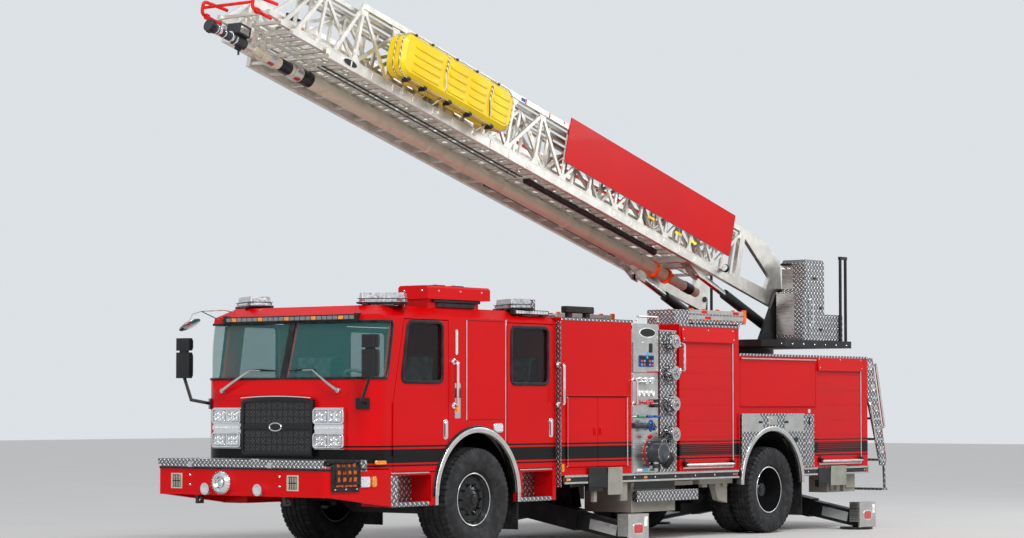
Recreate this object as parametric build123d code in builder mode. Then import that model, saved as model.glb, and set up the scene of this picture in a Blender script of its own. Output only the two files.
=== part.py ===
from build123d import *
import math
import os

# Custom-cab aerial ladder fire engine. +X is the nose, +Y the driver's side, +Z up, and the
# origin is on the ground under the middle of the whole machine. Millimetres and degrees.

# Stations along the vehicle, each a length behind the piece before it
x_bumper_face = 5325
bumper_depth = 610
cab_length = 3270
cab_gap = 20
module_length = 1370
pump_panel_length = 600
column_length = 360
body_gap = 25
tall_body_length = 1295
low_body_length = 3090
axle_setback = 1855
wheelbase = 5855

x_cab_front = x_bumper_face - bumper_depth
x_cab_rear = x_cab_front - cab_length
x_module_front = x_cab_rear - cab_gap
x_module_rear = x_module_front - module_length
x_panel_rear = x_module_rear - pump_panel_length
x_column_rear = x_panel_rear - column_length
x_body_front = x_column_rear - body_gap
x_low_front = x_body_front - tall_body_length
x_body_rear = x_low_front - low_body_length
x_axle_front = x_cab_front - axle_setback
x_axle_rear = x_axle_front - wheelbase

# Heights above the ground
z_skirt = 530
z_sill = 885
z_cab_floor = 960
z_cab_nose = 932
z_belt = 1860
z_cab_eave = 2530
z_cab_roof = 2645
z_body_bottom = 800
z_rail_bottom = 660
z_low_deck = 2230
z_module_top = 2580
z_tall_top = 2563

# Half widths
cab_half = 1200
body_half = 1260
bumper_half = 1225
panel_half = 1225

# Walls, doors and running clearances
cab_wall = 55
door_thickness = 50
door_gap = 8
hinge_radius = 9
hinge_leaf = 5
hinge_reach = 45
body_wall = 6
seat_gap = 0.3

# Chassis frame
rail_half = 430
rail_flange = 90
rail_web = 12
rail_depth = 260
frame_front = x_bumper_face - 140
frame_rear = x_body_rear + 120
z_rail_top = z_rail_bottom + rail_depth

# Wheels and tyres
front_tyre_radius = 570
front_tyre_width = 440
front_tyre_y = 995
rear_tyre_radius = 540
rear_tyre_width = 300
rear_outer_y = 1095
rear_inner_y = 765
bead_radius = 290
spindle_radius = 45
spindle_gap = 0.5
kingpin_y = 900
kingpin_radius = 25

# Wheel arches: the trim ring stands on the body side round each wheel
front_arch_radius = 690
rear_arch_radius = 680
arch_trim_width = 50
arch_trim_depth = 24
front_arch_z = 610
rear_arch_z = 600


def block(x, y, z, mode=Mode.ADD):
    """A box between the two values that each pair holds."""
    with Locations(((x[0] + x[1]) / 2, (y[0] + y[1]) / 2, (z[0] + z[1]) / 2)):
        return Box(abs(x[1] - x[0]), abs(y[1] - y[0]), abs(z[1] - z[0]), mode=mode)


def side_plane(y):
    """The upright plane at y whose sketch reads x to the right and z up; it extrudes towards -Y."""
    return Plane.XZ.offset(-y)


def lengthwise_drum(radius, x, y, z, mode=Mode.ADD):
    """A cylinder along X between the two values of x."""
    with BuildSketch(Plane.YZ.offset(min(x))) as disc:
        with Locations((y, z)):
            Circle(radius)
    extrude(disc.sketch, amount=abs(x[1] - x[0]), mode=mode)


def crosswise_drum(radius, x, y, z, mode=Mode.ADD):
    """A cylinder along Y between the two values of y."""
    with BuildSketch(side_plane(max(y))) as disc:
        with Locations((x, z)):
            Circle(radius)
    extrude(disc.sketch, amount=abs(y[1] - y[0]), mode=mode)


def upright_drum(radius, x, y, z, mode=Mode.ADD):
    """A cylinder along Z between the two values of z."""
    with BuildSketch(Plane.XY.offset(min(z))) as disc:
        with Locations((x, y)):
            Circle(radius)
    extrude(disc.sketch, amount=abs(z[1] - z[0]), mode=mode)


pieces = []


def finish(name, builder):
    """Label a finished piece and keep it for the export at the end."""
    builder.part.label = name
    pieces.append(builder.part)


# Chassis frame: two channel rails with cross members between their webs
cross_member_height = 150
cross_member_width = 90
engine_length = 1350
engine_half = 380
z_engine_bottom = 700
z_engine_top = 1560
x_engine_front = x_axle_front + 420
x_engine_rear = x_engine_front - engine_length
cross_members = [
    frame_front - 150,
    x_engine_front + 180,
    x_engine_rear - 180,
    x_module_rear + 200,
    x_body_front - 300,
    x_axle_rear + 900,
    x_axle_rear - 750,
    frame_rear + 120,
]
with BuildPart() as frame_rails:
    with BuildSketch(Plane.YZ.offset(frame_rear)):
        with Locations((rail_half - rail_flange / 2, z_rail_bottom + rail_depth / 2)):
            Rectangle(rail_flange, rail_depth)
        with Locations((rail_half - rail_web - rail_flange / 2, z_rail_bottom + rail_depth / 2)):
            Rectangle(rail_flange, rail_depth - 2 * rail_web, mode=Mode.SUBTRACT)
        mirror(about=Plane.YZ)
    extrude(amount=frame_front - frame_rear)
    for x_member in cross_members:
        block(
            (x_member - cross_member_width / 2, x_member + cross_member_width / 2),
            (-(rail_half - rail_web), rail_half - rail_web),
            (z_rail_bottom + 40, z_rail_bottom + 40 + cross_member_height),
        )
finish("frame_rails", frame_rails)

# Engine: one plain block that hangs by four lugs on the rails' top flanges
lug_thickness = 40
lug_length = 120
with BuildPart() as engine_block:
    block_half = engine_half - 60
    block((x_engine_rear, x_engine_front), (-block_half, block_half), (z_engine_bottom, z_engine_top))
    for x_lug in (x_engine_front - 200, x_engine_rear + 200):
        block(
            (x_lug - lug_length / 2, x_lug + lug_length / 2),
            (-rail_half + 10, rail_half - 10),
            (z_rail_top, z_rail_top + lug_thickness),
        )
    chamfer(engine_block.edges().filter_by(Axis.X).group_by(Axis.Z)[-1], length=90)
finish("engine_block", engine_block)

# Axles: a dropped steering beam with bored ends, and a banjo drive axle with spindles
beam_eye_radius = 55
beam_eye_height = 110
beam_width = 90
z_front_hub = front_tyre_radius
z_rear_hub = rear_tyre_radius
spring_length = 1500
spring_width = 80
spring_y = rail_half - spring_width / 2
axle_tube_radius = 70
banjo_radius = 200
z_beam_top = z_front_hub - beam_eye_height / 2 + 75
with BuildPart() as axles:
    crossing = kingpin_y - 30
    with BuildSketch(Plane.YZ.offset(x_axle_front - beam_width / 2)):
        with BuildLine():
            Polyline(
                (crossing, z_front_hub + beam_eye_height / 2),
                (crossing - 90, z_front_hub + beam_eye_height / 2),
                (crossing - 300, z_beam_top - 60),
                (-crossing + 300, z_beam_top - 60),
                (-crossing + 90, z_front_hub + beam_eye_height / 2),
                (-crossing, z_front_hub + beam_eye_height / 2),
                (-crossing, z_front_hub - beam_eye_height / 2),
                (-crossing + 110, z_front_hub - beam_eye_height / 2),
                (-crossing + 320, z_beam_top - 190),
                (crossing - 320, z_beam_top - 190),
                (crossing - 110, z_front_hub - beam_eye_height / 2),
                (crossing, z_front_hub - beam_eye_height / 2),
                close=True,
            )
        make_face()
    extrude(amount=beam_width)
    for side in (-1, 1):
        eye_heights = (z_front_hub - beam_eye_height / 2, z_front_hub + beam_eye_height / 2)
        upright_drum(beam_eye_radius, x_axle_front, side * kingpin_y, eye_heights)
        eye_bore = kingpin_radius + spindle_gap
        upright_drum(eye_bore, x_axle_front, side * kingpin_y, eye_heights, Mode.SUBTRACT)
    for x_axle, y_pad, z_pad in (
        (x_axle_front, spring_y, z_beam_top - 60),
        (x_axle_rear, spring_y, z_rear_hub + axle_tube_radius - 12),
    ):
        for side in (-1, 1):
            with BuildSketch(side_plane(side * y_pad + spring_width / 2)):
                with BuildLine():
                    Polyline(
                        (x_axle - spring_length / 2, z_rail_bottom),
                        (x_axle - spring_length / 2, z_rail_bottom - 22),
                        (x_axle - 160, z_pad),
                        (x_axle + 160, z_pad),
                        (x_axle + spring_length / 2, z_rail_bottom - 22),
                        (x_axle + spring_length / 2, z_rail_bottom),
                        (x_axle + spring_length / 2 - 90, z_rail_bottom),
                        (x_axle + 200, z_rail_bottom - 18),
                        (x_axle - 200, z_rail_bottom - 18),
                        (x_axle - spring_length / 2 + 90, z_rail_bottom),
                        close=True,
                    )
                make_face()
            extrude(amount=spring_width)
    crosswise_drum(axle_tube_radius, x_axle_rear, (-rear_inner_y + 20, rear_inner_y - 20), z_rear_hub)
    crosswise_drum(banjo_radius, x_axle_rear, (-110, 110), z_rear_hub)
    crosswise_drum(spindle_radius, x_axle_rear, (-rear_outer_y + 60, rear_outer_y - 60), z_rear_hub)
    lengthwise_drum(90, (x_axle_rear, x_axle_rear + 420), 0, z_rear_hub)
finish("axles", axles)

# Knuckles: a yoke over the beam's eye with its kingpin, and the spindle that carries the wheel
yoke_gap = 4
yoke_ear = 50
yoke_web_y = 62
yoke_web = 40
spindle_end = front_tyre_y + 60


def build_knuckle(side):
    """One side's steering knuckle: ears above and below the eye, a web outside it, pin and spindle."""
    ear_inner = beam_eye_height / 2 + yoke_gap
    ear_outer = ear_inner + yoke_ear
    y_pin = side * kingpin_y
    y_web = (side * (kingpin_y + yoke_web_y), side * (kingpin_y + yoke_web_y + yoke_web))
    with BuildPart() as knuckle:
        ear_heights = (z_front_hub - ear_outer, z_front_hub + ear_outer)
        block((x_axle_front - 50, x_axle_front + 50), y_web, ear_heights)
        for z_low, z_high in ((-ear_outer, -ear_inner), (ear_inner, ear_outer)):
            heights = (z_front_hub + z_low, z_front_hub + z_high)
            block((x_axle_front - 50, x_axle_front + 50), (y_pin, y_web[0]), heights)
            upright_drum(50, x_axle_front, y_pin, heights)
        upright_drum(kingpin_radius, x_axle_front, y_pin, ear_heights)
        crosswise_drum(spindle_radius, x_axle_front, (y_web[0], side * spindle_end), z_front_hub)
    return knuckle


for side, name in ((1, "knuckle_left"), (-1, "knuckle_right")):
    finish(name, build_knuckle(side))


# Tyres: one closed section turned about the hub line; the beads sit just off the rim
def tyre_section(y_centre, radius, width, side):
    """The section of a tyre, read outwards from the hub line: bead, sidewall, shoulder and tread."""
    half = width / 2
    rows = [
        # share of the half width, share of the way from bead to tread
        (0.70, 0.00),
        (0.86, 0.10),
        (1.00, 0.42),
        (0.97, 0.68),
        (0.86, 0.93),
        (0.74, 1.00),
    ]
    height = radius - bead_radius
    outer = [(side * (y_centre + half * w), bead_radius + height * h) for w, h in rows]
    inner = [(side * (y_centre - half * w), bead_radius + height * h) for w, h in reversed(rows)]
    return outer + inner


def turned(points, x, z):
    """Turn a closed outline of (y, radius) points about the crosswise line through x and z."""
    with BuildSketch(Plane((x, 0, z), x_dir=(0, 1, 0), z_dir=(1, 0, 0))) as section:
        with BuildLine():
            Polyline(*points, close=True)
        make_face()
    revolve(section.sketch, axis=Axis((x, 0, z), (0, 1, 0)))


# Rims: hub, dished disc and barrel in one turned section, bored for the spindle
rim_seat = bead_radius - seat_gap
rim_wall = 12
hub_radius = 110
bore = spindle_radius + spindle_gap


def front_rim_section(side):
    """Front wheel: barrel as wide as the beads, a disc dished in, a hub out to the bead's plane."""
    half = 0.70 * front_tyre_width / 2
    y_in = front_tyre_y - half
    y_out = front_tyre_y + half
    disc = front_tyre_y + 85
    rows = [
        (y_in, rim_seat),
        (y_out, rim_seat),
        (y_out, rim_seat - rim_wall),
        (disc + 20, rim_seat - 45),
        (disc + 20, hub_radius + 60),
        (disc + 45, hub_radius),
        (y_out - 10, hub_radius - 20),
        (y_out, 60),
        (spindle_end + 6, 0),
        (spindle_end + 2, 0),
        (spindle_end + 2, bore),
        (kingpin_y + yoke_web_y + yoke_web + 8, bore),
        (kingpin_y + yoke_web_y + yoke_web + 8, 150),
        (disc - 6, 150),
        (disc - 6, rim_seat - 45),
        (y_in, rim_seat - rim_wall),
    ]
    return [(side * y, r) for y, r in rows]


def rear_rim_section(side):
    """Rear twin wheels: two barrels either side of their meeting discs, with the planet hub through them."""
    half = 0.70 * rear_tyre_width / 2
    y_in = rear_inner_y - half
    y_out = rear_outer_y + half
    middle = (rear_inner_y + rear_outer_y) / 2
    rows = [
        (y_in, rim_seat),
        (y_out, rim_seat),
        (y_out, rim_seat - rim_wall),
        (middle + 40, rim_seat - 50),
        (middle + 40, hub_radius + 40),
        (middle + 110, hub_radius + 10),
        (middle + 160, 80),
        (middle + 160, 0),
        (rear_outer_y - 58, 0),
        (rear_outer_y - 58, bore),
        (rear_inner_y - 18, bore),
        (rear_inner_y - 18, 190),
        (middle - 30, 190),
        (middle - 30, rim_seat - 50),
        (y_in, rim_seat - rim_wall),
    ]
    return [(side * y, r) for y, r in rows]


for side, end in ((1, "left"), (-1, "right")):
    with BuildPart() as front_tyre:
        section = tyre_section(front_tyre_y, front_tyre_radius, front_tyre_width, side)
        turned(section, x_axle_front, z_front_hub)
    finish("front_tyre_" + end, front_tyre)
    with BuildPart() as front_rim:
        turned(front_rim_section(side), x_axle_front, z_front_hub)
    finish("front_rim_" + end, front_rim)
    with BuildPart() as rear_tyres:
        for y_tyre in (rear_outer_y, rear_inner_y):
            turned(tyre_section(y_tyre, rear_tyre_radius, rear_tyre_width, side), x_axle_rear, z_rear_hub)
    finish("rear_tyres_" + end, rear_tyres)
    with BuildPart() as rear_rim:
        turned(rear_rim_section(side), x_axle_rear, z_rear_hub)
    finish("rear_rims_" + end, rear_rim)

# Bumper: a folded red channel round the nose, sloping skirts back to the cab's steps
bumper_bottom = 648
bumper_top = 922
bumper_wall = 70
bumper_corner = 60
x_skirt_rear = x_cab_front - 375
z_skirt_rear = z_skirt + 5
with BuildPart() as bumper:
    with BuildSketch(Plane.XY.offset(bumper_bottom)):
        with Locations(((x_bumper_face + x_cab_front) / 2, 0)):
            Rectangle(bumper_depth, 2 * bumper_half)
        chamfer(vertices().group_by(Axis.X)[-1], length=bumper_corner)
        offset(amount=-bumper_wall, mode=Mode.SUBTRACT)
        with Locations((x_cab_front, 0)):
            Rectangle(4 * bumper_wall, 2 * (bumper_half - bumper_wall), mode=Mode.SUBTRACT)
    extrude(amount=bumper_top - bumper_bottom)
    for side in (-1, 1):
        skirt_outer = side * bumper_half if side > 0 else -(bumper_half - bumper_wall)
        with BuildSketch(side_plane(skirt_outer)):
            with BuildLine():
                Polyline(
                    (x_bumper_face - bumper_corner, bumper_bottom),
                    (x_cab_front, bumper_top),
                    (x_skirt_rear, bumper_top),
                    (x_skirt_rear, z_skirt_rear),
                    close=True,
                )
            make_face()
        extrude(amount=bumper_wall)
finish("bumper", bumper)

# Bumper deck: a raised treadplate lid with a lip, and a hose tray let into its driver's half
deck_lip = 45
deck_inset = 12
tray_length = 330
tray_width = 620
tray_depth = 230
z_deck_top = bumper_top + deck_lip
with BuildPart() as bumper_deck:
    with BuildSketch(Plane.XY.offset(bumper_top)):
        with Locations(((x_bumper_face + x_cab_front) / 2, 0)):
            Rectangle(bumper_depth - 2 * deck_inset, 2 * (bumper_half - deck_inset))
        chamfer(vertices().group_by(Axis.X)[-1], length=bumper_corner)
    extrude(amount=deck_lip)
    x_tray = (x_bumper_face + x_cab_front) / 2
    tray_x = (x_tray - tray_length / 2, x_tray + tray_length / 2)
    tray_y = (bumper_half - 120 - tray_width, bumper_half - 120)
    block(
        (tray_x[0] - body_wall, tray_x[1] + body_wall),
        (tray_y[0] - body_wall, tray_y[1] + body_wall),
        (bumper_top - tray_depth, bumper_top),
    )
    block(tray_x, tray_y, (bumper_top - tray_depth + body_wall, z_deck_top), Mode.SUBTRACT)
finish("bumper_deck", bumper_deck)

# Bumper fittings: the round siren, two trumpet horns and two tow eyes on the front face
siren_y = -215
siren_z = 784
siren_radius = 118
horn_z = 716
horn_radius = 62
horn_ys = (-450, 300)
fitting_depth = 90
tow_eye_radius = 26
with BuildPart() as bumper_fittings:
    with BuildSketch(Plane((x_bumper_face, siren_y, siren_z), x_dir=(1, 0, 0), z_dir=(0, -1, 0))):
        with BuildLine():
            Polyline(
                (0, 0),
                (0, siren_radius),
                (45, siren_radius),
                (fitting_depth, siren_radius - 22),
                (fitting_depth, siren_radius - 40),
                (30, siren_radius - 60),
                (fitting_depth - 10, 20),
                (fitting_depth - 10, 0),
                close=True,
            )
        make_face()
    revolve(axis=Axis((x_bumper_face, siren_y, siren_z), (1, 0, 0)))
    for y_horn in horn_ys:
        lengthwise_drum(horn_radius, (x_bumper_face, x_bumper_face + 60), y_horn, horn_z)
        horn_throat = (x_bumper_face + 20, x_bumper_face + 60)
        lengthwise_drum(horn_radius - 14, horn_throat, y_horn, horn_z, Mode.SUBTRACT)
    for y_eye in (-620, 620):
        y_plate = (y_eye - 18, y_eye + 18)
        block((x_bumper_face - 90, x_bumper_face), y_plate, (bumper_bottom - 90, bumper_bottom))
        crosswise_drum(tow_eye_radius, x_bumper_face - 45, y_plate, bumper_bottom - 48, Mode.SUBTRACT)
finish("bumper_fittings", bumper_fittings)

# Cab: a hollow shell whose plan, side view and front view are each one outline
cab_nose_radius = 330
windscreen_run = 170
z_windscreen_top = 2490
roof_bevel = 200
roof_brow = 150
brow_run = windscreen_run + 65
tunnel_half = 470
well_top = 1310
well_half_length = front_arch_radius + 10
well_inner_y = 440
skirt_box_inner = 820


def cab_plan(inset, z_low, z_high):
    """The cab's plan with its rounded nose, drawn in by an inset and raised between two heights."""
    length = cab_length - 2 * inset
    with BuildSketch(Plane.XY.offset(z_low)) as plan:
        with Locations(((x_cab_front + x_cab_rear) / 2, 0)):
            Rectangle(length, 2 * (cab_half - inset))
        fillet(plan.vertices().group_by(Axis.X)[-1], radius=cab_nose_radius - inset)
    extrude(plan.sketch, amount=z_high - z_low)


def cab_side(inset):
    """Cut by the side view: upright nose, raked windscreen, brow and flat roof."""
    with BuildSketch(side_plane(cab_half + 100)) as side_view:
        with BuildLine():
            Polyline(
                (x_cab_rear - 50, 0),
                (x_cab_front - inset + 1, 0),
                (x_cab_front - inset + 1, 1700),
                (x_cab_front - inset - 45, z_belt),
                (x_cab_front - inset - windscreen_run - 45, z_windscreen_top),
                (x_cab_front - inset - brow_run, z_cab_eave + 15),
                (x_cab_front - inset - brow_run - roof_brow, z_cab_roof - inset),
                (x_cab_rear - 50, z_cab_roof - inset),
                close=True,
            )
        make_face()
    extrude(side_view.sketch, amount=2 * cab_half + 200, mode=Mode.INTERSECT)


def cab_section(inset):
    """Cut by the front view: straight sides and a bevel up to the roof."""
    with BuildSketch(Plane.YZ.offset(x_cab_rear - 50)) as front_view:
        with BuildLine():
            Polyline(
                (-cab_half - 1, 0),
                (cab_half + 1, 0),
                (cab_half + 1, z_cab_eave),
                (cab_half - roof_bevel, z_cab_roof - inset),
                (-cab_half + roof_bevel, z_cab_roof - inset),
                (-cab_half - 1, z_cab_eave),
                close=True,
            )
        make_face()
    extrude(front_view.sketch, amount=cab_length + 200, mode=Mode.INTERSECT)


# Door outlines, as (x, z) corners; the front doors lean back with the windscreen pillar
x_front_door_front = x_cab_front - 436
x_front_door_rear = x_cab_front - 1356
x_rear_door_front = x_cab_front - 2373
x_rear_door_rear = x_cab_front - 3248
z_door_top = 2505
pillar_lean = 174
front_door_outline = [
    (x_front_door_rear, z_sill),
    (x_front_door_front, z_sill),
    (x_front_door_front, 1640),
    (x_front_door_front - pillar_lean, z_door_top),
    (x_front_door_rear, z_door_top),
]
rear_door_outline = [
    (x_rear_door_rear, z_sill),
    (x_rear_door_front, z_sill),
    (x_rear_door_front, z_door_top),
    (x_rear_door_rear, z_door_top),
]
x_front_arch = x_axle_front + 5
x_rear_arch = x_axle_rear + 45
arch_clear = front_arch_radius + arch_trim_width + 12


def raised_outline(points, plane, amount, mode=Mode.ADD):
    """A closed outline of straight lines on a plane, extruded along the plane's normal."""
    with BuildSketch(plane) as outline:
        with BuildLine():
            Polyline(*points, close=True)
        make_face()
    extrude(outline.sketch, amount=amount, mode=mode)


def piano_hinge(x_axis, y_face, reach, z):
    """A long hinge barrel just off a body side, with its leaf lapped on the door's face."""
    side = 1 if y_face > 0 else -1
    upright_drum(hinge_radius, x_axis, y_face + side * (hinge_radius + seat_gap), z)
    block((x_axis, x_axis + reach), (y_face - side, y_face + side * hinge_leaf), z)


def door_face(outline, inset, circle, plane, amount, mode=Mode.ADD):
    """A door's outline drawn in by an inset and cut round the wheel arch, extruded from a plane."""
    with BuildSketch(plane) as face:
        with BuildLine():
            Polyline(*outline, close=True)
        make_face()
        if inset > 0:
            offset(amount=-inset, kind=Kind.INTERSECTION, mode=Mode.REPLACE)
        with Locations((x_front_arch, front_arch_z)):
            Circle(circle, mode=Mode.SUBTRACT)
    extrude(face.sketch, amount=amount, mode=mode)


# Cab glass openings: the wrapped windscreen in two halves, parted by a narrow centre post
glass_thickness = 8
glass_inset = 10
centre_post_half = 28
x_glass_rear = x_cab_front - 345
glass_lean = 95
z_glass_bottom = 1880
z_glass_top = 2465


def windscreen_region(side, clearance, mode):
    """The sideways view of one windscreen half, extruded from the centre post to past the cab's side."""
    points = [
        (x_glass_rear + clearance, z_glass_bottom + clearance),
        (x_cab_front + 60, z_glass_bottom + clearance),
        (x_cab_front + 60, z_glass_top - clearance),
        (x_glass_rear - glass_lean + clearance, z_glass_top - clearance),
    ]
    depth = cab_half + 40 - centre_post_half - clearance
    y_start = cab_half + 40 if side > 0 else -(centre_post_half + clearance)
    raised_outline(points, side_plane(y_start), depth, mode)


with BuildPart() as cab_hollow:
    cab_plan(cab_wall, z_cab_floor + cab_wall, z_cab_roof)
    cab_side(cab_wall)
    cab_section(cab_wall)

with BuildPart() as cab_shell:
    cab_plan(0, z_skirt, z_cab_roof)
    cab_side(0)
    cab_section(0)
    add(cab_hollow.part, mode=Mode.SUBTRACT)
    # The nose stops just above the bumper, and the skirts stop behind it
    block((x_skirt_rear, x_cab_front + 10), (-cab_half - 10, cab_half + 10), (0, z_cab_nose), Mode.SUBTRACT)
    under_half = (-skirt_box_inner, skirt_box_inner)
    block((x_cab_rear - 10, x_cab_front), under_half, (0, z_cab_floor), Mode.SUBTRACT)
    # Engine tunnel through the floor
    block(
        (x_engine_rear - 60, x_engine_front + 60),
        (-tunnel_half, tunnel_half),
        (0, z_cab_floor + cab_wall + 1),
        Mode.SUBTRACT,
    )
    # Wheel wells with their own walls inside the cab, closed outside by a skin with the round arch
    for side in (-1, 1):
        block(
            (x_front_arch - well_half_length - 20, x_front_arch + well_half_length + 20),
            (side * (well_inner_y - 20), side * (cab_half - cab_wall)),
            (z_cab_floor, well_top + 20),
        )
        block(
            (x_front_arch - well_half_length, x_front_arch + well_half_length),
            (side * well_inner_y, side * (cab_half + 10)),
            (0, well_top),
            Mode.SUBTRACT,
        )
        with BuildSketch(side_plane(cab_half if side > 0 else -(cab_half - cab_wall))):
            with Locations((x_front_arch, (z_skirt + well_top + 20) / 2)):
                Rectangle(2 * well_half_length + 40, well_top + 20 - z_skirt)
            with Locations((x_front_arch, front_arch_z)):
                Circle(front_arch_radius, mode=Mode.SUBTRACT)
            with Locations((x_front_arch, z_skirt)):
                Rectangle(2 * front_arch_radius, 2 * (front_arch_z - z_skirt), mode=Mode.SUBTRACT)
        extrude(amount=cab_wall)
    for outline in (front_door_outline, rear_door_outline):
        for y_start in (cab_half + 20, -cab_half + cab_wall + 15):
            plane = side_plane(y_start)
            door_face(outline, 0, arch_clear - door_gap, plane, cab_wall + 35, Mode.SUBTRACT)
    for side in (-1, 1):
        windscreen_region(side, 0, Mode.SUBTRACT)
    # Steps let into the skirts under the doors
    front_well = (x_skirt_rear, x_front_door_rear + 290)
    rear_well = (x_rear_door_front - 250, x_rear_door_rear + 40)
    for x_step in (front_well, rear_well):
        for side in (-1, 1):
            block(
                (x_step[0] - 30, x_step[1]),
                (side * (cab_half + 10), side * (cab_half - 260)),
                (z_skirt + 40, z_sill - 30),
                Mode.SUBTRACT,
            )
finish("cab_shell", cab_shell)

with BuildPart() as glass_hollow:
    cab_plan(glass_inset + glass_thickness, z_belt - 100, z_cab_roof)
    cab_side(glass_inset + glass_thickness)
with BuildPart() as glass_halves:
    for side in (-1, 1):
        windscreen_region(side, seat_gap, Mode.ADD)
with BuildPart() as windscreen:
    cab_plan(glass_inset, z_belt - 100, z_cab_roof)
    cab_side(glass_inset)
    add(glass_hollow.part, mode=Mode.SUBTRACT)
    add(glass_halves.part, mode=Mode.INTERSECT)
finish("windscreen", windscreen)

# Cab doors: plates as thick as the whole door, cut for their windows and round the wheel arch
window_corner = 60
z_front_hinge = 1060
z_rear_hinge = 1180
front_window = [
    (x_front_door_rear + 104, 1838),
    (x_front_door_front - 140, 1838),
    (x_front_door_front - 244, 2475),
    (x_front_door_rear + 104, 2475),
]
rear_window = [
    (x_rear_door_rear + 122, 1828),
    (x_rear_door_front - 79, 1828),
    (x_rear_door_front - 79, 2458),
    (x_rear_door_rear + 122, 2458),
]
for door_name, outline, window, x_hinge, z_hinge in (
    ("front_door", front_door_outline, front_window, x_front_door_front, (z_front_hinge, 1620)),
    ("rear_door", rear_door_outline, rear_window, x_rear_door_front, (z_rear_hinge, z_door_top - 40)),
):
    for side, end in ((1, "left"), (-1, "right")):
        plane = side_plane(cab_half if side > 0 else -(cab_half - door_thickness))
        with BuildPart() as cab_door:
            door_face(outline, door_gap, arch_clear, plane, door_thickness)
            with BuildSketch(plane) as pane:
                with BuildLine():
                    Polyline(*window, close=True)
                make_face()
                fillet(pane.vertices(), radius=window_corner)
            extrude(pane.sketch, amount=door_thickness, mode=Mode.SUBTRACT)
            piano_hinge(x_hinge, side * cab_half, -hinge_reach, z_hinge)
        finish(door_name + "_" + end, cab_door)

# Grille: a frame round crossed bars, standing on the nose
grille_half = 505
z_grille = (1070, 1650)
grille_depth = 45
grille_frame = 35
grille_bar = 12
grille_columns = 12
grille_rows = 7
grille_height = z_grille[1] - z_grille[0]
grille_mouth = 2 * grille_half - 2 * grille_frame
with BuildPart() as grille:
    with BuildSketch(Plane.YZ.offset(x_cab_front + seat_gap)):
        with Locations((0, sum(z_grille) / 2)):
            Rectangle(2 * grille_half, grille_height)
            Rectangle(grille_mouth, grille_height - 2 * grille_frame, mode=Mode.SUBTRACT)
            with GridLocations(grille_mouth / grille_columns, 0, grille_columns - 1, 1):
                Rectangle(grille_bar, grille_height - grille_frame)
            with GridLocations(0, (grille_height - 2 * grille_frame) / grille_rows, 1, grille_rows - 1):
                Rectangle(2 * grille_half - grille_frame, grille_bar)
    extrude(amount=grille_depth)
finish("grille", grille)

# Headlamps: two stacked pods a side on the nose, each with two round lamps
lamp_y = (530, 930)
lamp_depth = 40
lamp_radius = 58
lamp_crown = 14
lamp_rows = [
    # low and high edge of each lamp bank
    (1150, 1290),
    (1400, 1545),
]
with BuildPart() as headlamps:
    for side in (-1, 1):
        block(
            (x_cab_front + seat_gap, x_cab_front + lamp_depth),
            (side * lamp_y[0], side * lamp_y[1]),
            (lamp_rows[0][0] - 20, lamp_rows[1][1] + 20),
        )
        for z_low, z_high in lamp_rows:
            for share in (0.27, 0.73):
                y_lamp = side * (lamp_y[0] + share * (lamp_y[1] - lamp_y[0]))
                x_lamp = (x_cab_front + lamp_depth, x_cab_front + lamp_depth + lamp_crown)
                lengthwise_drum(lamp_radius, x_lamp, y_lamp, (z_low + z_high) / 2)
finish("headlamps", headlamps)

# Mirrors: two-part heads on arms that stand out from the nose's lower corners
mirror_x = x_cab_front + 85
mirror_y = 1335
mirror_half_width = 100
mirror_foot_z = 1610
arm_radius = 18
mirror_foot_x = x_cab_front - 100
mirror_foot_y = 1114.8
with BuildPart() as mirrors:
    for side in (-1, 1):
        for z_low, z_high in ((1885, 2165), (2185, 2320)):
            with BuildSketch(Plane.XY.offset(z_low)) as head:
                with Locations((mirror_x, side * mirror_y)):
                    RectangleRounded(90, 2 * mirror_half_width, 35)
            extrude(head.sketch, amount=z_high - z_low)
        block(
            (mirror_x - 12, mirror_x + 12),
            (side * mirror_y - 60, side * mirror_y + 60),
            (2160, 2190),
        )
        with BuildLine() as arm_path:
            Polyline(
                (mirror_foot_x, side * mirror_foot_y, mirror_foot_z),
                (mirror_x, side * (mirror_foot_y + 110), mirror_foot_z + 40),
                (mirror_x, side * mirror_y, 1900),
            )
        with BuildSketch(Plane(arm_path.line @ 0, z_dir=arm_path.line % 0)) as arm_end:
            RegularPolygon(arm_radius, 8)
        sweep(arm_end.sketch, path=arm_path.line, transition=Transition.RIGHT)
finish("mirrors", mirrors)

# Roof light bars, swept like a V in front and behind, and the low condenser between them
bar_length = 500
bar_width = 270
bar_height = 100
bar_foot = 32
bar_lean = 9
bar_places = [
    # x behind the cab's front, y, turn about Z for the driver's side
    (590, 930, -60),
    (2830, 930, 60),
]
with BuildPart() as light_bars:
    for behind, y_bar, turn in bar_places:
        for side in (-1, 1):
            spot = Plane((x_cab_front - behind, side * y_bar, z_cab_roof + seat_gap), x_dir=(
                math.cos(math.radians(turn)), side * math.sin(math.radians(turn)), 0), z_dir=(0, 0, 1))
            with BuildSketch(spot) as foot:
                Rectangle(bar_length * 0.5, 90)
            extrude(foot.sketch, amount=bar_foot)
            with BuildSketch(spot.offset(bar_foot)) as lens:
                RectangleRounded(bar_length, bar_width, 60)
            extrude(lens.sketch, amount=bar_height, taper=bar_lean)
finish("light_bars", light_bars)

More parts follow.
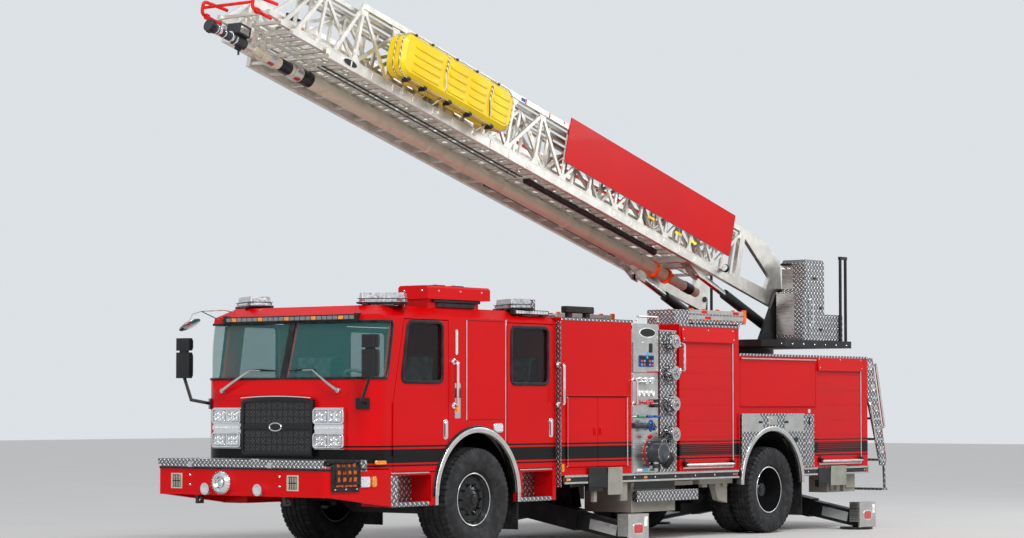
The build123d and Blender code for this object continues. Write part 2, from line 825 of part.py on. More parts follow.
condenser_x = (x_cab_front - 2265, x_cab_front - 1185)
condenser_y = (635, 1050)
condenser_z = (z_cab_roof + 90, z_cab_roof + 235)
with BuildPart() as roof_condenser:
    block(condenser_x, condenser_y, condenser_z)
    chamfer(roof_condenser.edges().filter_by(Axis.X).group_by(Axis.Z)[-1], length=25)
    block(
        (condenser_x[0] + 150, condenser_x[1] - 60),
        (condenser_y[0] + 40, cab_half - roof_bevel),
        (z_cab_roof + seat_gap, condenser_z[0]),
    )
finish("roof_condenser", roof_condenser)

# Cab interior: engine cover, dash with the wheel on its column, and four seats
cover_wall = 25
dash_half = cab_half - 242
z_cover_top = z_engine_top + 70
seat_width = 480
z_seat = 1440
seat_places = [
    # x of the seat's back face, y, direction that the seat faces
    (x_front_door_rear - 60, 740, 1),
    (x_front_door_rear - 60, -740, 1),
    (x_cab_rear + 140, 740, 1),
    (x_cab_rear + 140, -740, 1),
]
with BuildPart() as cab_interior:
    cover_x = (x_engine_rear - 60 - cover_wall, x_engine_front + 60 + cover_wall)
    floor_top = z_cab_floor + cab_wall + seat_gap
    y_cover = well_inner_y - 22
    block(cover_x, (-y_cover, y_cover), (floor_top, z_cover_top))
    block(
        (cover_x[0] + cover_wall, cover_x[1] - cover_wall),
        (-y_cover + cover_wall, y_cover - cover_wall),
        (floor_top, z_cover_top - cover_wall),
        Mode.SUBTRACT,
    )
    with BuildSketch(side_plane(dash_half)) as dash:
        with BuildLine():
            Polyline(
                (x_cab_front - 70, 1300),
                (x_cab_front - 110, 1830),
                (x_cab_front - 420, 1790),
                (x_cab_front - 470, 1700),
                (x_cab_front - 330, 1300),
                close=True,
            )
        make_face()
    extrude(dash.sketch, amount=2 * dash_half)
    column = Plane((x_cab_front - 430, 700, 1700), x_dir=(0, 1, 0), z_dir=(-0.6, 0, 0.8))
    with BuildSketch(column) as post:
        Circle(30)
    extrude(post.sketch, amount=150)
    with BuildSketch(column.offset(150)) as rim:
        Circle(230)
        Circle(205, mode=Mode.SUBTRACT)
        for turn in (90, 210, 330):
            with Locations(Location((0, 0), turn)):
                with Locations((108, 0)):
                    Rectangle(216, 26)
        Circle(60)
    extrude(rim.sketch, amount=25)
    for x_back, y_seat, facing in seat_places:
        y_pair = (y_seat - seat_width / 2, y_seat + seat_width / 2)
        base_low = well_top + 20 + seat_gap if x_back > x_front_arch - well_half_length - 20 else floor_top
        block((x_back, x_back + facing * 480), y_pair, (z_seat - 110, z_seat))
        block(
            (x_back + 60, x_back + 420),
            (y_pair[0] + 60, y_pair[1] - 60),
            (base_low, z_seat - 110),
        )
        back_rest = [
            (x_back, z_seat + seat_gap),
            (x_back + facing * 130, z_seat + seat_gap),
            (x_back + facing * 50, z_seat + 680),
            (x_back - facing * 60, z_seat + 680),
        ]
        raised_outline(back_rest, side_plane(y_pair[1]), seat_width)
finish("cab_interior", cab_interior)

# Bright trims: arch rings on the cab, and stainless panels with rings round the rear wheels
wheel_panel_front = 715
wheel_panel_rear = 700
z_wheel_panel = 1494
panel_skin = 12


def arch_ring(x, z, radius, plane, depth):
    """The upper part of a ring round a wheel, with straight legs down to the skirt."""
    with BuildSketch(plane) as ring:
        with Locations((x, z)):
            Circle(radius + arch_trim_width)
        with Locations((x, z - 500)):
            Rectangle(3 * radius, 1000, mode=Mode.SUBTRACT)
        with Locations((x, (z + z_skirt) / 2)):
            Rectangle(2 * (radius + arch_trim_width), z - z_skirt)
        with Locations((x, z)):
            Circle(radius, mode=Mode.SUBTRACT)
        with Locations((x, z_skirt)):
            Rectangle(2 * radius, 2 * (z - z_skirt), mode=Mode.SUBTRACT)
    extrude(ring.sketch, amount=depth)


with BuildPart() as arch_trims:
    for side in (-1, 1):
        outer = cab_half + arch_trim_depth
        plane = side_plane(outer if side > 0 else -(cab_half + seat_gap))
        arch_ring(x_front_arch, front_arch_z, front_arch_radius, plane, arch_trim_depth - seat_gap)
        outer = body_half + panel_skin
        plane = side_plane(outer if side > 0 else -(body_half + seat_gap))
        with BuildSketch(plane) as wheel_panel:
            x_panel = x_rear_arch + (wheel_panel_front - wheel_panel_rear) / 2
            with Locations((x_panel, (z_body_bottom + z_wheel_panel) / 2)):
                Rectangle(wheel_panel_front + wheel_panel_rear, z_wheel_panel - z_body_bottom)
            with Locations((x_rear_arch, rear_arch_z)):
                Circle(rear_arch_radius, mode=Mode.SUBTRACT)
        extrude(wheel_panel.sketch, amount=panel_skin - seat_gap)
        outer = body_half + panel_skin + arch_trim_depth
        plane = side_plane(outer if side > 0 else -(body_half + seat_gap))
        with BuildSketch(plane) as ring:
            with Locations((x_rear_arch, rear_arch_z)):
                Circle(rear_arch_radius + arch_trim_width)
                Circle(rear_arch_radius, mode=Mode.SUBTRACT)
            with Locations((x_rear_arch, rear_arch_z + 40 - 1000)):
                Rectangle(4 * rear_arch_radius, 2000, mode=Mode.SUBTRACT)
        extrude(ring.sketch, amount=panel_skin + arch_trim_depth - seat_gap)
finish("arch_trims", arch_trims)

# Module behind the cab, with a locker behind each pair of doors, and the pump house core behind it
locker_depth = 620
leaf_thickness = 30
leaf_gap = 8
locker_front = 100
locker_rear = 70
z_locker = (887, 1692)
rail_clear = rail_half + 20
rail_notch = z_rail_top + seat_gap
locker_x = (x_module_rear + locker_rear, x_module_front - locker_front)
with BuildPart() as module_shell:
    block((x_module_rear, x_module_front), (-body_half, body_half), (z_body_bottom, z_module_top))
    block(
        (x_column_rear, x_module_rear),
        (-panel_half + 30, panel_half - 30),
        (z_body_bottom, z_module_top - 90),
    )
    rail_slot = (-rail_clear, rail_clear)
    block((x_column_rear, x_module_front), rail_slot, (z_body_bottom, rail_notch), Mode.SUBTRACT)
    for side in (-1, 1):
        block(locker_x, (side * (body_half - locker_depth), side * body_half), z_locker, Mode.SUBTRACT)
finish("module_shell", module_shell)

# Locker leaves: each pair meets in the middle and swings on its outer edge
x_leaf_split = (locker_x[0] + locker_x[1]) / 2
leaf_table = [
    # name, rear edge, front edge, hinge line, hinge leaf's reach
    (
        "locker_leaf_front",
        x_leaf_split + leaf_gap / 2,
        locker_x[1] - leaf_gap,
        locker_x[1],
        -hinge_reach,
    ),
    (
        "locker_leaf_rear",
        locker_x[0] + leaf_gap,
        x_leaf_split - leaf_gap / 2,
        locker_x[0],
        hinge_reach,
    ),
]
for leaf_name, x_low, x_high, x_hinge, reach in leaf_table:
    for side, end in ((1, "left"), (-1, "right")):
        with BuildPart() as leaf:
            block(
                (x_low, x_high),
                (side * (body_half - leaf_thickness), side * body_half),
                (z_locker[0] + leaf_gap, z_locker[1] - leaf_gap),
            )
            z_hinge = (z_locker[0] + 2 * leaf_gap, z_locker[1] - 2 * leaf_gap)
            piano_hinge(x_hinge, side * body_half, reach, z_hinge)
        finish(leaf_name + "_" + end, leaf)



def slanted_drum(radius, start, end):
    """A round bar from one point to another, in any direction."""
    reach = Vector(*end) - Vector(*start)
    with BuildSketch(Plane(start, z_dir=reach)) as bar_end:
        Circle(radius)
    extrude(bar_end.sketch, amount=reach.length)


# Pump panels: stainless plates with the treadplate column, four capped outlets and, low down, the
# intake valve: a flanged barrel with its capped elbow aimed down, a gearbox beside it and a drain
outlet_radius = 82
outlet_length = 100
outlet_heights = (2350, 1975, 1610, 1250)
valve_flange = 150
valve_radius = 112
valve_length = 190
valve_cap_radius = 86
valve_gear_radius = 58
valve_drain_radius = 45
z_inlet = 1035
with BuildPart() as pump_panels:
    for side in (-1, 1):
        y_back = side * (panel_half - 30 + seat_gap)
        x_plate = (x_column_rear + 5, x_module_rear - 5)
        block(x_plate, (y_back, side * panel_half), (z_body_bottom, z_module_top - 95))
        block(
            (x_column_rear + 5, x_panel_rear),
            (side * panel_half, side * (panel_half + 14)),
            (z_body_bottom, z_module_top - 95),
        )
        for z_outlet in outlet_heights:
            y_pair = (side * (panel_half + 14), side * (panel_half + 14 + outlet_length))
            crosswise_drum(outlet_radius, (x_column_rear + x_panel_rear) / 2 - 30, y_pair, z_outlet)
        x_inlet = x_panel_rear + 160
        crosswise_drum(valve_flange, x_inlet, (side * panel_half, side * (panel_half + 26)), z_inlet)
        y_valve = side * (panel_half + valve_length - valve_radius)
        y_barrel = (side * panel_half, side * (panel_half + valve_length))
        crosswise_drum(valve_radius, x_inlet, y_barrel, z_inlet)
        slanted_drum(
            valve_cap_radius,
            (x_inlet, y_valve, z_inlet),
            (x_inlet - 120, side * (panel_half + valve_length + 18), z_inlet - 110),
        )
        y_gear = (side * panel_half, side * (panel_half + 130))
        crosswise_drum(valve_gear_radius, x_inlet - 95, y_gear, z_inlet + 105)
        upright_drum(valve_drain_radius, x_inlet, y_valve, (z_inlet - valve_flange - 25, z_inlet))
        block(
            (x_module_rear - 330, x_module_rear - 60),
            (side * panel_half, side * (panel_half + 18)),
            (1980, 2330),
        )
finish("pump_panels", pump_panels)

# Rear body: a tall bay with a shutter, the long lift-up doors over the wheels, and a rear bay
bay_depth = 60
lift_bay_depth = 450
shutter_thickness = 26
shutter_set_back = 12
z_tall_bay = (z_body_bottom + 25, 2363)
tall_bay_x = (x_low_front + 108, x_body_front - 40)
lift_door_x = (x_low_front - 1795, x_low_front - 20)
z_lift_door = (1570, 2173)
rear_bay_x = (x_body_rear + 140, x_low_front - 1837)
z_rear_bay = (z_body_bottom + 25, 2050)
lift_door_thickness = 30
hood_rise = 170
hood_top_depth = 5
hood_foot_depth = 26
rear_well_inner = 560
x_turntable = x_axle_rear - 970
pedestal_radius = 480
ring_radius = 560
with BuildPart() as body_shell:
    block((x_body_rear, x_body_front), (-body_half, body_half), (z_body_bottom, z_low_deck))
    block((x_low_front, x_body_front), (-body_half, body_half), (z_low_deck, z_tall_top))
    block((x_body_rear, x_body_front), (-rail_clear, rail_clear), (z_body_bottom, rail_notch), Mode.SUBTRACT)
    for side in (-1, 1):
        for x_bay, z_bay in ((tall_bay_x, z_tall_bay), (rear_bay_x, z_rear_bay)):
            block(x_bay, (side * (body_half - bay_depth), side * body_half), z_bay, Mode.SUBTRACT)
            # The hood over the shutter's drum leans out towards its foot
            with BuildSketch(Plane.YZ.offset(x_bay[0])) as hood:
                with BuildLine():
                    Polyline(
                        (side * (body_half - body_wall), z_bay[1]),
                        (side * (body_half + hood_foot_depth), z_bay[1]),
                        (side * (body_half + hood_top_depth), z_bay[1] + hood_rise),
                        (side * (body_half - body_wall), z_bay[1] + hood_rise),
                        close=True,
                    )
                make_face()
            extrude(hood.sketch, amount=x_bay[1] - x_bay[0])
        lift_bay_y = (side * (body_half - lift_bay_depth), side * body_half)
        block(lift_door_x, lift_bay_y, z_lift_door, Mode.SUBTRACT)
        with BuildSketch(side_plane(body_half if side > 0 else -rear_well_inner)) as well:
            with Locations((x_rear_arch, rear_arch_z)):
                Circle(rear_arch_radius)
        extrude(well.sketch, amount=body_half - rear_well_inner, mode=Mode.SUBTRACT)
    upright_drum(pedestal_radius + 5, x_turntable, 0, (z_body_bottom, z_low_deck), Mode.SUBTRACT)
finish("body_shell", body_shell)

# Shutters: slatted curtains in the four bays, each with a bar along its foot
slat_pitch = 64
slat_gap = 6
lift_bar_radius = 15
lift_bar_stand_out = 42
lift_bar_rise = 55
with BuildPart() as roll_shutters:
    for side in (-1, 1):
        for x_bay, z_bay in ((tall_bay_x, z_tall_bay), (rear_bay_x, z_rear_bay)):
            y_face = body_half - shutter_set_back
            block(
                (x_bay[0] + seat_gap, x_bay[1] - seat_gap),
                (side * (y_face - shutter_thickness), side * y_face),
                (z_bay[0] + seat_gap, z_bay[1] - seat_gap),
            )
            slats = int((z_bay[1] - z_bay[0]) / slat_pitch / 3)
            for row in range(1, slats):
                z_slot = z_bay[0] + row * slat_pitch * 3
                block(
                    (x_bay[0] - 1, x_bay[1] + 1),
                    (side * (y_face - 5), side * (y_face + 1)),
                    (z_slot, z_slot + slat_gap),
                    Mode.SUBTRACT,
                )
            y_bar = side * (y_face + lift_bar_stand_out)
            z_bar = z_bay[0] + lift_bar_rise
            lengthwise_drum(lift_bar_radius, (x_bay[0] + 30, x_bay[1] - 30), y_bar, z_bar)
            for x_bracket in (x_bay[0] + 60, x_bay[1] - 60):
                block(
                    (x_bracket - 14, x_bracket + 14),
                    (side * (y_face - 2), y_bar),
                    (z_bar - lift_bar_radius, z_bar + lift_bar_radius),
                )
finish("roll_shutters", roll_shutters)

for side, end in ((1, "left"), (-1, "right")):
    with BuildPart() as lift_door:
        block(
            (lift_door_x[0] + door_gap, lift_door_x[1] - door_gap),
            (side * (body_half - lift_door_thickness), side * body_half),
            (z_lift_door[0] + door_gap, z_lift_door[1] - door_gap),
        )
        x_hinge = (lift_door_x[0] + 2 * door_gap, lift_door_x[1] - 2 * door_gap)
        y_hinge = side * (body_half + hinge_radius + seat_gap)
        z_hinge = z_lift_door[1]
        lengthwise_drum(hinge_radius, x_hinge, y_hinge, z_hinge)
        y_leaf = (side * (body_half - 1), side * (body_half + hinge_leaf))
        block(x_hinge, y_leaf, (z_hinge - hinge_reach, z_hinge))
    finish("lift_door_" + end, lift_door)

# Rub rails under the body sides, broken by the rear wheels
rub_height = 95
rub_stand_out = 20
rub_depth = 80
x_arch_gap = rear_arch_radius + arch_trim_width + 25
with BuildPart() as rub_rails:
    for side in (-1, 1):
        for x_low, x_high in (
            (x_rear_arch + x_arch_gap, x_module_front - 40),
            (x_body_rear, x_rear_arch - x_arch_gap),
        ):
            block(
                (x_low, x_high),
                (side * (body_half - rub_depth), side * (body_half + rub_stand_out)),
                (z_body_bottom - rub_height, z_body_bottom - seat_gap),
            )
            block(
                (x_low - 1, x_high + 1),
                (side * (body_half + rub_stand_out - 12), side * (body_half + rub_stand_out + 1)),
                (z_body_bottom - rub_height + 20, z_body_bottom - 20),
                Mode.SUBTRACT,
            )
finish("rub_rails", rub_rails)

# Turntable pedestal: a drum from the frame up through the deck, with the slew ring on top
ring_thickness = 95
z_ring_top = z_low_deck + seat_gap + ring_thickness
with BuildPart() as turntable_pedestal:
    upright_drum(pedestal_radius, x_turntable, 0, (z_rail_top + seat_gap, z_low_deck + seat_gap))
    upright_drum(ring_radius, x_turntable, 0, (z_low_deck + seat_gap, z_ring_top))
finish("turntable_pedestal", turntable_pedestal)

# Rear stairs: two sloping stringers with treads between, grab rails, and a stirrup step below
stair_y = (700, 1235)
stair_foot_x = x_body_rear - 500
z_stair_foot = 800
stringer_thickness = 25
stringer_depth = 150
tread_count = 5
tread_depth = 190
tread_thickness = 30
handrail_radius = 17
handrail_stand_off = 90
handrail_heights = (1290, 2120)
with BuildPart() as rear_stairs:
    stringer = [
        (x_body_rear - seat_gap, z_low_deck - 10),
        (x_body_rear - seat_gap - stringer_depth, z_low_deck - 10),
        (stair_foot_x, z_stair_foot + 60),
        (stair_foot_x, z_stair_foot),
        (stair_foot_x + 140, z_stair_foot),
        (x_body_rear - seat_gap, z_low_deck - 460),
    ]
    for y_stringer in stair_y:
        raised_outline(stringer, side_plane(y_stringer + stringer_thickness / 2), stringer_thickness)
    slope = (x_body_rear - stringer_depth - stair_foot_x) / (z_low_deck - 70 - z_stair_foot)
    # Handrails stand off the rear edge of both stringers on two short posts each
    rake = math.atan(slope)
    for y_rail in stair_y:
        ends = []
        for z_end in handrail_heights:
            x_edge = stair_foot_x + slope * (z_end - z_stair_foot - 60)
            x_rail = x_edge - handrail_stand_off * math.cos(rake)
            z_rail = z_end + handrail_stand_off * math.sin(rake)
            ends.append((x_rail, y_rail, z_rail))
            slanted_drum(handrail_radius - 4, (x_edge + 8, y_rail, z_end), (x_rail, y_rail, z_rail))
        slanted_drum(handrail_radius, ends[0], ends[1])
    for tread in range(tread_count):
        z_tread = z_stair_foot + 60 + tread * (z_low_deck - z_stair_foot - 60) / tread_count
        x_nose = stair_foot_x + slope * max(0, z_tread - z_stair_foot - 60) + 5
        block(
            (x_nose, x_nose + tread_depth),
            (stair_y[0], stair_y[1]),
            (z_tread, z_tread + tread_thickness),
        )
    for y_stringer in stair_y:
        raised_outline(
            [
                (stair_foot_x + 10, z_stair_foot - 300),
                (stair_foot_x + 40, z_stair_foot - 300),
                (stair_foot_x + 60, z_stair_foot + 20),
                (stair_foot_x + 30, z_stair_foot + 20),
            ],
            side_plane(y_stringer + stringer_thickness / 2),
            stringer_thickness,
        )
    block(
        (stair_foot_x - 40, stair_foot_x + 110),
        (stair_y[0] - stringer_thickness / 2, stair_y[1] + stringer_thickness / 2),
        (z_stair_foot - 330, z_stair_foot - 300),
    )
finish("rear_stairs", rear_stairs)

# Roof gear: the bed that the ladder rests on, a treadplate box, and two nested ground ladders
pivot_height = 3000
x_pivot = x_turntable - 200
cradle_top = pivot_height - 163 - 30
ground_ladder_length = 1250
with BuildPart() as roof_gear:
    cradle_x = (x_module_front - 330, x_module_front - 200)
    block(cradle_x, (-640, 640), (z_module_top + seat_gap, z_module_top + 60))
    for side in (-1, 1):
        block(cradle_x, (side * 530, side * 640), (z_module_top + seat_gap, cradle_top))
    block((x_body_front - 330, x_body_front - 20), (780, 1180), (z_tall_top + seat_gap, z_tall_top + 180))
    for level in (0, 1):
        z_ladder = z_tall_top + 30 + level * 85
        for y_side in (860, 1150):
            block(
                (x_body_front - 340 - ground_ladder_length, x_body_front - 340),
                (y_side - 20, y_side + 20),
                (z_ladder, z_ladder + 65),
            )
    for x_stand in (x_body_front - 500, x_body_front - 340 - ground_ladder_length + 120):
        block((x_stand - 20, x_stand + 20), (860, 1150), (z_tall_top + seat_gap, z_tall_top + 130))
finish("roof_gear", roof_gear)

# Outriggers: crossed box beams that slide out and down through sleeves under the rails
beam_slope = 10.5
beam_size = (160, 200)
beam_gap = 5
sleeve_wall = 15
sleeve_mouth_y = 840
z_sleeve_mouth = 262
beam_reach_y = 1630
sleeve_length = 1380
beam_inside = 1000
slide_pad = 60
shield_size = (400, 320)
shield_thickness = 22
pad_radius = 210
pad_thickness = 30
outrigger_table = [
    # name, station behind the front axle, side that the beam reaches out on
    ("outrigger_front_left", 2385, 1),
    ("outrigger_front_right", 2700, -1),
    ("outrigger_rear_right", 7200, -1),
    ("outrigger_rear_left", 7500, 1),
]


def beam_plane(x, side, y):
    """A plane square to a sloping beam at y: its sketch reads along X, then up the beam's depth."""
    angle = math.radians(beam_slope)
    z = z_sleeve_mouth + (sleeve_mouth_y - y) * math.tan(angle)
    return Plane((x, side * y, z), x_dir=(1, 0, 0), z_dir=(0, -side * math.cos(angle), math.sin(angle)))


with BuildPart() as outrigger_sleeves:
    for name, behind, side in outrigger_table:
        x_beam = x_axle_front - behind
        wide = beam_size[0] + 2 * beam_gap + 2 * sleeve_wall
        high = beam_size[1] + 2 * beam_gap + 2 * sleeve_wall
        with BuildSketch(beam_plane(x_beam, side, sleeve_mouth_y)) as tube:
            Rectangle(wide, high)
            Rectangle(wide - 2 * sleeve_wall, high - 2 * sleeve_wall, mode=Mode.SUBTRACT)
        extrude(tube.sketch, amount=sleeve_length)
        for y_hanger in (-300, 330):
            z_tube = z_sleeve_mouth + (sleeve_mouth_y - y_hanger) * math.tan(math.radians(beam_slope))
            block(
                (x_beam - wide / 2, x_beam - wide / 2 + sleeve_wall),
                (side * (y_hanger - 70), side * (y_hanger + 70)),
                (z_tube, z_rail_bottom - seat_gap),
            )
            block(
                (x_beam + wide / 2 - sleeve_wall, x_beam + wide / 2),
                (side * (y_hanger - 70), side * (y_hanger + 70)),
                (z_tube, z_rail_bottom - seat_gap),
            )
finish("outrigger_sleeves", outrigger_sleeves)

for name, behind, side in outrigger_table:
    x_beam = x_axle_front - behind
    z_end = z_sleeve_mouth + (sleeve_mouth_y - beam_reach_y) * math.tan(math.radians(beam_slope))
    with BuildPart() as outrigger:
        with BuildSketch(beam_plane(x_beam, side, beam_reach_y)) as beam:
            Rectangle(beam_size[0], beam_size[1])
        beam_length = (beam_reach_y - sleeve_mouth_y) / math.cos(math.radians(beam_slope)) + beam_inside
        extrude(beam.sketch, amount=beam_length)
        pad_play = 2 * (beam_gap - seat_gap)
        with BuildSketch(beam_plane(x_beam, side, beam_reach_y).offset(beam_length - slide_pad)) as pad:
            Rectangle(beam_size[0] + pad_play, beam_size[1] + pad_play)
        extrude(pad.sketch, amount=slide_pad)
        block(
            (x_beam - shield_size[0] / 2, x_beam + shield_size[0] / 2),
            (side * beam_reach_y, side * (beam_reach_y + shield_thickness)),
            (pad_thickness, pad_thickness + shield_size[1]),
        )
        upright_drum(pad_radius, x_beam, side * (beam_reach_y - pad_radius + 60), (0, pad_thickness))
        block(
            (x_beam - 70, x_beam + 70),
            (side * (beam_reach_y - 160), side * (beam_reach_y + 2)),
            (pad_thickness - 5, z_end),
        )
    finish(name, outrigger)

# Underbody: fuel tanks hung beside the rails, pull-out steps above them, and small flap boxes behind
tank_x = (x_axle_front - 3850, x_axle_front - 2950)
tank_y = (rail_half + 40, 1150)
z_tank = (340, 640)
step_x = (x_axle_front - 4200, x_axle_front - 2920)
z_step = (z_tank[1] - 2, 690)
with BuildPart() as underbody_boxes:
    for side in (-1, 1):
        block(tank_x, (side * tank_y[0], side * tank_y[1]), z_tank)
        block(
            (tank_x[0] + 60, tank_x[1] - 60),
            (side * (rail_half + seat_gap), side * (tank_y[0] + 5)),
            (z_tank[1] - 160, z_rail_bottom + 60),
        )
        block(step_x, (side * (rail_half + seat_gap), side * (body_half - rub_depth - 10)), z_step)
        for x_flap, length in ((x_body_rear + 560, 330), (x_body_rear + 190, 280)):
            block(
                (x_flap, x_flap + length),
                (side * 900, side * (body_half - rub_depth - 10)),
                (470, z_body_bottom - seat_gap),
            )
finish("underbody_boxes", underbody_boxes)

# Turntable: the deck that slews on the ring, with the ladder's two uprights, pins and handrails
deck_front = 650
deck_rear = 1200
deck_half = 1110
deck_thickness = 90
deck_corner = 220
z_deck = z_ring_top + 20
z_turntable_top = z_deck + deck_thickness
upright_y = (615, 655)
pin_radius = 38
pin_gap = 0.5
ladder_half = 600
heel_thickness = 60
lift_pin_y = 460
lift_pin_x = x_turntable - 310
lift_pin_z = 2550
lift_pin_radius = 25
rail_height = 1075
rail_tube = 20
x_hoop = x_turntable - deck_rear + 60
with BuildPart() as turntable_deck:
    with BuildSketch(Plane.XY.offset(z_deck)) as deck:
        with Locations((x_turntable + (deck_front - deck_rear) / 2, 0)):
            Rectangle(deck_front + deck_rear, 2 * deck_half)
        chamfer(deck.vertices().group_by(Axis.X)[-1], length=deck_corner)
    extrude(deck.sketch, amount=deck_thickness)
    upright_drum(ring_radius - 60, x_turntable, 0, (z_ring_top + seat_gap, z_deck))
    for side in (-1, 1):
        frame = [
            (x_pivot - 330, z_turntable_top),
            (x_pivot + 520, z_turntable_top),
            (x_pivot + 110, pivot_height + 70),
            (x_pivot + 40, pivot_height + 110),
            (x_pivot - 40, pivot_height + 110),
            (x_pivot - 110, pivot_height + 70),
        ]
        y_outer = upright_y[1] if side > 0 else -upright_y[0]
        raised_outline(frame, side_plane(y_outer), upright_y[1] - upright_y[0])
        crosswise_drum(90, x_pivot, (side * upright_y[1], side * (upright_y[1] + 30)), pivot_height)
        y_pin = (side * (ladder_half - heel_thickness - 10), side * upright_y[0])
        crosswise_drum(pin_radius, x_pivot, y_pin, pivot_height)
        for y_lug in (lift_pin_y - 96, lift_pin_y + 72):
            lug = [
                (lift_pin_x - 70, z_turntable_top),
                (lift_pin_x + 110, z_turntable_top),
                (lift_pin_x + 45, lift_pin_z + 40),
                (lift_pin_x - 45, lift_pin_z + 40),
            ]
            raised_outline(lug, side_plane(y_lug + 24 if side > 0 else -y_lug), 24)
        y_lift_pin = (side * (lift_pin_y - 96), side * (lift_pin_y + 96))
        crosswise_drum(lift_pin_radius, lift_pin_x, y_lift_pin, lift_pin_z)
        z_hoop = z_turntable_top + rail_height
        y_hoop = side * (deck_half - 50)
        for x_post in (x_hoop, x_hoop + 130):
            upright_drum(rail_tube, x_post, y_hoop, (z_turntable_top, z_hoop))
        block(
            (x_hoop - rail_tube, x_hoop + 130 + rail_tube),
            (y_hoop - rail_tube, y_hoop + rail_tube),
            (z_hoop, z_hoop + 2 * rail_tube),
        )
finish("turntable_deck", turntable_deck)

# Operator's console: a low treadplate cabinet with a set-back upper case, on the driver's side
console_y = (upright_y[1] + 45, deck_half - 10)
console_x = (x_turntable - 540, x_turntable - 10)
with BuildPart() as turntable_console:
    block(console_x, console_y, (z_turntable_top + seat_gap, z_turntable_top + 620))
    block(
        (console_x[0], console_x[1] - 60),
        (console_y[0] + 50, console_y[1]),
        (z_turntable_top + 620, z_turntable_top + 1040),
    )
    chamfer(turntable_console.edges().filter_by(Axis.Y).group_by(Axis.Z)[-1], length=40)
finish("turntable_console", turntable_console)

# Ladder: four nested trussed sections on one pivot, raised at rest by the elevation angle
elevation = 15.4
tilt = math.radians(elevation)
ladder_x = Vector(math.cos(tilt), 0, math.sin(tilt))
ladder_z = Vector(-math.sin(tilt), 0, math.cos(tilt))


def ladder_plane(y):
    """The upright plane at y that reads along the ladder, then up its depth, from the pivot."""
    return Plane((x_pivot, y, pivot_height), x_dir=tuple(ladder_x), z_dir=(0, -1, 0))


def ladder_point(s, n):
    """The x and z of a point s along the ladder from the pivot and n up its depth."""
    return x_pivot + s * ladder_x.X + n * ladder_z.X, pivot_height + s * ladder_x.Z + n * ladder_z.Z


chord_height = 120
rail_size = 60
lattice_bar = 38
lattice_thickness = 26
rung_size = 30
rung_pitch = 356
heel_end = 1000
cylinder_pin_s = 1629
cylinder_pin_n = -200
ladder_table = [
    # name, outer half width, underside, top, heel, tip, bays, first rung
    ("ladder_base", 600, -163, 617, -60, 9080, 14, 1960),
    ("ladder_lower_mid", 515, -85, 550, 1000, 9590, 14, 1180),
    ("ladder_upper_mid", 445, -20, 490, 1100, 9720, 15, 1280),
    ("ladder_fly", 378, 45, 430, 1200, 9850, 15, 1380),
]
pipe_table = [
    # outer radius, bore radius, heel end, places of the saddles that hang it from the section
    (80, 70, 1750, (1990, 5500, 8700)),
    (65, 56, 1810, (9460,)),
    (51, 43, 1870, (9608,)),
    (38, 0, 1930, (9738,)),
]
pipe_setback = 100
saddle_half = 30
pad_place = 140
pad_length = 160
pad_height = 17
pad_lap = 5
pad_clear = 5
chord_width = 55
tip_rake = 400
pipe_n = -225


def lattice(s_start, s_end, n_low, n_high, bays):
    """Posts and diagonals of a truss side between two rails, as a sketch on the ladder's own plane."""
    pitch = (s_end - s_start) / bays
    height = n_high - n_low
    for bay in range(bays + 1):
        with Locations((s_start + bay * pitch, (n_low + n_high) / 2)):
            Rectangle(lattice_bar, height)
    reach = math.hypot(pitch, height)
    lean = math.degrees(math.atan2(height, pitch))
    for bay in range(bays):
        turn = lean if bay % 2 else -lean
        with Locations(Location((s_start + (bay + 0.5) * pitch, (n_low + n_high) / 2), turn)):
            Rectangle(reach, lattice_bar)


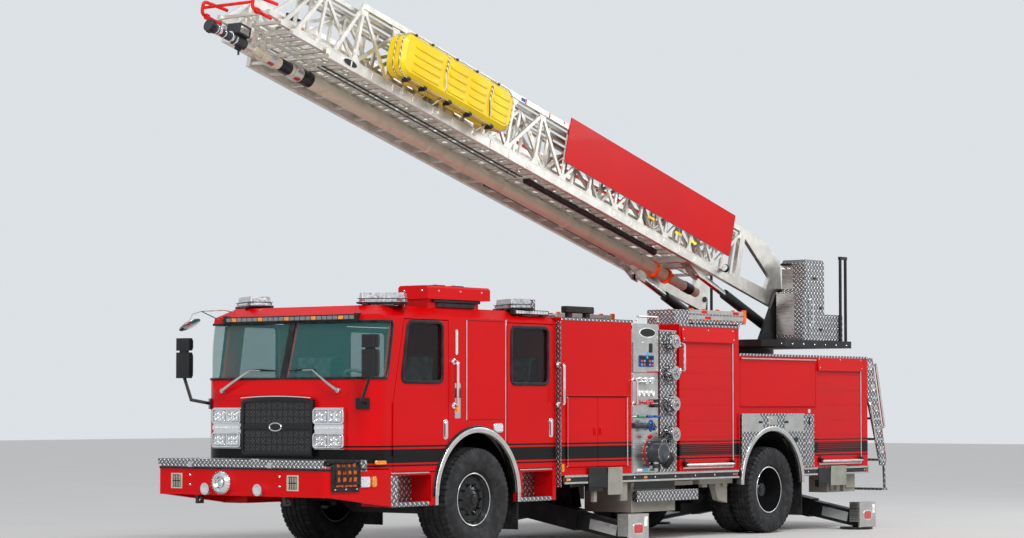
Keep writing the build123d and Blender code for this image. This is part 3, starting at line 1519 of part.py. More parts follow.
for ladder_row, pipe_row in zip(ladder_table, pipe_table):
    name, half, n_under, n_top, s_heel, s_tip, bays, s_rung = ladder_row
    pipe_outer, pipe_inner, s_pipe, saddles = pipe_row
    n_chord = n_under + chord_height * (1 if s_heel < 0 else 0.5)
    n_rail = n_top - rail_size * (1 if s_heel < 0 else 0.7)
    s_truss = heel_end if s_heel < 0 else s_heel + 40
    with BuildPart() as section:
        for side in (-1, 1):
            chord_plane = ladder_plane(half if side > 0 else -(half - chord_width))
            with BuildSketch(chord_plane) as rails:
                with Locations(((s_heel + s_tip) / 2, (n_under + n_chord) / 2)):
                    Rectangle(s_tip - s_heel, n_chord - n_under)
                with Locations(((s_truss + s_tip - tip_rake) / 2, (n_rail + n_top) / 2)):
                    Rectangle(s_tip - tip_rake - s_truss, n_top - n_rail)
            extrude(rails.sketch, amount=chord_width)
            inset = (chord_width - lattice_thickness) / 2
            web_plane = ladder_plane(half - inset if side > 0 else -(half - inset - lattice_thickness))
            with BuildSketch(web_plane) as web:
                lattice(s_truss, s_tip - tip_rake - 20, n_chord - 5, n_rail + 5, bays)
                with BuildLine():
                    Polyline(
                        (s_tip - tip_rake - 40, n_top),
                        (s_tip - tip_rake, n_top),
                        (s_tip, n_under + 10),
                        (s_tip - 60, n_under + 10),
                        close=True,
                    )
                make_face()
            extrude(web.sketch, amount=lattice_thickness)
            if s_heel < 0:
                with BuildSketch(chord_plane) as heel:
                    with BuildLine():
                        Polyline(
                            (s_heel, n_under),
                            (s_heel, 150),
                            (70, 476),
                            (520, n_top),
                            (heel_end + 40, n_top),
                            (heel_end + 40, n_under),
                            close=True,
                        )
                    make_face()
                    with BuildLine():
                        Polyline((300, 20), (930, 0), (930, 500), (250, 200), close=True)
                    make_face(mode=Mode.SUBTRACT)
                    Circle(pin_radius + pin_gap, mode=Mode.SUBTRACT)
                extrude(heel.sketch, amount=chord_width)
        # Floor: rungs on zigzag braces between the chords
        floor_half = half - chord_width - seat_gap
        n_rung = n_under + 38
        count = int((s_tip - 120 - s_rung) / rung_pitch)
        floor_plane = Plane((x_pivot, 0, pivot_height), x_dir=tuple(ladder_x), z_dir=tuple(ladder_z))
        with BuildSketch(floor_plane.offset(n_rung - rung_size / 2)) as floor:
            for s_bar in [s_rung + rung * rung_pitch for rung in range(count + 1)] + [s_tip - 35]:
                with Locations((s_bar, 0)):
                    Rectangle(rung_size, 2 * floor_half)
            with Locations(((s_rung + s_tip - 35) / 2, 0)):
                Rectangle(s_tip - 35 - s_rung, rung_size)
        extrude(floor.sketch, amount=rung_size)
        # Waterway tube, which slides inside the tube of the section below it, and what carries it
        x_pipe, z_pipe = ladder_point(s_pipe, pipe_n)
        with BuildSketch(Plane((x_pipe, 0, z_pipe), x_dir=(0, 1, 0), z_dir=tuple(ladder_x))) as pipe:
            Circle(pipe_outer)
            if pipe_inner:
                Circle(pipe_inner, mode=Mode.SUBTRACT)
        extrude(pipe.sketch, amount=s_tip - pipe_setback - s_pipe)
        for s_saddle in saddles:
            with BuildSketch(ladder_plane(saddle_half)) as saddle:
                with Locations((s_saddle, (pipe_n + pipe_outer - 6 + n_rung) / 2)):
                    Rectangle(20, n_rung - pipe_n - pipe_outer + 6)
            extrude(saddle.sketch, amount=2 * saddle_half)
        if s_heel > 0:
            # Slide pads by the heel, which ride on the chords of the section outside
            for side in (-1, 1):
                y_pad = outer_half - chord_width / 2 - lattice_thickness / 2 - pad_clear
                with BuildSketch(ladder_plane(y_pad if side > 0 else -(half - pad_lap))) as pad:
                    with Locations((s_heel + pad_place, outer_chord + seat_gap + pad_height / 2)):
                        Rectangle(pad_length, pad_height)
                extrude(pad.sketch, amount=y_pad - half + pad_lap)
        if s_heel < 0:
            # Cross members and the hanging lugs that the lift cylinders push on
            for s_member in (cylinder_pin_s + 130, cylinder_pin_s + 330):
                with BuildSketch(ladder_plane(floor_half)) as member:
                    with Locations((s_member, n_under + 45)):
                        Rectangle(50, 50)
                extrude(member.sketch, amount=2 * floor_half)
            for side in (-1, 1):
                for y_lug in (lift_pin_y - 70, lift_pin_y + 50):
                    with BuildSketch(ladder_plane(y_lug + 20 if side > 0 else -y_lug)) as lug:
                        with BuildLine():
                            Polyline(
                                (cylinder_pin_s - 55, cylinder_pin_n + 30),
                                (cylinder_pin_s - 55, cylinder_pin_n - 55),
                                (cylinder_pin_s + 60, cylinder_pin_n - 55),
                                (cylinder_pin_s + 355, n_under + 10),
                                (cylinder_pin_s + 355, n_under + 70),
                                (cylinder_pin_s + 95, n_under + 70),
                                close=True,
                            )
                        make_face()
                    extrude(lug.sketch, amount=20)
    outer_half = half
    outer_chord = n_chord
    finish(name, section)

# Lift cylinders: a bored barrel that swings on the deck's lugs, and a rod with a flat eye
barrel_radius = 65
barrel_length = 1250
rod_radius = 42
rod_gap = 0.5
eye_radius = 48
eye_half = 22
rod_length = 1500
x_eye, z_eye = ladder_point(cylinder_pin_s, cylinder_pin_n)
cylinder_run = math.hypot(x_eye - lift_pin_x, z_eye - lift_pin_z)
cylinder_dir = Vector((x_eye - lift_pin_x) / cylinder_run, 0, (z_eye - lift_pin_z) / cylinder_run)


def cylinder_plane(side, run):
    """The plane square to a lift cylinder, a run up from its lower pin."""
    x = lift_pin_x + run * cylinder_dir.X
    z = lift_pin_z + run * cylinder_dir.Z
    return Plane((x, side * lift_pin_y, z), x_dir=(0, 1, 0), z_dir=tuple(cylinder_dir))


with BuildPart() as lift_barrels:
    for side in (-1, 1):
        with BuildSketch(cylinder_plane(side, eye_radius - 20)) as barrel:
            Circle(barrel_radius)
        extrude(barrel.sketch, amount=barrel_length - eye_radius + 20)
        with BuildSketch(cylinder_plane(side, 150)) as bore_end:
            Circle(rod_radius + rod_gap)
        extrude(bore_end.sketch, amount=barrel_length, mode=Mode.SUBTRACT)
        crosswise_drum(eye_radius, lift_pin_x, (side * lift_pin_y - 32, side * lift_pin_y + 32), lift_pin_z)
        y_bore = (side * lift_pin_y - 40, side * lift_pin_y + 40)
        crosswise_drum(lift_pin_radius + spindle_gap, lift_pin_x, y_bore, lift_pin_z, Mode.SUBTRACT)
finish("lift_barrels", lift_barrels)

with BuildPart() as lift_rods:
    for side in (-1, 1):
        with BuildSketch(cylinder_plane(side, cylinder_run - rod_length)) as rod:
            Circle(rod_radius)
        extrude(rod.sketch, amount=rod_length - 40)
        y_eye = (side * lift_pin_y - eye_half, side * lift_pin_y + eye_half)
        crosswise_drum(eye_radius, x_eye, y_eye, z_eye)
finish("lift_rods", lift_rods)

# Sign boards on both sides of the base section, standing off its rails
sign_s = (1240, 4870)
sign_n = (163, 709)
sign_thickness = 12
with BuildPart() as sign_boards:
    for side in (-1, 1):
        lower_edge = [(sign_s[0], sign_n[0]), (sign_s[1], sign_n[0])]
        upper_edge = [(sign_s[1], sign_n[1]), (sign_s[0], sign_n[1])]
        y_outer = ladder_half + seat_gap + sign_thickness
        plane = ladder_plane(y_outer if side > 0 else -(ladder_half + seat_gap))
        raised_outline(lower_edge + upper_edge, plane, sign_thickness)
finish("sign_boards", sign_boards)

# Rescue basket: a ribbed plastic litter strapped on the driver's side of the base section
basket_s = (6200, 8190)
basket_n = (10, 490)
basket_depth = 230
basket_corner = 150
basket_straps = (6560, 7195, 7830)
strap_n = (-110, 590)
strap_thickness = 14
with BuildPart() as rescue_basket:
    with BuildSketch(ladder_plane(ladder_half + seat_gap + basket_depth)) as litter:
        with Locations((sum(basket_s) / 2, sum(basket_n) / 2)):
            RectangleRounded(basket_s[1] - basket_s[0], basket_n[1] - basket_n[0], basket_corner)
    extrude(litter.sketch, amount=basket_depth)
    chamfer(rescue_basket.faces().sort_by(Axis.Y)[-1].edges(), length=45)
    for s_strap in basket_straps:
        with BuildSketch(ladder_plane(ladder_half + seat_gap + strap_thickness)) as strap:
            with Locations((s_strap, (strap_n[0] + strap_n[1]) / 2)):
                Rectangle(60, strap_n[1] - strap_n[0])
        extrude(strap.sketch, amount=strap_thickness)
finish("rescue_basket", rescue_basket)

# Monitor: the water cannon on the fly's tip, with its elbow, drive case and barrel
monitor_start = ladder_table[-1][5] - pipe_setback + seat_gap
monitor_case = (9770, 9950)
monitor_case_half = 90
monitor_tubes = [
    # from, to, radius
    (monitor_start, 9960, 60),
    (9960, 10230, 46),
    (10230, 10310, 62),
]
with BuildPart() as monitor:
    with BuildSketch(ladder_plane(monitor_case_half)) as case:
        with Locations((sum(monitor_case) / 2, pipe_n + 110)):
            Rectangle(monitor_case[1] - monitor_case[0], 110)
    extrude(case.sketch, amount=2 * monitor_case_half)
    for s_start, s_end, radius in monitor_tubes:
        x_start, z_start = ladder_point(s_start, pipe_n)
        with BuildSketch(Plane((x_start, 0, z_start), x_dir=(0, 1, 0), z_dir=tuple(ladder_x))) as tube:
            Circle(radius)
        extrude(tube.sketch, amount=s_end - s_start)
finish("monitor", monitor)

os.makedirs("parts", exist_ok=True)
for piece in pieces:
    export_step(piece, "parts/" + piece.label + ".step")
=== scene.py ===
"""The looks of the ladder fire engine: every surface's finish, and the detail round its frame."""

import math

import bmesh
import bpy
import numpy as np
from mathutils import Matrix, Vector


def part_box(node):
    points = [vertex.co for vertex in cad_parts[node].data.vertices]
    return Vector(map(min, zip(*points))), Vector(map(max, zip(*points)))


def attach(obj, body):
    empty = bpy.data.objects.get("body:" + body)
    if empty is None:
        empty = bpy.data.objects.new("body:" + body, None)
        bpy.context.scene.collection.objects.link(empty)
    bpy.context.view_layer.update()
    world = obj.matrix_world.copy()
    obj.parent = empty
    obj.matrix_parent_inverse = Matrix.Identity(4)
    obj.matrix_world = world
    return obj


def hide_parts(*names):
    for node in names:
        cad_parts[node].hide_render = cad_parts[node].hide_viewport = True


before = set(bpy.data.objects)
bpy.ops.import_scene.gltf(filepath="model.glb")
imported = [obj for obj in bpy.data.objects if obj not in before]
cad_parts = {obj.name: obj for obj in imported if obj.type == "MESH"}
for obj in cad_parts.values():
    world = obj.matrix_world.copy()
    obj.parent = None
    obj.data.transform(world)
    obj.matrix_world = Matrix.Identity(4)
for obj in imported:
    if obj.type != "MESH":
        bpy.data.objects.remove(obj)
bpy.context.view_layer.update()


# Chassis frame, outrigger sleeves and beams, turntable drum and deck: welded steel in satin
# chassis black, dusty from the road, and blown with the same paint after assembly.


class Finish:
    """A node material round one principled shader, with short ways to its sockets."""

    def __init__(self, name, colour, roughness, metallic=0.0, **sockets):
        self.material = bpy.data.materials.new(name)
        self.material.use_nodes = True
        self.tree = self.material.node_tree
        self.shader = self.tree.nodes["Principled BSDF"]
        sockets = {"Base Color": (*colour, 1.0), "Roughness": roughness, "Metallic": metallic, **sockets}
        for socket, value in sockets.items():
            self.feed(value, self.shader.inputs[socket.replace("_", " ")])
        self.place = self.node("ShaderNodeTexCoord").outputs["Object"]

    def feed(self, value, socket):
        if isinstance(value, bpy.types.NodeSocket):
            self.tree.links.new(value, socket)
        else:
            socket.default_value = value

    def node(self, kind, **inputs):
        node = self.tree.nodes.new(kind)
        for socket, value in inputs.items():
            self.feed(value, node.inputs[socket.replace("_", " ")])
        return node

    def math(self, operation, a, b=0.0):
        node = self.tree.nodes.new("ShaderNodeMath")
        node.operation = operation
        self.feed(a, node.inputs[0])
        self.feed(b, node.inputs[1])
        return node.outputs[0]

    def cloud(self, scale, detail=3.0, place=None):
        """Soft random patches, 0 to 1, with so many to the metre."""
        node = self.node("ShaderNodeTexNoise", Vector=place or self.place, Scale=scale, Detail=detail)
        return node.outputs["Fac"]

    def stretched(self, *scales):
        """The object's coordinates, squeezed by three factors."""
        return self.node("ShaderNodeMapping", Vector=self.place, Scale=scales).outputs[0]

    def mixed(self, share, first, second):
        node = self.tree.nodes.new("ShaderNodeMix")
        node.data_type = "RGBA"
        self.feed(share, node.inputs[0])
        self.feed((*first, 1.0) if isinstance(first, tuple) else first, node.inputs[6])
        self.feed((*second, 1.0) if isinstance(second, tuple) else second, node.inputs[7])
        return node.outputs[2]

    def spread(self, value, low, high, to_low=0.0, to_high=1.0):
        """The value's stretch from low to high, laid out from to_low to to_high."""
        node = self.tree.nodes.new("ShaderNodeMapRange")
        for index, number in enumerate((value, low, high, to_low, to_high)):
            self.feed(number, node.inputs[index])
        return node.outputs[0]

    def colour(self, value):
        self.feed(value, self.shader.inputs["Base Color"])

    def rough(self, value):
        self.feed(value, self.shader.inputs["Roughness"])

    def bump(self, height, strength, depth=0.002):
        node = self.node("ShaderNodeBump", Height=height, Strength=strength, Distance=depth)
        self.tree.links.new(node.outputs[0], self.shader.inputs["Normal"])

    def facing(self):
        """How far the surface faces along each of the three axes, 0 to 1."""
        normal = self.node("ShaderNodeTexCoord").outputs["Normal"]
        parts = self.node("ShaderNodeSeparateXYZ", Vector=normal).outputs
        return [self.math("ABSOLUTE", part) for part in parts]


def dress(finish, *nodes):
    """Give carried-over nodes a finish in place of their plain colour."""
    for node in nodes:
        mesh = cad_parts[node].data
        mesh.materials.clear()
        mesh.materials.append(finish)


def chassis_black(name, colour=(0.011, 0.011, 0.012), dusty=(0.04, 0.038, 0.035), rough=0.38):
    """Satin black with patches of pale road dust, duller where it lies."""
    paint = Finish(name, colour, rough, Specular_IOR_Level=0.3)
    dust = paint.spread(paint.cloud(6, 6.0), 0.5, 0.85)
    paint.colour(paint.mixed(dust, colour, dusty))
    paint.rough(paint.spread(dust, 0, 1, rough, rough + 0.25))
    paint.bump(paint.cloud(90, 2.0), 0.1, 0.001)
    return paint.material


frame_paint = chassis_black("frame_paint")
dress(frame_paint, "frame_rails", "outrigger_sleeves", "turntable_pedestal", "turntable_deck",
      "lift_barrels")
dress(frame_paint, *["outrigger_" + corner for corner in ("front_left", "front_right", "rear_left",
                                                          "rear_right")])


# Engine block and axles: rough castings under an oily coat of black, greyer where it has dried.


def oily_casting():
    """Dark iron with coarse sand grain and dry grey patches."""
    iron = Finish("oily_casting", (0.05, 0.048, 0.045), 0.6, 0.3)
    patches = iron.spread(iron.cloud(9, 6.0), 0.4, 0.7)
    iron.colour(iron.mixed(patches, (0.018, 0.017, 0.016), (0.075, 0.072, 0.066)))
    iron.rough(iron.spread(patches, 0, 1, 0.4, 0.75))
    iron.bump(iron.cloud(70, 5.0), 0.4, 0.002)
    return iron.material


casting = oily_casting()
dress(casting, "axles", "engine_block", "knuckle_left", "knuckle_right")


# Tyres: wide steering tyres in front and narrower pairs behind, black rubber moulded with ribs,
# grooves and shoulder lugs. Each is one closed section turned about its hub line.


def skin(grid, around=True, along=False):
    """Faces over a grid of points: a cell joins four neighbours, and the last row may join the first."""
    rows, columns = grid.shape[:2]
    index = np.arange(rows * columns).reshape(rows, columns)
    beside = np.roll(index, -1, axis=1)
    below, below_beside = np.roll(index, -1, axis=0), np.roll(beside, -1, axis=0)
    cells = np.stack((index, below, below_beside, beside), axis=-1)
    cells = cells if along else cells[:-1]
    cells = cells if around else cells[:, :-1]
    return grid.reshape(-1, 3), cells.reshape(-1, 4)


def joined(*parts):
    """Parts as one: their points in a row, and each part's faces shifted by the points before it."""
    before = np.cumsum([0] + [len(points) for points, faces in parts])
    faces = [part[1] + start for part, start in zip(parts, before)]
    return np.vstack([part[0] for part in parts]), np.vstack(faces)


def mirrored(part):
    """The part and its twin across the middle plane: y becomes -y, and faces wind the other way."""
    points, faces = part
    return joined(part, (points * (1, -1, 1), faces[:, ::-1]))


def piece(name, part, slot, *finishes, body="chassis", crease=30):
    """One part, or several, as a finished object on a body: doubles merged, faces outward, smooth up to
    the crease angle."""
    points, faces = joined(*part) if isinstance(part, list) else part
    mesh = bpy.data.meshes.new(name)
    mesh.from_pydata(points, [], faces.tolist())
    work = bmesh.new()
    work.from_mesh(mesh)
    bmesh.ops.remove_doubles(work, verts=work.verts, dist=0.00005)
    bmesh.ops.dissolve_degenerate(work, edges=work.edges, dist=0.00005)
    bmesh.ops.recalc_face_normals(work, faces=work.faces)
    work.to_mesh(mesh)
    work.free()
    mesh.polygons.foreach_set("use_smooth", np.ones(len(mesh.polygons), bool))
    mesh.set_sharp_from_angle(angle=math.radians(crease))
    for finish in finishes:
        mesh.materials.append(finish)
    thing = bpy.data.objects.new(name, mesh)
    bpy.context.scene.collection.objects.link(thing)
    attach(thing, body)
    return thing


def twins(name, parts, slot, *finishes, **more):
    """Parts of the left side and their mirror images on the right, as one piece."""
    return piece(name, mirrored(joined(*parts)), slot, *finishes, **more)


def tyre(middle, radius, half, bead, pitches, lug_depth):
    """A tyre: (y, r) stations from bead over sidewall and crown, turned by angle; grooves lower r between
    their edges, and lugs lower it again for a share of each pitch."""
    wall = np.array([(0.66, bead), (0.74, bead + 0.012), (0.83, 0.62), (0.96, 0.72), (1.0, 0.79),
                     (0.99, 0.85),
                     (0.96, 0.91)])
    wall[2:, 1] = bead + (wall[2:, 1] - 0.58) / 0.42 * (radius - bead)
    wall[:, 0] *= half
    grooves = half * np.array([-0.5, -0.17, 0.17, 0.5])
    edges = (grooves[:, None] + np.array([-0.009, -0.005, 0.005, 0.009])).ravel()
    shoulder_y = half * np.array([0.7, 0.86, 0.9])
    crown_y = np.concatenate((-shoulder_y[::-1], edges, shoulder_y))
    crown_r = radius - 0.018 * (crown_y / half) ** 2
    sunk = np.tile([0, 1, 1, 0], 4).astype(float)
    crown_r[3:-3] -= 0.013 * sunk
    y = np.concatenate((-wall[:, 0], crown_y, wall[::-1, 0]))
    r = np.concatenate((wall[:, 1], crown_r, wall[::-1, 1]))
    turn = (np.arange(pitches)[:, None] + np.array([0, 0.62, 0.68, 0.94])).ravel() / pitches * 2 * math.pi
    cut = np.tile([0, 0, 1, 1], pitches).astype(float)
    shoulder = (np.abs(y) > 0.6 * half) & (np.abs(y) < 0.97 * half) & (r > 0.9 * radius)
    depth = lug_depth * (shoulder + 0.35 * (np.abs(y) < 0.6 * half))
    shape = r[None] - cut[:, None] * depth[None]
    x, z = shape * np.cos(turn)[:, None], shape * np.sin(turn)[:, None]
    grid = np.stack((x, np.broadcast_to(y, x.shape), z), axis=-1)
    return skin(grid + middle, around=True, along=True)


def moulded_rubber(name, colour=(0.016, 0.016, 0.017), rough=0.62):
    """Black rubber with a pale bloom in patches and fine pores."""
    rubber = Finish(name, colour, rough, Specular_IOR_Level=0.22)
    bloom = rubber.spread(rubber.cloud(12, 6.0), 0.42, 0.8)
    rubber.colour(rubber.mixed(bloom, colour, tuple(c * 2.2 + 0.012 for c in colour)))
    rubber.bump(rubber.cloud(380, 2.0), 0.2, 0.0008)
    return rubber.material


tyre_rubber = moulded_rubber("tyre_rubber")
for side, hand in ((1, "left"), (-1, "right")):
    low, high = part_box("front_tyre_" + hand)
    middle, half = (low + high) / 2, (high - low) / 2
    front = tyre(np.array(middle), half.z - 0.001, half.y - 0.001, 0.294, 56, 0.011)
    worn_tyre = piece("front_tread_" + hand, front, "tyre", tyre_rubber, body="front_wheel_" + hand)
    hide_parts("front_tyre_" + hand)
    low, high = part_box("rear_tyres_" + hand)
    pair = []
    for y in (low.y + 0.15, high.y - 0.15):
        middle = np.array(((low.x + high.x) / 2, y, (low.z + high.z) / 2))
        pair.append(tyre(middle, (high.z - low.z) / 2 - 0.001, 0.149, 0.294, 46, 0.016))
    worn_tyre = piece("rear_treads_" + hand, pair, "tyre", tyre_rubber, body="rear_wheels_" + hand)
    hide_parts("rear_tyres_" + hand)


# Wheels: pressed steel in gloss black with a bright trim ring pressed into the lip, ten nuts on
# the hub flange and a domed hub cap with an oil window.


def turned(profile, centre, axis, steps=32):
    """A profile of (along, radius) pairs turned about an axis: centre + along * axis + radius * a circle."""
    profile = np.asarray(profile, float)
    axis = np.asarray(axis, float) / np.linalg.norm(axis)
    side = np.cross(axis, (0.0, 0.0, 1.0) if abs(axis[2]) < 0.9 else (1.0, 0.0, 0.0))
    side = side / np.linalg.norm(side)
    turn = np.linspace(0, 2 * math.pi, steps, endpoint=False)
    circle = np.cos(turn)[:, None] * side + np.sin(turn)[:, None] * np.cross(axis, side)
    grid = np.asarray(centre, float) + profile[:, None, :1] * axis + profile[:, None, 1:] * circle
    return skin(grid)


def hub_turned(profile, hand, middle, steps=48):
    """The same about a wheel's own hub line, with along counted outwards from the tyre's middle plane."""
    return turned(profile, middle, (0, 1 if hand == "left" else -1, 0), steps)


def repeated(part, offsets):
    """The same part at many places: every point plus every offset."""
    points, faces = part
    offsets = np.asarray(offsets, float).reshape(-1, 1, 3)
    step = np.arange(len(offsets)).reshape(-1, 1, 1) * len(points)
    return (points + offsets).reshape(-1, 3), (faces + step).reshape(-1, 4)


def bright_plate(name="bright_plate", colour=(0.86, 0.87, 0.88), rough=0.06):
    """Polished plating with a trace of haze and water marks."""
    plating = Finish(name, colour, rough, 1.0)
    haze = plating.cloud(14, 4.0)
    plating.rough(plating.spread(haze, 0.35, 0.8, rough * 0.6, rough * 2.6))
    plating.colour(plating.mixed(plating.spread(haze, 0.4, 0.7), tuple(c * 0.9 for c in colour), colour))
    plating.bump(plating.cloud(40, 2.0), 0.02, 0.001)
    return plating.material


def gloss_black(name, grain=700.0, rough=0.16):
    """Smooth gloss black enamel with the faint ripple of a sprayed coat."""
    enamel = Finish(name, (0.008, 0.008, 0.009), rough, Specular_IOR_Level=0.35)
    enamel.bump(enamel.cloud(grain, 1.0), 0.03, 0.0006)
    enamel.colour(enamel.mixed(enamel.cloud(5, 4.0), (0.006, 0.006, 0.007), (0.014, 0.014, 0.014)))
    return enamel.material


wheel_enamel = gloss_black("wheel_enamel")
chrome = bright_plate()
dress(wheel_enamel, "front_rim_left", "front_rim_right", "rear_rims_left", "rear_rims_right")
lip = [(-0.012, 0.275), (0.001, 0.277), (0.003, 0.281), (0.003, 0.288), (0.0, 0.291), (-0.012, 0.29),
       (-0.012, 0.275)]
nut = [(0, 0), (0, 0.026), (0.005, 0.026), (0.005, 0.018), (0.026, 0.017), (0.029, 0.012), (0.045, 0.011),
       (0.047, 0)]
flange = [(0.0005, 0.215), (0.004, 0.213), (0.004, 0.13), (0.0005, 0.128), (0.0005, 0.215)]
rib = [(0.0005, 0.243), (0.006, 0.24), (0.006, 0.232), (0.0005, 0.229), (0.0005, 0.243)]
cap = [(0.0005, 0.0), (0.0005, 0.058), (0.006, 0.056), (0.008, 0.044), (0.012, 0.038), (0.013, 0.0)]
cap_ring = [(-0.012, 0.079), (-0.007, 0.077), (-0.007, 0.066), (-0.012, 0.064), (-0.012, 0.079)]
spokes = np.arange(10) / 5 * math.pi
around_hub = 0.168 * np.column_stack((np.cos(spokes), np.zeros(10), np.sin(spokes)))
for side, hand in ((1, "left"), (-1, "right")):
    for end, rims, wheels, disc_y, cap_y in (("front", "front_rim_", "front_wheel_", -0.049, 0.0),
                                             ("rear", "rear_rims_", "rear_wheels_", -0.23, -0.11)):
        low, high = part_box(rims + hand)
        middle = np.array(((low.x + high.x) / 2, high.y if side > 0 else low.y, (low.z + high.z) / 2))
        bright_lip = hub_turned(lip, hand, middle, 64)
        nuts = repeated(turned(nut, middle + (0, side * disc_y, 0), (0, side, 0), 6), around_hub)
        ribs = [hub_turned(np.add(ring, (disc_y, 0)), hand, middle) for ring in (flange, rib)]
        hub_cap = hub_turned(np.add(cap, (cap_y, 0)), hand, middle, 8)
        hub_ring = hub_turned(np.add(cap_ring, (cap_y, 0)), hand, middle)
        for name, part, slot, finish, crease in (("lip_ring", bright_lip, "chrome", chrome, 50),
                                                 ("wheel_nuts", nuts, "wheel_paint", wheel_enamel, 20),
                                                 ("wheel_ribs", ribs, "wheel_paint", wheel_enamel, 30),
                                                 ("hub_cap", hub_cap, "wheel_paint", wheel_enamel, 30),
                                                 ("hub_ring", hub_ring, "chrome", chrome, 30)):
            piece(f"{end}_{name}_{hand}", part, slot, finish, body=wheels + hand, crease=crease)


# Paint shared by the whole body: deep red gloss enamel under clear coat, and on the sides a broad
# black belt between two thin black lines, masked and sprayed.


def engine_red(name, belt=False):
    """Deep red under clear coat; where asked, the belt's three stripes of height turn black on upright
    faces, and the insides of the wheel wells too."""
    red = (0.63, 0.0006, 0.0022)
    paint = Finish(name, red, 0.3, Coat_Weight=0.1, Coat_Roughness=0.03, Specular_IOR_Level=0.12)
    do = paint.math
    shade = paint.spread(paint.cloud(1.1, 3.0), 0.3, 0.7)
    colour = paint.mixed(shade, (0.57, 0.0005, 0.002), red)
    if belt:
        length, width, height = paint.node("ShaderNodeSeparateXYZ", Vector=paint.place).outputs
        upright = do("LESS_THAN", paint.facing()[2], 0.4)
        for low, high in ((0.986, 1.13), (1.15, 1.17), (0.949, 0.968)):
            above, below = do("GREATER_THAN", height, low), do("LESS_THAN", height, high)
            inside = do("MULTIPLY", above, below)
            colour = paint.mixed(do("MULTIPLY", inside, upright), colour, (0.006, 0.006, 0.006))
        for axle_x, wall_y in ((2.865, 1.16), (-2.95, 1.235)):
            beside = do("LESS_THAN", do("ABSOLUTE", do("SUBTRACT", length, axle_x)),
                                0.74)
            inboard = do("LESS_THAN", do("ABSOLUTE", width), wall_y)
            under = do("LESS_THAN", height, 1.34)
            well = do("MULTIPLY", do("MULTIPLY", beside, inboard), under)
            colour = paint.mixed(well, colour, (0.01, 0.01, 0.01))
    paint.colour(colour)
    paint.bump(paint.cloud(240, 1.0), 0.02, 0.0006)
    return paint.material


red_enamel = engine_red("red_enamel")
belted_enamel = engine_red("belted_enamel", belt=True)
dress(red_enamel, "bumper", "lift_door_left", "lift_door_right", "sign_boards", "roof_condenser")
dress(belted_enamel, "cab_shell", "module_shell", "body_shell", "roll_shutters")
for hand in ("left", "right"):
    dress(belted_enamel, "front_door_" + hand, "rear_door_" + hand)
    dress(belted_enamel, "locker_leaf_front_" + hand, "locker_leaf_rear_" + hand)


# Bumper deck: bright treadplate lid over the bumper, folded down in front, with latches and lift
# handles on its edge, a black rubber lip under the fold and a net over the hose tray.


def raised_plate(name="raised_plate", pitch=0.04, shine=0.9):
    """Aluminium plate rolled with short raised bars that turn a quarter from one square to the next."""
    sheet = Finish(name, (shine, shine, shine), 0.2, 1.0)
    do = sheet.math
    place = sheet.node("ShaderNodeSeparateXYZ", Vector=sheet.place).outputs
    facing = sheet.facing()
    on_end = do("GREATER_THAN", facing[0], 0.7)
    on_top = do("GREATER_THAN", facing[2], 0.7)
    across = do("MULTIPLY", on_end, do("SUBTRACT", place[1], place[0]))
    across = do("ADD", place[0], across)
    upward = do("MULTIPLY", on_top, do("SUBTRACT", place[1], place[2]))
    upward = do("ADD", place[2], upward)
    size = sheet.spread(on_end, 0, 1, 0.54 / pitch, 0.7071 / pitch)
    first = do("MULTIPLY", do("ADD", across, upward), size)
    second = do("MULTIPLY", do("SUBTRACT", across, upward), size)
    cells = do("ADD", do("FLOOR", first), do("FLOOR", second))
    odd = do("ABSOLUTE", do("MODULO", cells, 2.0))
    off_first = do("ABSOLUTE", do("SUBTRACT", do("FRACT", first), 0.5))
    off_second = do("ABSOLUTE", do("SUBTRACT", do("FRACT", second), 0.5))
    swap = do("MULTIPLY", odd, do("SUBTRACT", off_second, off_first))
    wide = do("POWER", do("MULTIPLY", do("ADD", off_first, swap), 5.5), 2.0)
    long = do("POWER", do("MULTIPLY", do("SUBTRACT", off_second, swap), 2.2), 2.0)
    bar = sheet.spread(do("ADD", wide, long), 1.35, 0.55)
    # The flat between the bars is painted darker, 0.11 to 0.26 in random patches, and the bars pale.
    between_bars = sheet.mixed(sheet.cloud(7, 5.0), (0.11, 0.11, 0.115), (0.26, 0.26, 0.265))
    sheet.colour(sheet.mixed(bar, between_bars, (shine, shine, shine)))
    sheet.rough(sheet.spread(bar, 0, 1, 0.42, 0.14))
    sheet.bump(bar, 0.8, 0.003)
    return sheet.material


def block(low, high, edge=0.003):
    """A box with chamfered edges: rings of eight corners carried up z, pulled in and closed at both ends."""
    low, high = np.minimum(low, high).astype(float), np.maximum(low, high).astype(float)
    middle, half = (low + high) / 2, (high - low) / 2
    edge = min(edge, *(half * 0.45))
    side_x, side_y = np.array([1, 1, 1, -1, -1, -1, -1, 1]), np.array([-1, 1, 1, 1, 1, -1, -1, -1])
    in_x, in_y = np.array([0, 0, 1, 1, 0, 0, 1, 1]), np.array([1, 1, 0, 0, 1, 1, 0, 0])
    full = np.stack((side_x * (half[0] - edge * in_x), side_y * (half[1] - edge * in_y)), axis=-1)
    pulled = np.stack((side_x * (half[0] - edge), side_y * (half[1] - edge)), axis=-1)
    rows = np.stack((full * 0, pulled, full, full, pulled, full * 0))
    heights = np.array([-half[2], -half[2], edge - half[2], half[2] - edge, half[2], half[2]])
    grid = np.concatenate((rows, np.broadcast_to(heights[:, None, None], (6, 8, 1))), axis=-1)
    return skin(grid + middle)


def blocks(*rows):
    """Several such boxes, each from the six numbers of its two corners and its chamfer."""
    return [block(row[:3], row[3:6], row[6]) for row in rows]


def circle(radius, steps=12):
    """Points (cos, sin) times a radius."""
    turn = np.linspace(0, 2 * math.pi, steps, endpoint=False)
    return np.stack((np.cos(turn), np.sin(turn)), axis=-1) * radius


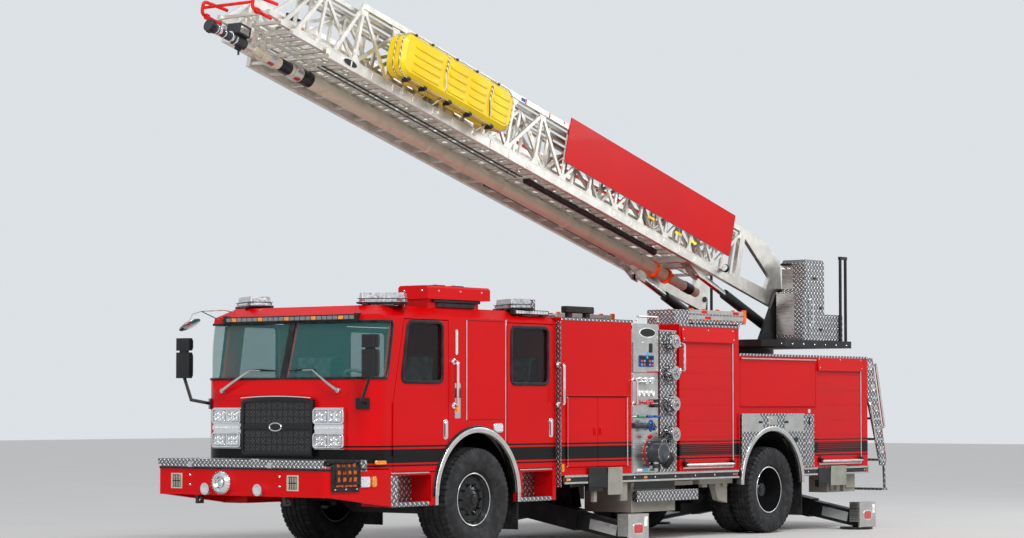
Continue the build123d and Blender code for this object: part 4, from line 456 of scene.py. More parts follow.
def rounded(half_u, half_v, radius, steps=4):
    """A rounded rectangle: a quarter circle about each of the four corner centres in turn."""
    turn = np.arange(4)[:, None] * math.pi / 2 + np.linspace(0, math.pi / 2, steps + 1)
    centre_u = np.array([1, -1, -1, 1])[:, None] * (half_u - radius)
    centre_v = np.array([1, 1, -1, -1])[:, None] * (half_v - radius)
    return np.stack((centre_u + radius * np.cos(turn), centre_v + radius * np.sin(turn)),
                    axis=-1).reshape(-1, 2)


def carried(profile, path, side, size=1.0, ring=False):
    """A closed profile carried along a path: each station lays (u, v) on the side turned square to the path
    and on the direction square to both. A ring joins its ends; other paths close them on their middles."""
    path, side = np.asarray(path, float), np.asarray(side, float)
    if ring:
        along = np.roll(path, -1, axis=0) - np.roll(path, 1, axis=0)
    else:
        along = np.gradient(path, axis=0)
    along /= np.linalg.norm(along, axis=1, keepdims=True)
    across = side - along * (along @ side)[:, None]
    across /= np.linalg.norm(across, axis=1, keepdims=True)
    third = np.cross(along, across)
    size = np.broadcast_to(size, len(path))[:, None, None]
    grid = path[:, None] + size * (profile[:, :1] * across[:, None] + profile[:, 1:] * third[:, None])
    if ring:
        return skin(grid, along=True)
    first, last = grid[:1].mean(axis=1, keepdims=True), grid[-1:].mean(axis=1, keepdims=True)
    wide = (1, grid.shape[1], 1)
    return skin(np.concatenate((np.tile(first, wide), grid, np.tile(last, wide))))


def bent(corners, reach, steps=5):
    """A route with soft corners: each inner corner gives way to a quadratic arc, a reach long each way."""
    corners = np.asarray(corners, float)
    share = np.linspace(0, 1, steps)[:, None]
    route = [corners[:1]]
    for before, corner, after in zip(corners[:-2], corners[1:-1], corners[2:]):
        start = corner + (before - corner) * min(0.5, reach / np.linalg.norm(before - corner))
        end = corner + (after - corner) * min(0.5, reach / np.linalg.norm(after - corner))
        route.append(start * (1 - share) ** 2 + corner * 2 * share * (1 - share) + end * share**2)
    return np.vstack(route + [corners[-1:]])


def rod(start, end, radius, steps=10):
    """A straight round bar, a circle carried from one end to the other."""
    side = (0.31, 0.17, 0.93) if abs(end[2] - start[2]) < 0.7 * math.dist(start, end) else (1.0, 0.13, 0.07)
    return carried(circle(radius, steps), [start, end], side)


def pipe(corners, radius, reach, side=(0.31, 0.93, 0.17), steps=10):
    """A bent round bar, a circle carried along a soft-cornered route."""
    return carried(circle(radius, steps), bent(corners, reach), side)


def grab_bar(start, end, off, radius):
    """A hand rail with a foot at each end: out, along and back again, on round flanges."""
    start, end, off = np.asarray(start, float), np.asarray(end, float), np.asarray(off, float)
    bar = pipe([start, start + off, end + off, end], radius, 0.03, side=(0.41, 0.37, 0.29))
    foot = [(0, 0), (0, radius * 2.1), (0.004, radius * 2.0), (0.008, radius * 1.2), (0.008, 0)]
    return joined(bar, turned(foot, start, off, 16), turned(foot, end, off, 16))


tread_sheet = raised_plate()
dress(tread_sheet, "bumper_deck", "turntable_console", "rear_stairs", "roof_gear", "rub_rails")
deck_top, bumper_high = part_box("bumper_deck")[1].z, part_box("bumper")[1]
face_x, flank_y = bumper_high.x, bumper_high.y
corner_x, corner_y = face_x - 0.06, flank_y - 0.06
fold_top, fold_foot = deck_top + 0.06, bumper_high.z + 0.019


def round_the_front(corner, height, profile):
    """A bead carried at one height round the bumper's face: the left corners, then their mirror images."""
    line = corner + [(x, -y) for x, y in corner[::-1]]
    return carried(profile, np.column_stack((line, np.full(len(line), height))), (0.02, 0.01, 1.0))


lids = blocks((face_x - 0.025, -corner_y, fold_foot, face_x + 0.003, corner_y, fold_top - 0.001, 0.004),
              (4.735, -1.205, deck_top, face_x - 0.004, 0.47, fold_top, 0.004),
              (4.735, 0.47, deck_top, 4.85, 1.205, fold_top, 0.004),
              (5.19, 0.47, deck_top, face_x - 0.004, 1.165, fold_top, 0.004),
              (4.85, 1.112, deck_top, 5.19, 1.205, fold_top, 0.004))
side_fold = block((4.72, flank_y - 0.02, bumper_high.z - 0.012), (4.84, flank_y + 0.003, fold_top - 0.001))
piece("deck_fold", [mirrored(side_fold), *lids], "treadplate", tread_sheet)
upstand = round_the_front([(4.74, 1.2155), (corner_x, 1.2155), (face_x - 0.0095, corner_y - 0.004)],
                          bumper_high.z + 0.01, rounded(0.016, 0.01, 0.002, 1))
piece("bumper_upstand", upstand, "red_paint", red_enamel)
black_trim = moulded_rubber("black_trim", (0.01, 0.01, 0.011), 0.4)
rubber_lip = round_the_front([(4.74, flank_y + 0.004), (corner_x, flank_y + 0.004),
                              (face_x + 0.004, corner_y)],
                             fold_foot - 0.01, rounded(0.011, 0.007, 0.004, 2))
piece("deck_rubber_lip", rubber_lip, "trim_plastic", black_trim)
latches = [block((face_x, y - 0.03, fold_foot - 0.02), (face_x + 0.008, y + 0.03, fold_foot + 0.055), 0.002)
           for y in (-0.72, 0.42)]
handle = np.array([(-0.06, -0.06, -0.004), (-0.06, -0.05, 0.004), (-0.06, 0.05, 0.004),
                   (-0.06, 0.06, -0.004)])
latches += [carried(circle(0.008, 8), handle + (face_x, y, fold_top - 0.004), (1.0, 0, 0.1))
            for y in (-0.56, 0.16)]
piece("deck_latches", latches, "chrome", chrome)


# Bumper fittings: polished round siren and trumpet horns, pale louvred speaker guards let into
# the face, forged tow eyes below, and lamps on the folded ends.


def satin_metal(name, colour, rough=0.3, grain=(3, 3, 240)):
    """Sheet metal with a fine one-way grain, and faint handling marks."""
    metal = Finish(name, colour, rough, 1.0)
    lines = metal.cloud(1.0, 2.0, metal.stretched(*grain))
    marks = metal.spread(metal.cloud(8, 5.0), 0.38, 0.7)
    metal.colour(metal.mixed(marks, tuple(c * 0.82 for c in colour), colour))
    metal.rough(metal.spread(lines, 0.3, 0.7, rough - 0.08, rough + 0.12))
    metal.bump(lines, 0.07, 0.0008)
    return metal.material


def lamp_glass(name, colour, facets=60.0, glow=0.0):
    """A moulded lens: clear plastic over small facets, darker between them."""
    lens = Finish(name, colour, 0.07, Coat_Weight=1.0, Coat_Roughness=0.03)
    cells = lens.node("ShaderNodeTexVoronoi", Vector=lens.place, Scale=facets).outputs["Distance"]
    lens.colour(lens.mixed(lens.spread(cells, 0.1, 0.6), tuple(c * 0.45 for c in colour), colour))
    lens.bump(cells, 0.5, 0.003)
    if glow:
        lens.feed((*colour, 1.0), lens.shader.inputs["Emission Color"])
        lens.feed(glow, lens.shader.inputs["Emission Strength"])
    return lens.material


stainless = satin_metal("stainless", (0.66, 0.65, 0.62), 0.26)
clear_lens = lamp_glass("clear_lens", (0.74, 0.76, 0.78))
amber_lens = lamp_glass("amber_lens", (0.95, 0.3, 0.01))
red_lens = lamp_glass("red_lens", (0.62, 0.008, 0.008))
fitting = Finish("fittings_chrome", (0.86, 0.87, 0.88), 0.08, 1.0)
low_down = fitting.math("LESS_THAN", fitting.node("ShaderNodeSeparateXYZ", Vector=fitting.place).outputs[2],
                        0.652)
fitting.colour(fitting.mixed(low_down, (0.86, 0.87, 0.88), (0.015, 0.015, 0.015)))
fitting.feed(fitting.math("SUBTRACT", 1.0, low_down), fitting.shader.inputs["Metallic"])
fitting.rough(fitting.spread(fitting.cloud(30, 2.0), 0.3, 0.7, 0.05, 0.14))
fitting.bump(fitting.cloud(90, 2.0), 0.03, 0.0006)
dress(fitting.material, "bumper_fittings")
hoop = np.array([(-0.01, 0.098), (-0.003, 0.103), (0, 0.098), (-0.003, 0.092), (-0.01, 0.09),
                 (-0.01, 0.098)])
boss = [(-0.012, 0), (-0.004, 0), (-0.004, 0.02), (-0.012, 0.022)]
siren_middle = np.array((5.405, -0.215, 0.784))
siren = [turned(hoop - (0, 0.028 * step), siren_middle, (1, 0, 0), 40) for step in range(3)]
siren.append(turned(boss, siren_middle, (1, 0, 0), 20))
points, faces = block((5.345, -0.003, 0.1145), (5.402, 0.003, 0.123), 0.001)
for cos, sin in circle(1.0, 24):
    spin = np.array([(1, 0, 0), (0, cos, sin), (0, -sin, cos)])
    siren.append((points @ spin + siren_middle * (0, 1, 1), faces))
piece("siren_trim", siren, "chrome", chrome)
speaker_paint = satin_metal("speaker_guard", (0.78, 0.74, 0.6), 0.34)
guards, hollows = [], []
for y in (-0.915, 0.745):
    # A thin black sheet behind each guard's bars: painted shade for the hollow behind the louvres.
    hollows.append(block((face_x + 0.003, y - 0.06, 0.728), (face_x + 0.0045, y + 0.06, 0.858), 0.001))
    guards.append(block((face_x, y - 0.082, 0.712), (face_x + 0.004, y + 0.082, 0.874), 0.002))
    bar = block((face_x + 0.003, y - 0.052, 0.733), (face_x + 0.012, y - 0.043, 0.787), 0.002)
    guards.append(repeated(bar, [(0, 0.0245 * slot, 0.064 * row) for slot in range(5) for row in range(2)]))
piece("speaker_guards", guards, "stainless", speaker_paint)
piece("speaker_hollows", hollows, "trim_plastic", black_trim)
stud = turned([(0, 0), (0, 0.012), (0.005, 0.009), (0.006, 0)], (face_x, 0, 0), (1, 0, 0), 12)
studs = repeated(stud, [(0, y, z) for y in (-0.72, 0.56) for z in (0.757, 0.857)])
piece("bumper_studs", studs, "chrome", chrome)


# Hose tray in the bumper's driver's corner: orange attack hose folded in it, held by a black webbing
# net that buckles over the top and hangs as a pocket on the side.


def outline_plate(outline, back, side, up, thick, edge=0.002):
    """A flat plate: an outline on the side and up directions, raised by a thickness, its edge chamfered."""
    outline = np.asarray(outline, float)
    back, side, up, thick = (np.asarray(value, float) for value in (back, side, up, thick))
    middle = outline.mean(axis=0)
    reach = np.abs(outline - middle).max()
    pulled = middle + (outline - middle) * (1 - edge / reach)
    rows = [np.tile(middle, (len(outline), 1)), outline, outline, pulled, np.tile(middle, (len(outline), 1))]
    depth = np.array([0.0, 0.0, 1 - min(0.5, edge / np.linalg.norm(thick)), 1.0, 1.0])
    grid = np.stack(rows)
    grid = back + grid[..., :1] * side + grid[..., 1:] * up + depth[:, None, None] * thick
    return skin(grid)


hose_jacket = Finish("hose_jacket", (0.8, 0.14, 0.02), 0.75, Specular_IOR_Level=0.2)
weave = hose_jacket.node("ShaderNodeTexWave", Vector=hose_jacket.place, Scale=90.0,
                         Distortion=1.5).outputs["Fac"]
hose_jacket.colour(hose_jacket.mixed(weave, (0.5, 0.06, 0.01), (0.85, 0.17, 0.03)))
hose_jacket.bump(weave, 0.5, 0.002)
flat_hose = np.array([(-0.021, -0.014), (0.021, -0.014), (0.024, 0), (0.021, 0.014), (-0.021, 0.014),
                      (-0.024, 0)])
laid = carried(flat_hose, [(4.895, 0.52, 0.79), (4.895, 0.8, 0.796), (4.895, 1.07, 0.79)], (1.0, 0, 0.02))
folds = [repeated(laid, [(0.05 * lane, 0, 0.042 * layer) for lane in range(6) for layer in range(5)])]
for lane in range(5):
    x, lean = 4.935 + lane * 0.068, 0.012 * math.sin(lane * 2.4)
    hung = [(x, 1.228, 0.985), (x + lean, 1.244, 0.91), (x - lean, 1.25, 0.84), (x + lean, 1.24, 0.76)]
    folds.append(carried(flat_hose * (1.25, 1.0), hung, (1.0, 0, 0.02)))
piece("folded_hose", folds, "trim_plastic", hose_jacket.material)
net = [rod((x, 0.47, 1.02), (x, 1.112, 1.02), 0.005, 6) for x in 4.87 + 0.05 * np.arange(7)]
net += [rod((4.85, y, 1.023), (5.19, y, 1.023), 0.005, 6) for y in 0.53 + 0.068 * np.arange(9)]
webbing = rounded(0.016, 0.003, 0.0025, 1)
for x in np.linspace(4.905, 5.232, 5):
    drop = [(x, 1.17, 1.022), (x, 1.232, 1.018), (x, 1.262, 0.95), (x, 1.268, 0.83), (x, 1.236, 0.74)]
    net.append(carried(webbing, bent(drop, 0.03, 4), (1.0, 0, 0)))
net += [carried(webbing, [(4.875, 1.262, z), (5.262, 1.262, z)], (0, 0, 1.0)) for z in (0.795, 0.87, 0.945)]
net += blocks((4.855, 1.2255, 0.705, 5.282, 1.246, 0.762, 0.006),
              (4.851, 1.2255, 0.75, 4.883, 1.262, 0.985, 0.006),
              (5.254, 1.2255, 0.75, 5.286, 1.262, 0.985, 0.006),
              (4.845, 1.16, 0.995, 5.292, 1.258, 1.03, 0.01))
piece("tray_net", net, "trim_plastic", moulded_rubber("net_webbing", (0.012, 0.012, 0.012), 0.75))
stud = turned([(0, 0), (0, 0.011), (0.005, 0.008), (0.006, 0)], (0, 1.246, 0.733), (0, 1, 0), 12)
piece("net_studs", repeated(stud, [(x, 0, 0) for x in (4.9, 5.07, 5.235)]), "chrome", chrome)
for x, half_x, depth, lens in ((4.755, 0.074, 0.02, clear_lens), (4.62, 0.034, 0.026, amber_lens)):
    lamp = outline_plate(rounded(half_x, 0.055, 0.022), (x, 1.225, 0.8), (1, 0, 0), (0, 0, 1), (0, depth, 0),
                         0.008)
    twins(f"bumper_side_{lens.name}", [lamp], "lamp_plastic", lens)


# Cab glazing: a wrapped windscreen of teal-tinted glass in black rubber with a slanted middle
# bead, and nearly black side windows, each pane in its own rubber.


def tinted_glass(name, tint, clear):
    """A thin pane: its tint, a clear share that lets the inside through, and a hard gloss."""
    pane = Finish(name, tint, 0.03, Alpha=1 - clear, Specular_IOR_Level=0.35)
    pane.colour(pane.mixed(pane.cloud(0.8, 2.0), tuple(c * 0.8 for c in tint), tint))
    pane.bump(pane.cloud(3, 1.0), 0.01, 0.002)
    return pane.material


def window_outline(corners, radius, steps=5):
    """A closed outline with round corners: each corner gives way to a quadratic arc."""
    corners = np.asarray(corners, float)
    share = np.linspace(0, 1, steps)[:, None]
    ends = []
    for step in (1, -1):
        away = np.roll(corners, step, axis=0) - corners
        ends.append(corners + away * radius / np.linalg.norm(away, axis=1, keepdims=True))
    weights = (1 - share) ** 2, 2 * share * (1 - share), share**2
    return np.vstack([sum(w * p for w, p in zip(weights, arc)) for arc in zip(ends[0], corners, ends[1])])


screen_glass = tinted_glass("screen_glass", (0.05, 0.25, 0.24), 0.75)
dark_glass = tinted_glass("dark_glass", (0.004, 0.007, 0.008), 0.55)
window_rubber = moulded_rubber("window_rubber", (0.01, 0.01, 0.011), 0.32)
dress(screen_glass, "windscreen")
nose_radius, nose_centre = 0.33, (4.385, 0.87)


def nose_line(height, end_x, out=0.0, start_y=0.028):
    """The cab's outline in plan at a height: straight along the raked front, then round the nose."""
    front_x = np.interp(height, (1.7, 1.86, 2.49, 2.545), (4.715, 4.67, 4.5, 4.48)) + out
    radius = nose_radius + out
    first = math.acos(min(1.0, (front_x - nose_centre[0]) / radius))
    turn = np.linspace(first, math.pi / 2, 9)
    arc = np.stack((nose_centre[0] + radius * np.cos(turn), nose_centre[1] + radius * np.sin(turn)), axis=-1)
    front = np.array([(front_x, start_y), (front_x, 0.45), (front_x, arc[0, 1] - 0.1)])
    line = np.vstack((front, arc, [(end_x, nose_centre[1] + radius)]))
    return np.column_stack((line, np.full(len(line), height)))


lower, upper = nose_line(1.874, 4.4, 0.001), nose_line(2.471, 4.3, 0.001)
rear_edge = np.array([(4.372, 1.201, 1.9), (4.352, 1.201, 2.0), (4.292, 1.201, 2.38), (4.283, 1.201, 2.44)])
pane_edge = np.vstack((lower, rear_edge, upper[::-1]))
pane_seal = carried(circle(0.015, 8), pane_edge, (0.35, 0.25, 0.9), ring=True)
divider = [nose_line(height, 4.3, 0.004, 0.0)[0] for height in (1.865, 2.1, 2.4, 2.48)]
middle_bead = carried(rounded(0.03, 0.008, 0.006, 2), divider, (0, 1.0, 0.01))
piece("windscreen_rubber", [mirrored(pane_seal), middle_bead], "trim_plastic", window_rubber)
front_pane = [(3.463, 1.838), (4.139, 1.838), (4.035, 2.475), (3.463, 2.475)]
rear_pane = [(1.589, 1.828), (2.263, 1.828), (2.263, 2.458), (1.589, 2.458)]
for side, hand in ((1, "left"), (-1, "right")):
    for door, corners in (("front_door_", front_pane), ("rear_door_", rear_pane)):
        outline = window_outline(corners, 0.075)
        pane = outline_plate(outline, (0, side * 1.176, 0), (1, 0, 0), (0, 0, 1), (0, side * 0.006, 0),
                             0.001)
        piece(f"{door}pane_{hand}", pane, "glass", dark_glass, body=door + hand)
        path = np.column_stack((outline[:, 0], np.full(len(outline), side * 1.2), outline[:, 1]))
        seal = carried(rounded(0.011, 0.021, 0.009, 3), path, (0, 1.0, 0), ring=True)
        inner = carried(circle(0.007, 8), path + (0, side * 0.004, 0), (0, 1.0, 0), ring=True)
        piece(f"{door}seal_{hand}", [seal, inner], "trim_plastic", window_rubber, body=door + hand)


# Wipers and the visor bar: black arms with chrome-plated sleeves that park inwards along the foot
# of the glass, and a slim black lamp bar over it with clear and amber cells.

pivot, elbow, tip = np.array([(4.722, 0.83, 1.745), (4.688, 0.45, 1.962), (4.675, 0.1, 1.957)])
boss = turned([(-0.012, 0), (-0.012, 0.03), (0.018, 0.026), (0.022, 0.012), (0.022, 0)], pivot, (1, 0, 0.05),
              16)
reach = [pivot + (0.016, 0, 0), pivot * 0.55 + elbow * 0.45 + (0.03, 0, 0), elbow + (0.016, 0, 0)]
arm = carried(rounded(0.012, 0.009, 0.006, 2), reach, (0.2, 0.1, 1.0), size=[1.5, 1.1, 0.7])
sleeve = rod(elbow + (0.014, 0, 0), elbow + (0.01, -0.15, -0.002), 0.006, 8)
twins("wiper_arms", [boss, arm, sleeve], "chrome", stainless)
blade = [elbow + (0.006, 0.04, 0), elbow + (0.006, -0.15, 0.002), tip]
blade = carried(rounded(0.014, 0.006, 0.005, 2), blade, (0.1, 0.05, 1.0), size=[0.5, 1.0, 0.5])
twins("wiper_blades", [blade], "trim_plastic", window_rubber)
dark_plastic = moulded_rubber("dark_plastic", (0.014, 0.014, 0.015), 0.34)
visor = blocks((4.475, -0.98, 2.478, 4.535, 0.9, 2.548, 0.008),
               (4.44, -1.005, 2.47, 4.545, -0.965, 2.56, 0.006),
               (4.44, 0.885, 2.47, 4.545, 0.925, 2.56, 0.006))
piece("visor_bar", visor, "trim_plastic", dark_plastic)
white_cells, amber_cells = [], []
for cell in range(24):
    start = -0.955 + cell * 0.077
    lens = block((4.53, start, 2.494), (4.541, start + 0.066, 2.532), 0.004)
    (amber_cells if cell % 5 == 1 else white_cells).append(lens)
piece("visor_white_cells", white_cells, "lamp_plastic", lamp_glass("smoked_lens", (0.2, 0.2, 0.2), 90.0))
piece("visor_amber_cells", amber_cells, "lamp_plastic", amber_lens)


# Grille: black perforated sheet in two panels behind a smooth black frame, a bar across its
# middle with a plain oval badge, and a polished brow.


def pierced_sheet():
    """Black sheet slit and drawn into thin diamond strands, with painted shade in the holes between them for
    the darkness behind.
    """
    sheet = Finish("pierced_sheet", (0.02, 0.02, 0.021), 0.35)
    do = sheet.math
    place = sheet.node("ShaderNodeSeparateXYZ", Vector=sheet.place).outputs
    pitch = 0.044
    across = do("MULTIPLY", place[1], math.pi / pitch)
    upward = do("MULTIPLY", place[2], math.pi / pitch)
    wave = do("MULTIPLY", do("SINE", do("ADD", across, upward)),
                      do("SINE", do("SUBTRACT", across, upward)))
    hole = sheet.spread(do("ABSOLUTE", wave), 0.1, 0.35)
    # The holes are painted near black: painted shade behind the strands.
    sheet.colour(sheet.mixed(hole, (0.05, 0.05, 0.053), (0.002, 0.002, 0.002)))
    sheet.bump(hole, 1.0, 0.004)
    return sheet.material


def front_plate(outline, foot, thick, edge=0.002):
    """A flat plate that faces forwards, its outline in y and z about its foot."""
    return outline_plate(outline, foot, (0, 1, 0), (0, 0, 1), (thick, 0, 0), edge)


def front_ring(profile, outline, x, y=0.0, z=0.0):
    """A closed bead that faces forwards: the profile carried round an outline in y and z."""
    path = np.column_stack((np.full(len(outline), x), np.asarray(outline) + (y, z)))
    return carried(profile, path, (1.0, 0, 0), ring=True)


grille_black = gloss_black("grille_black")
dress(grille_black, "grille")
low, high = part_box("grille")
mesh_sheet = block((low.x + 0.004, -0.474, low.z + 0.03), (high.x - 0.001, 0.474, high.z - 0.03), 0.004)
piece("grille_mesh", mesh_sheet, "black_paint", pierced_sheet())
frame_line = [(-0.49, 1.075), (0.49, 1.075), (0.492, 1.625), (0.3, 1.655), (0.0, 1.664), (-0.3, 1.655),
              (-0.492, 1.625)]
surround = front_ring(rounded(0.01, 0.026, 0.008, 2), frame_line, 4.764)
middle_bar = block((4.752, -0.475, 1.335), (4.768, 0.475, 1.385), 0.006)
piece("grille_frame", [surround, middle_bar], "black_paint", grille_black)
brow_y = np.linspace(-0.5, 0.5, 9)
brow_path = np.column_stack((np.full(9, 4.762), brow_y, 1.686 - 0.072 * brow_y**2))
piece("grille_brow", carried(rounded(0.028, 0.006, 0.005, 2), brow_path, (1.0, 0, 0)), "chrome", chrome)
oval = circle(1.0, 24) * (0.085, 0.042)
piece("badge_ring", front_ring(circle(0.008, 8), oval, 4.772, -0.01, 1.36), "chrome", chrome)
piece("badge_face", front_plate(oval * 0.9, (4.766, -0.01, 1.36), 0.004), "black_paint", grille_black)


# Headlamps: two chromed pods a side, each with two square lamps behind clear glass, and between
# the pods a slim bar of small round lamps.

dress(chrome, "headlamps")
bezels, lenses, cups = [front_plate(rounded(0.205, 0.026, 0.02), (4.756, 0.735, 1.352), 0.014,
                                    0.005)], [], []
square = rounded(0.078, 0.056, 0.02)
for low, high in ((1.145, 1.292), (1.4, 1.55)):
    z = (low + high) / 2
    bezels.append(front_ring(rounded(0.013, 0.011, 0.008, 2), rounded(0.203, (high - low) / 2, 0.03), 4.766,
                             0.73, z))
    bezels.append(block((4.755, 0.718, low), (4.772, 0.742, high), 0.004))
    for y in (0.629, 0.831):
        bezels.append(front_ring(circle(0.006, 8), square, 4.772, y, z))
        lenses.append(front_plate(square * 0.96, (4.756, y, z), 0.018, 0.006))
        cup = turned([(0, 0), (0.001, 0.018), (0.005, 0.021), (0.001, 0.023)], (4.7735, y, z), (1, 0, 0), 12)
        cups.append(repeated(cup, [(0, dy, dz) for dy in (-0.036, 0.036) for dz in (-0.024, 0.024)]))
cell = turned([(0, 0.012), (0.006, 0.01), (0.008, 0)], (4.769, 0, 1.352), (1, 0, 0), 10)
cells = repeated(cell, [(0, 0.57 + 0.03 * step, 0) for step in range(12)])
twins("lamp_bezels", bezels, "chrome", chrome)
twins("lamp_lenses", lenses, "lamp_plastic", lamp_glass("headlamp_lens", (0.66, 0.69, 0.73), 34.0))
twins("lamp_cups", cups, "chrome", chrome)
twins("lamp_strips", [cells], "lamp_plastic", clear_lens)


# Mirrors: smooth dark shells over heated glass, on black arms from a bolted plate on the nose's
# corner; the glass faces back.

mirror_shell = gloss_black("mirror_shell", 60.0, 0.22)
dress(mirror_shell, "mirrors")
heads, glasses = [], []
stations = np.array([(-0.045, 0), (-0.045, 0.93), (-0.04, 0.97), (0, 1.0), (0.022, 0.97), (0.037, 0.86),
                     (0.0445, 0.6),
                     (0.045, 0)])
for low, high in ((1.885, 2.165), (2.185, 2.32)):
    shell, z = rounded(0.099, (high - low) / 2, 0.035, 5), (low + high) / 2
    x, size = stations.T[:, :, None]
    heads.append(skin(np.stack(np.broadcast_arrays(4.8 + x, 1.335 + size * shell[:, 0],
                                                   z + size * shell[:, 1]), axis=-1)))
    glasses.append(front_plate(shell * 0.92, (4.76, 1.335, z), -0.004))
outward = np.array((0.76, 0.65, 0))
bracket = outline_plate(rounded(0.075, 0.058, 0.012), (4.633, 1.09, 1.608), (-0.65, 0.76, 0), (0, 0, 1),
                        outward * 0.022,
                        0.004)
twins("mirror_heads", heads, "mirror_black", mirror_shell, crease=50)
twins("mirror_brackets", [bracket], "mirror_black", mirror_shell)
twins("mirror_glass", glasses, "chrome", bright_plate("mirror_glass", (0.8, 0.83, 0.85), 0.02))


# Corner mirror: a round convex glass in a pale shell before the right corner of the screen, turned
# down to the driver and held by two thin stainless rods from the roof and the visor's end.

disc_middle = np.array((5.06, -1.0, 2.455))
disc_facing = np.array((-0.13, 0.5, -0.86)) / np.linalg.norm((-0.13, 0.5, -0.86))
dish = [(-0.034, 0.0), (-0.03, 0.05), (-0.016, 0.1), (0.0, 0.125), (0.005, 0.126), (0.006, 0.12),
        (0.004, 0.118),
        (0.002, 0.0)]
glass_cap = [(0.003, 0.0), (0.003, 0.119), (0.008, 0.112), (0.016, 0.07), (0.019, 0.0)]
elbow = (4.886, -1.0, 2.605)
long_rod = [(4.38, -0.97, 2.6), (4.55, -0.98, 2.625), elbow, (5.02, -1.0, 2.57),
            disc_middle - disc_facing * 0.028]
short_rod = [(4.5, -1.0, 2.5), (4.6, -1.0, 2.515), elbow]
rods = [carried(circle(0.0065, 8), path, (0, 1.0, 0.01)) for path in (long_rod, short_rod)]
piece("corner_mirror_rods", rods, "chrome", chrome)
mirror_pale = satin_metal("mirror_pale", (0.62, 0.6, 0.55), 0.3)
piece("corner_mirror_shell", turned(dish, disc_middle, disc_facing, 28), "mirror_black", mirror_pale)
piece("corner_mirror_glass", turned(glass_cap, disc_middle, disc_facing, 28), "chrome", chrome)


# Cab sides: bright hinge strips and seams, a tall locker in the pillar, paddle handles, rails by
# the doors, a lamp strip and a work lamp, and steps lined with treadplate.


def side_plate(outline, middle, thick, edge=0.002, side=1):
    """A flat plate on a body side, its outline in x and z about a middle point, raised outwards."""
    x, y, z = middle
    return outline_plate(outline, (x, side * y, z), (1, 0, 0), (0, 0, 1), (0, side * thick, 0), edge)


def strips(*rows, side=1):
    """Thin upright strips on a body side, each from two x, two z, a y, a thickness and an edge."""
    return [block((x, side * y, z), (x_end, side * (y + thick), z_end), edge)
            for x, x_end, z, z_end, y, thick, edge in rows]


def plates(*rows, side=1):
    """Round-cornered plates on a body side, each from its two half sizes and corner radius, its x, y and z,
    and its thickness and edge."""
    return [side_plate(rounded(*row[:3]), row[3:6], *row[6:], side=side) for row in rows]


polished_strip = satin_metal("polished_strip", (0.8, 0.79, 0.76), 0.14, (120, 120, 3))
seam_black = moulded_rubber("seam_black", (0.006, 0.006, 0.006), 0.6)
orange_tag = moulded_rubber("orange_tag", (0.8, 0.22, 0.01), 0.5)
green_cells = lamp_glass("green_cells", (0.3, 0.8, 0.66), 90.0, 0.25)
pillar = strips((3.046, 3.06, 1.43, 2.512, 1.2, 0.006, 0.001), (2.352, 2.374, 1.19, 2.53, 1.2, 0.005, 0.001))
twins("pillar_strips", pillar, "chrome", polished_strip)
seams = strips((2.374, 3.046, 1.43, 1.437, 1.2, 0.0015, 0.001),
               (2.374, 3.046, 2.505, 2.512, 1.2, 0.0015, 0.001))
twins("pillar_seams", seams, "trim_plastic", seam_black)
twins("lock_plates", plates((0.048, 0.19, 0.01, 3.206, 1.2005, 1.64, 0.003)), "stainless", stainless)
lamp_at = (2.5, 1.2005, 1.344)
cab_rails = [grab_bar((3.272, 1.203, 2.06), (3.272, 1.203, 1.585), (0, 0.055, 0), 0.016),
             *plates((0.021, 0.137, 0.02, 3.226, 1.2005, 2.27, 0.006)),
             side_plate(rounded(0.082, 0.052, 0.03, 5), lamp_at, 0.01, 0.004)]
twins("cab_rails", cab_rails, "chrome", chrome)
doorways = ((4.31, 3.69), (2.115, 1.53))
sills = strips(*[(rear, front, 0.872, 0.886, 1.2, 0.01, 0.003) for front, rear in doorways])
twins("door_sills", sills, "chrome", polished_strip)
linings = [block((4.19, 1.195, 0.575), (4.304, 1.199, 0.85), 0.001)]
linings += [block((x, 0.96, 0.575), (x + 0.004, 1.195, 0.85), 0.001) for x in (4.304, 2.09)]
for front, rear in doorways:
    linings.append(block((rear, 1.206, 0.526), (front, 0.95, 0.574), 0.004))
    linings.append(block((rear - 0.02, 0.9395, 0.575), (front, 0.9435, 0.85), 0.001))
twins("step_plates", linings, "treadplate", tread_sheet)
for hand, side in (("left", 1), ("right", -1)):
    for door, x, z in (("front_door_", 3.408, 1.333), ("rear_door_", 1.537, 1.34)):
        pocket, body = rounded(0.036, 0.108, 0.03, 5), door + hand
        shape = side_plate(pocket, (x, 1.2005, z), 0.005, 0.003, side)
        piece(f"{door}handle_{hand}", shape, "chrome", chrome, body=body)
        dish = side_plate(pocket * 0.8, (x, 1.2056, z), 0.001, 0.0005, side)
        piece(f"{door}handle_dish_{hand}", dish, "trim_plastic", seam_black, body=body)
        grip = side_plate(rounded(0.02, 0.085, 0.018, 5), (x, 1.2055, z), 0.01, 0.006, side)
        piece(f"{door}paddle_{hand}", grip, "chrome", chrome, body=body)
twins("lock_faces", plates((0.046, 0.052, 0.004, 3.206, 1.204, 1.722, 0.004)), "trim_plastic", dark_plastic)
twins("lock_tags", plates((0.028, 0.04, 0.02, 3.214, 1.204, 1.565, 0.006)), "trim_plastic", orange_tag)
work_lamp = side_plate(rounded(0.07, 0.042, 0.024, 5), (2.5, 1.2105, 1.344), 0.012, 0.008)
twins("side_work_lamps", [work_lamp], "lamp_plastic", clear_lens)
marker = plates((0.09, 0.021, 0.018, 4.475, 1.1965, 0.996, 0.014, 0.006))
twins("side_markers", marker, "lamp_plastic", amber_lens)
cell = block((3.214, 1.2065, 2.145), (3.238, 1.211, 2.167), 0.002)
cells = repeated(cell, [(0, 0, 0.0255 * step) for step in range(10)])
twins("pillar_lamp_cells", [cells], "lamp_plastic", green_cells)


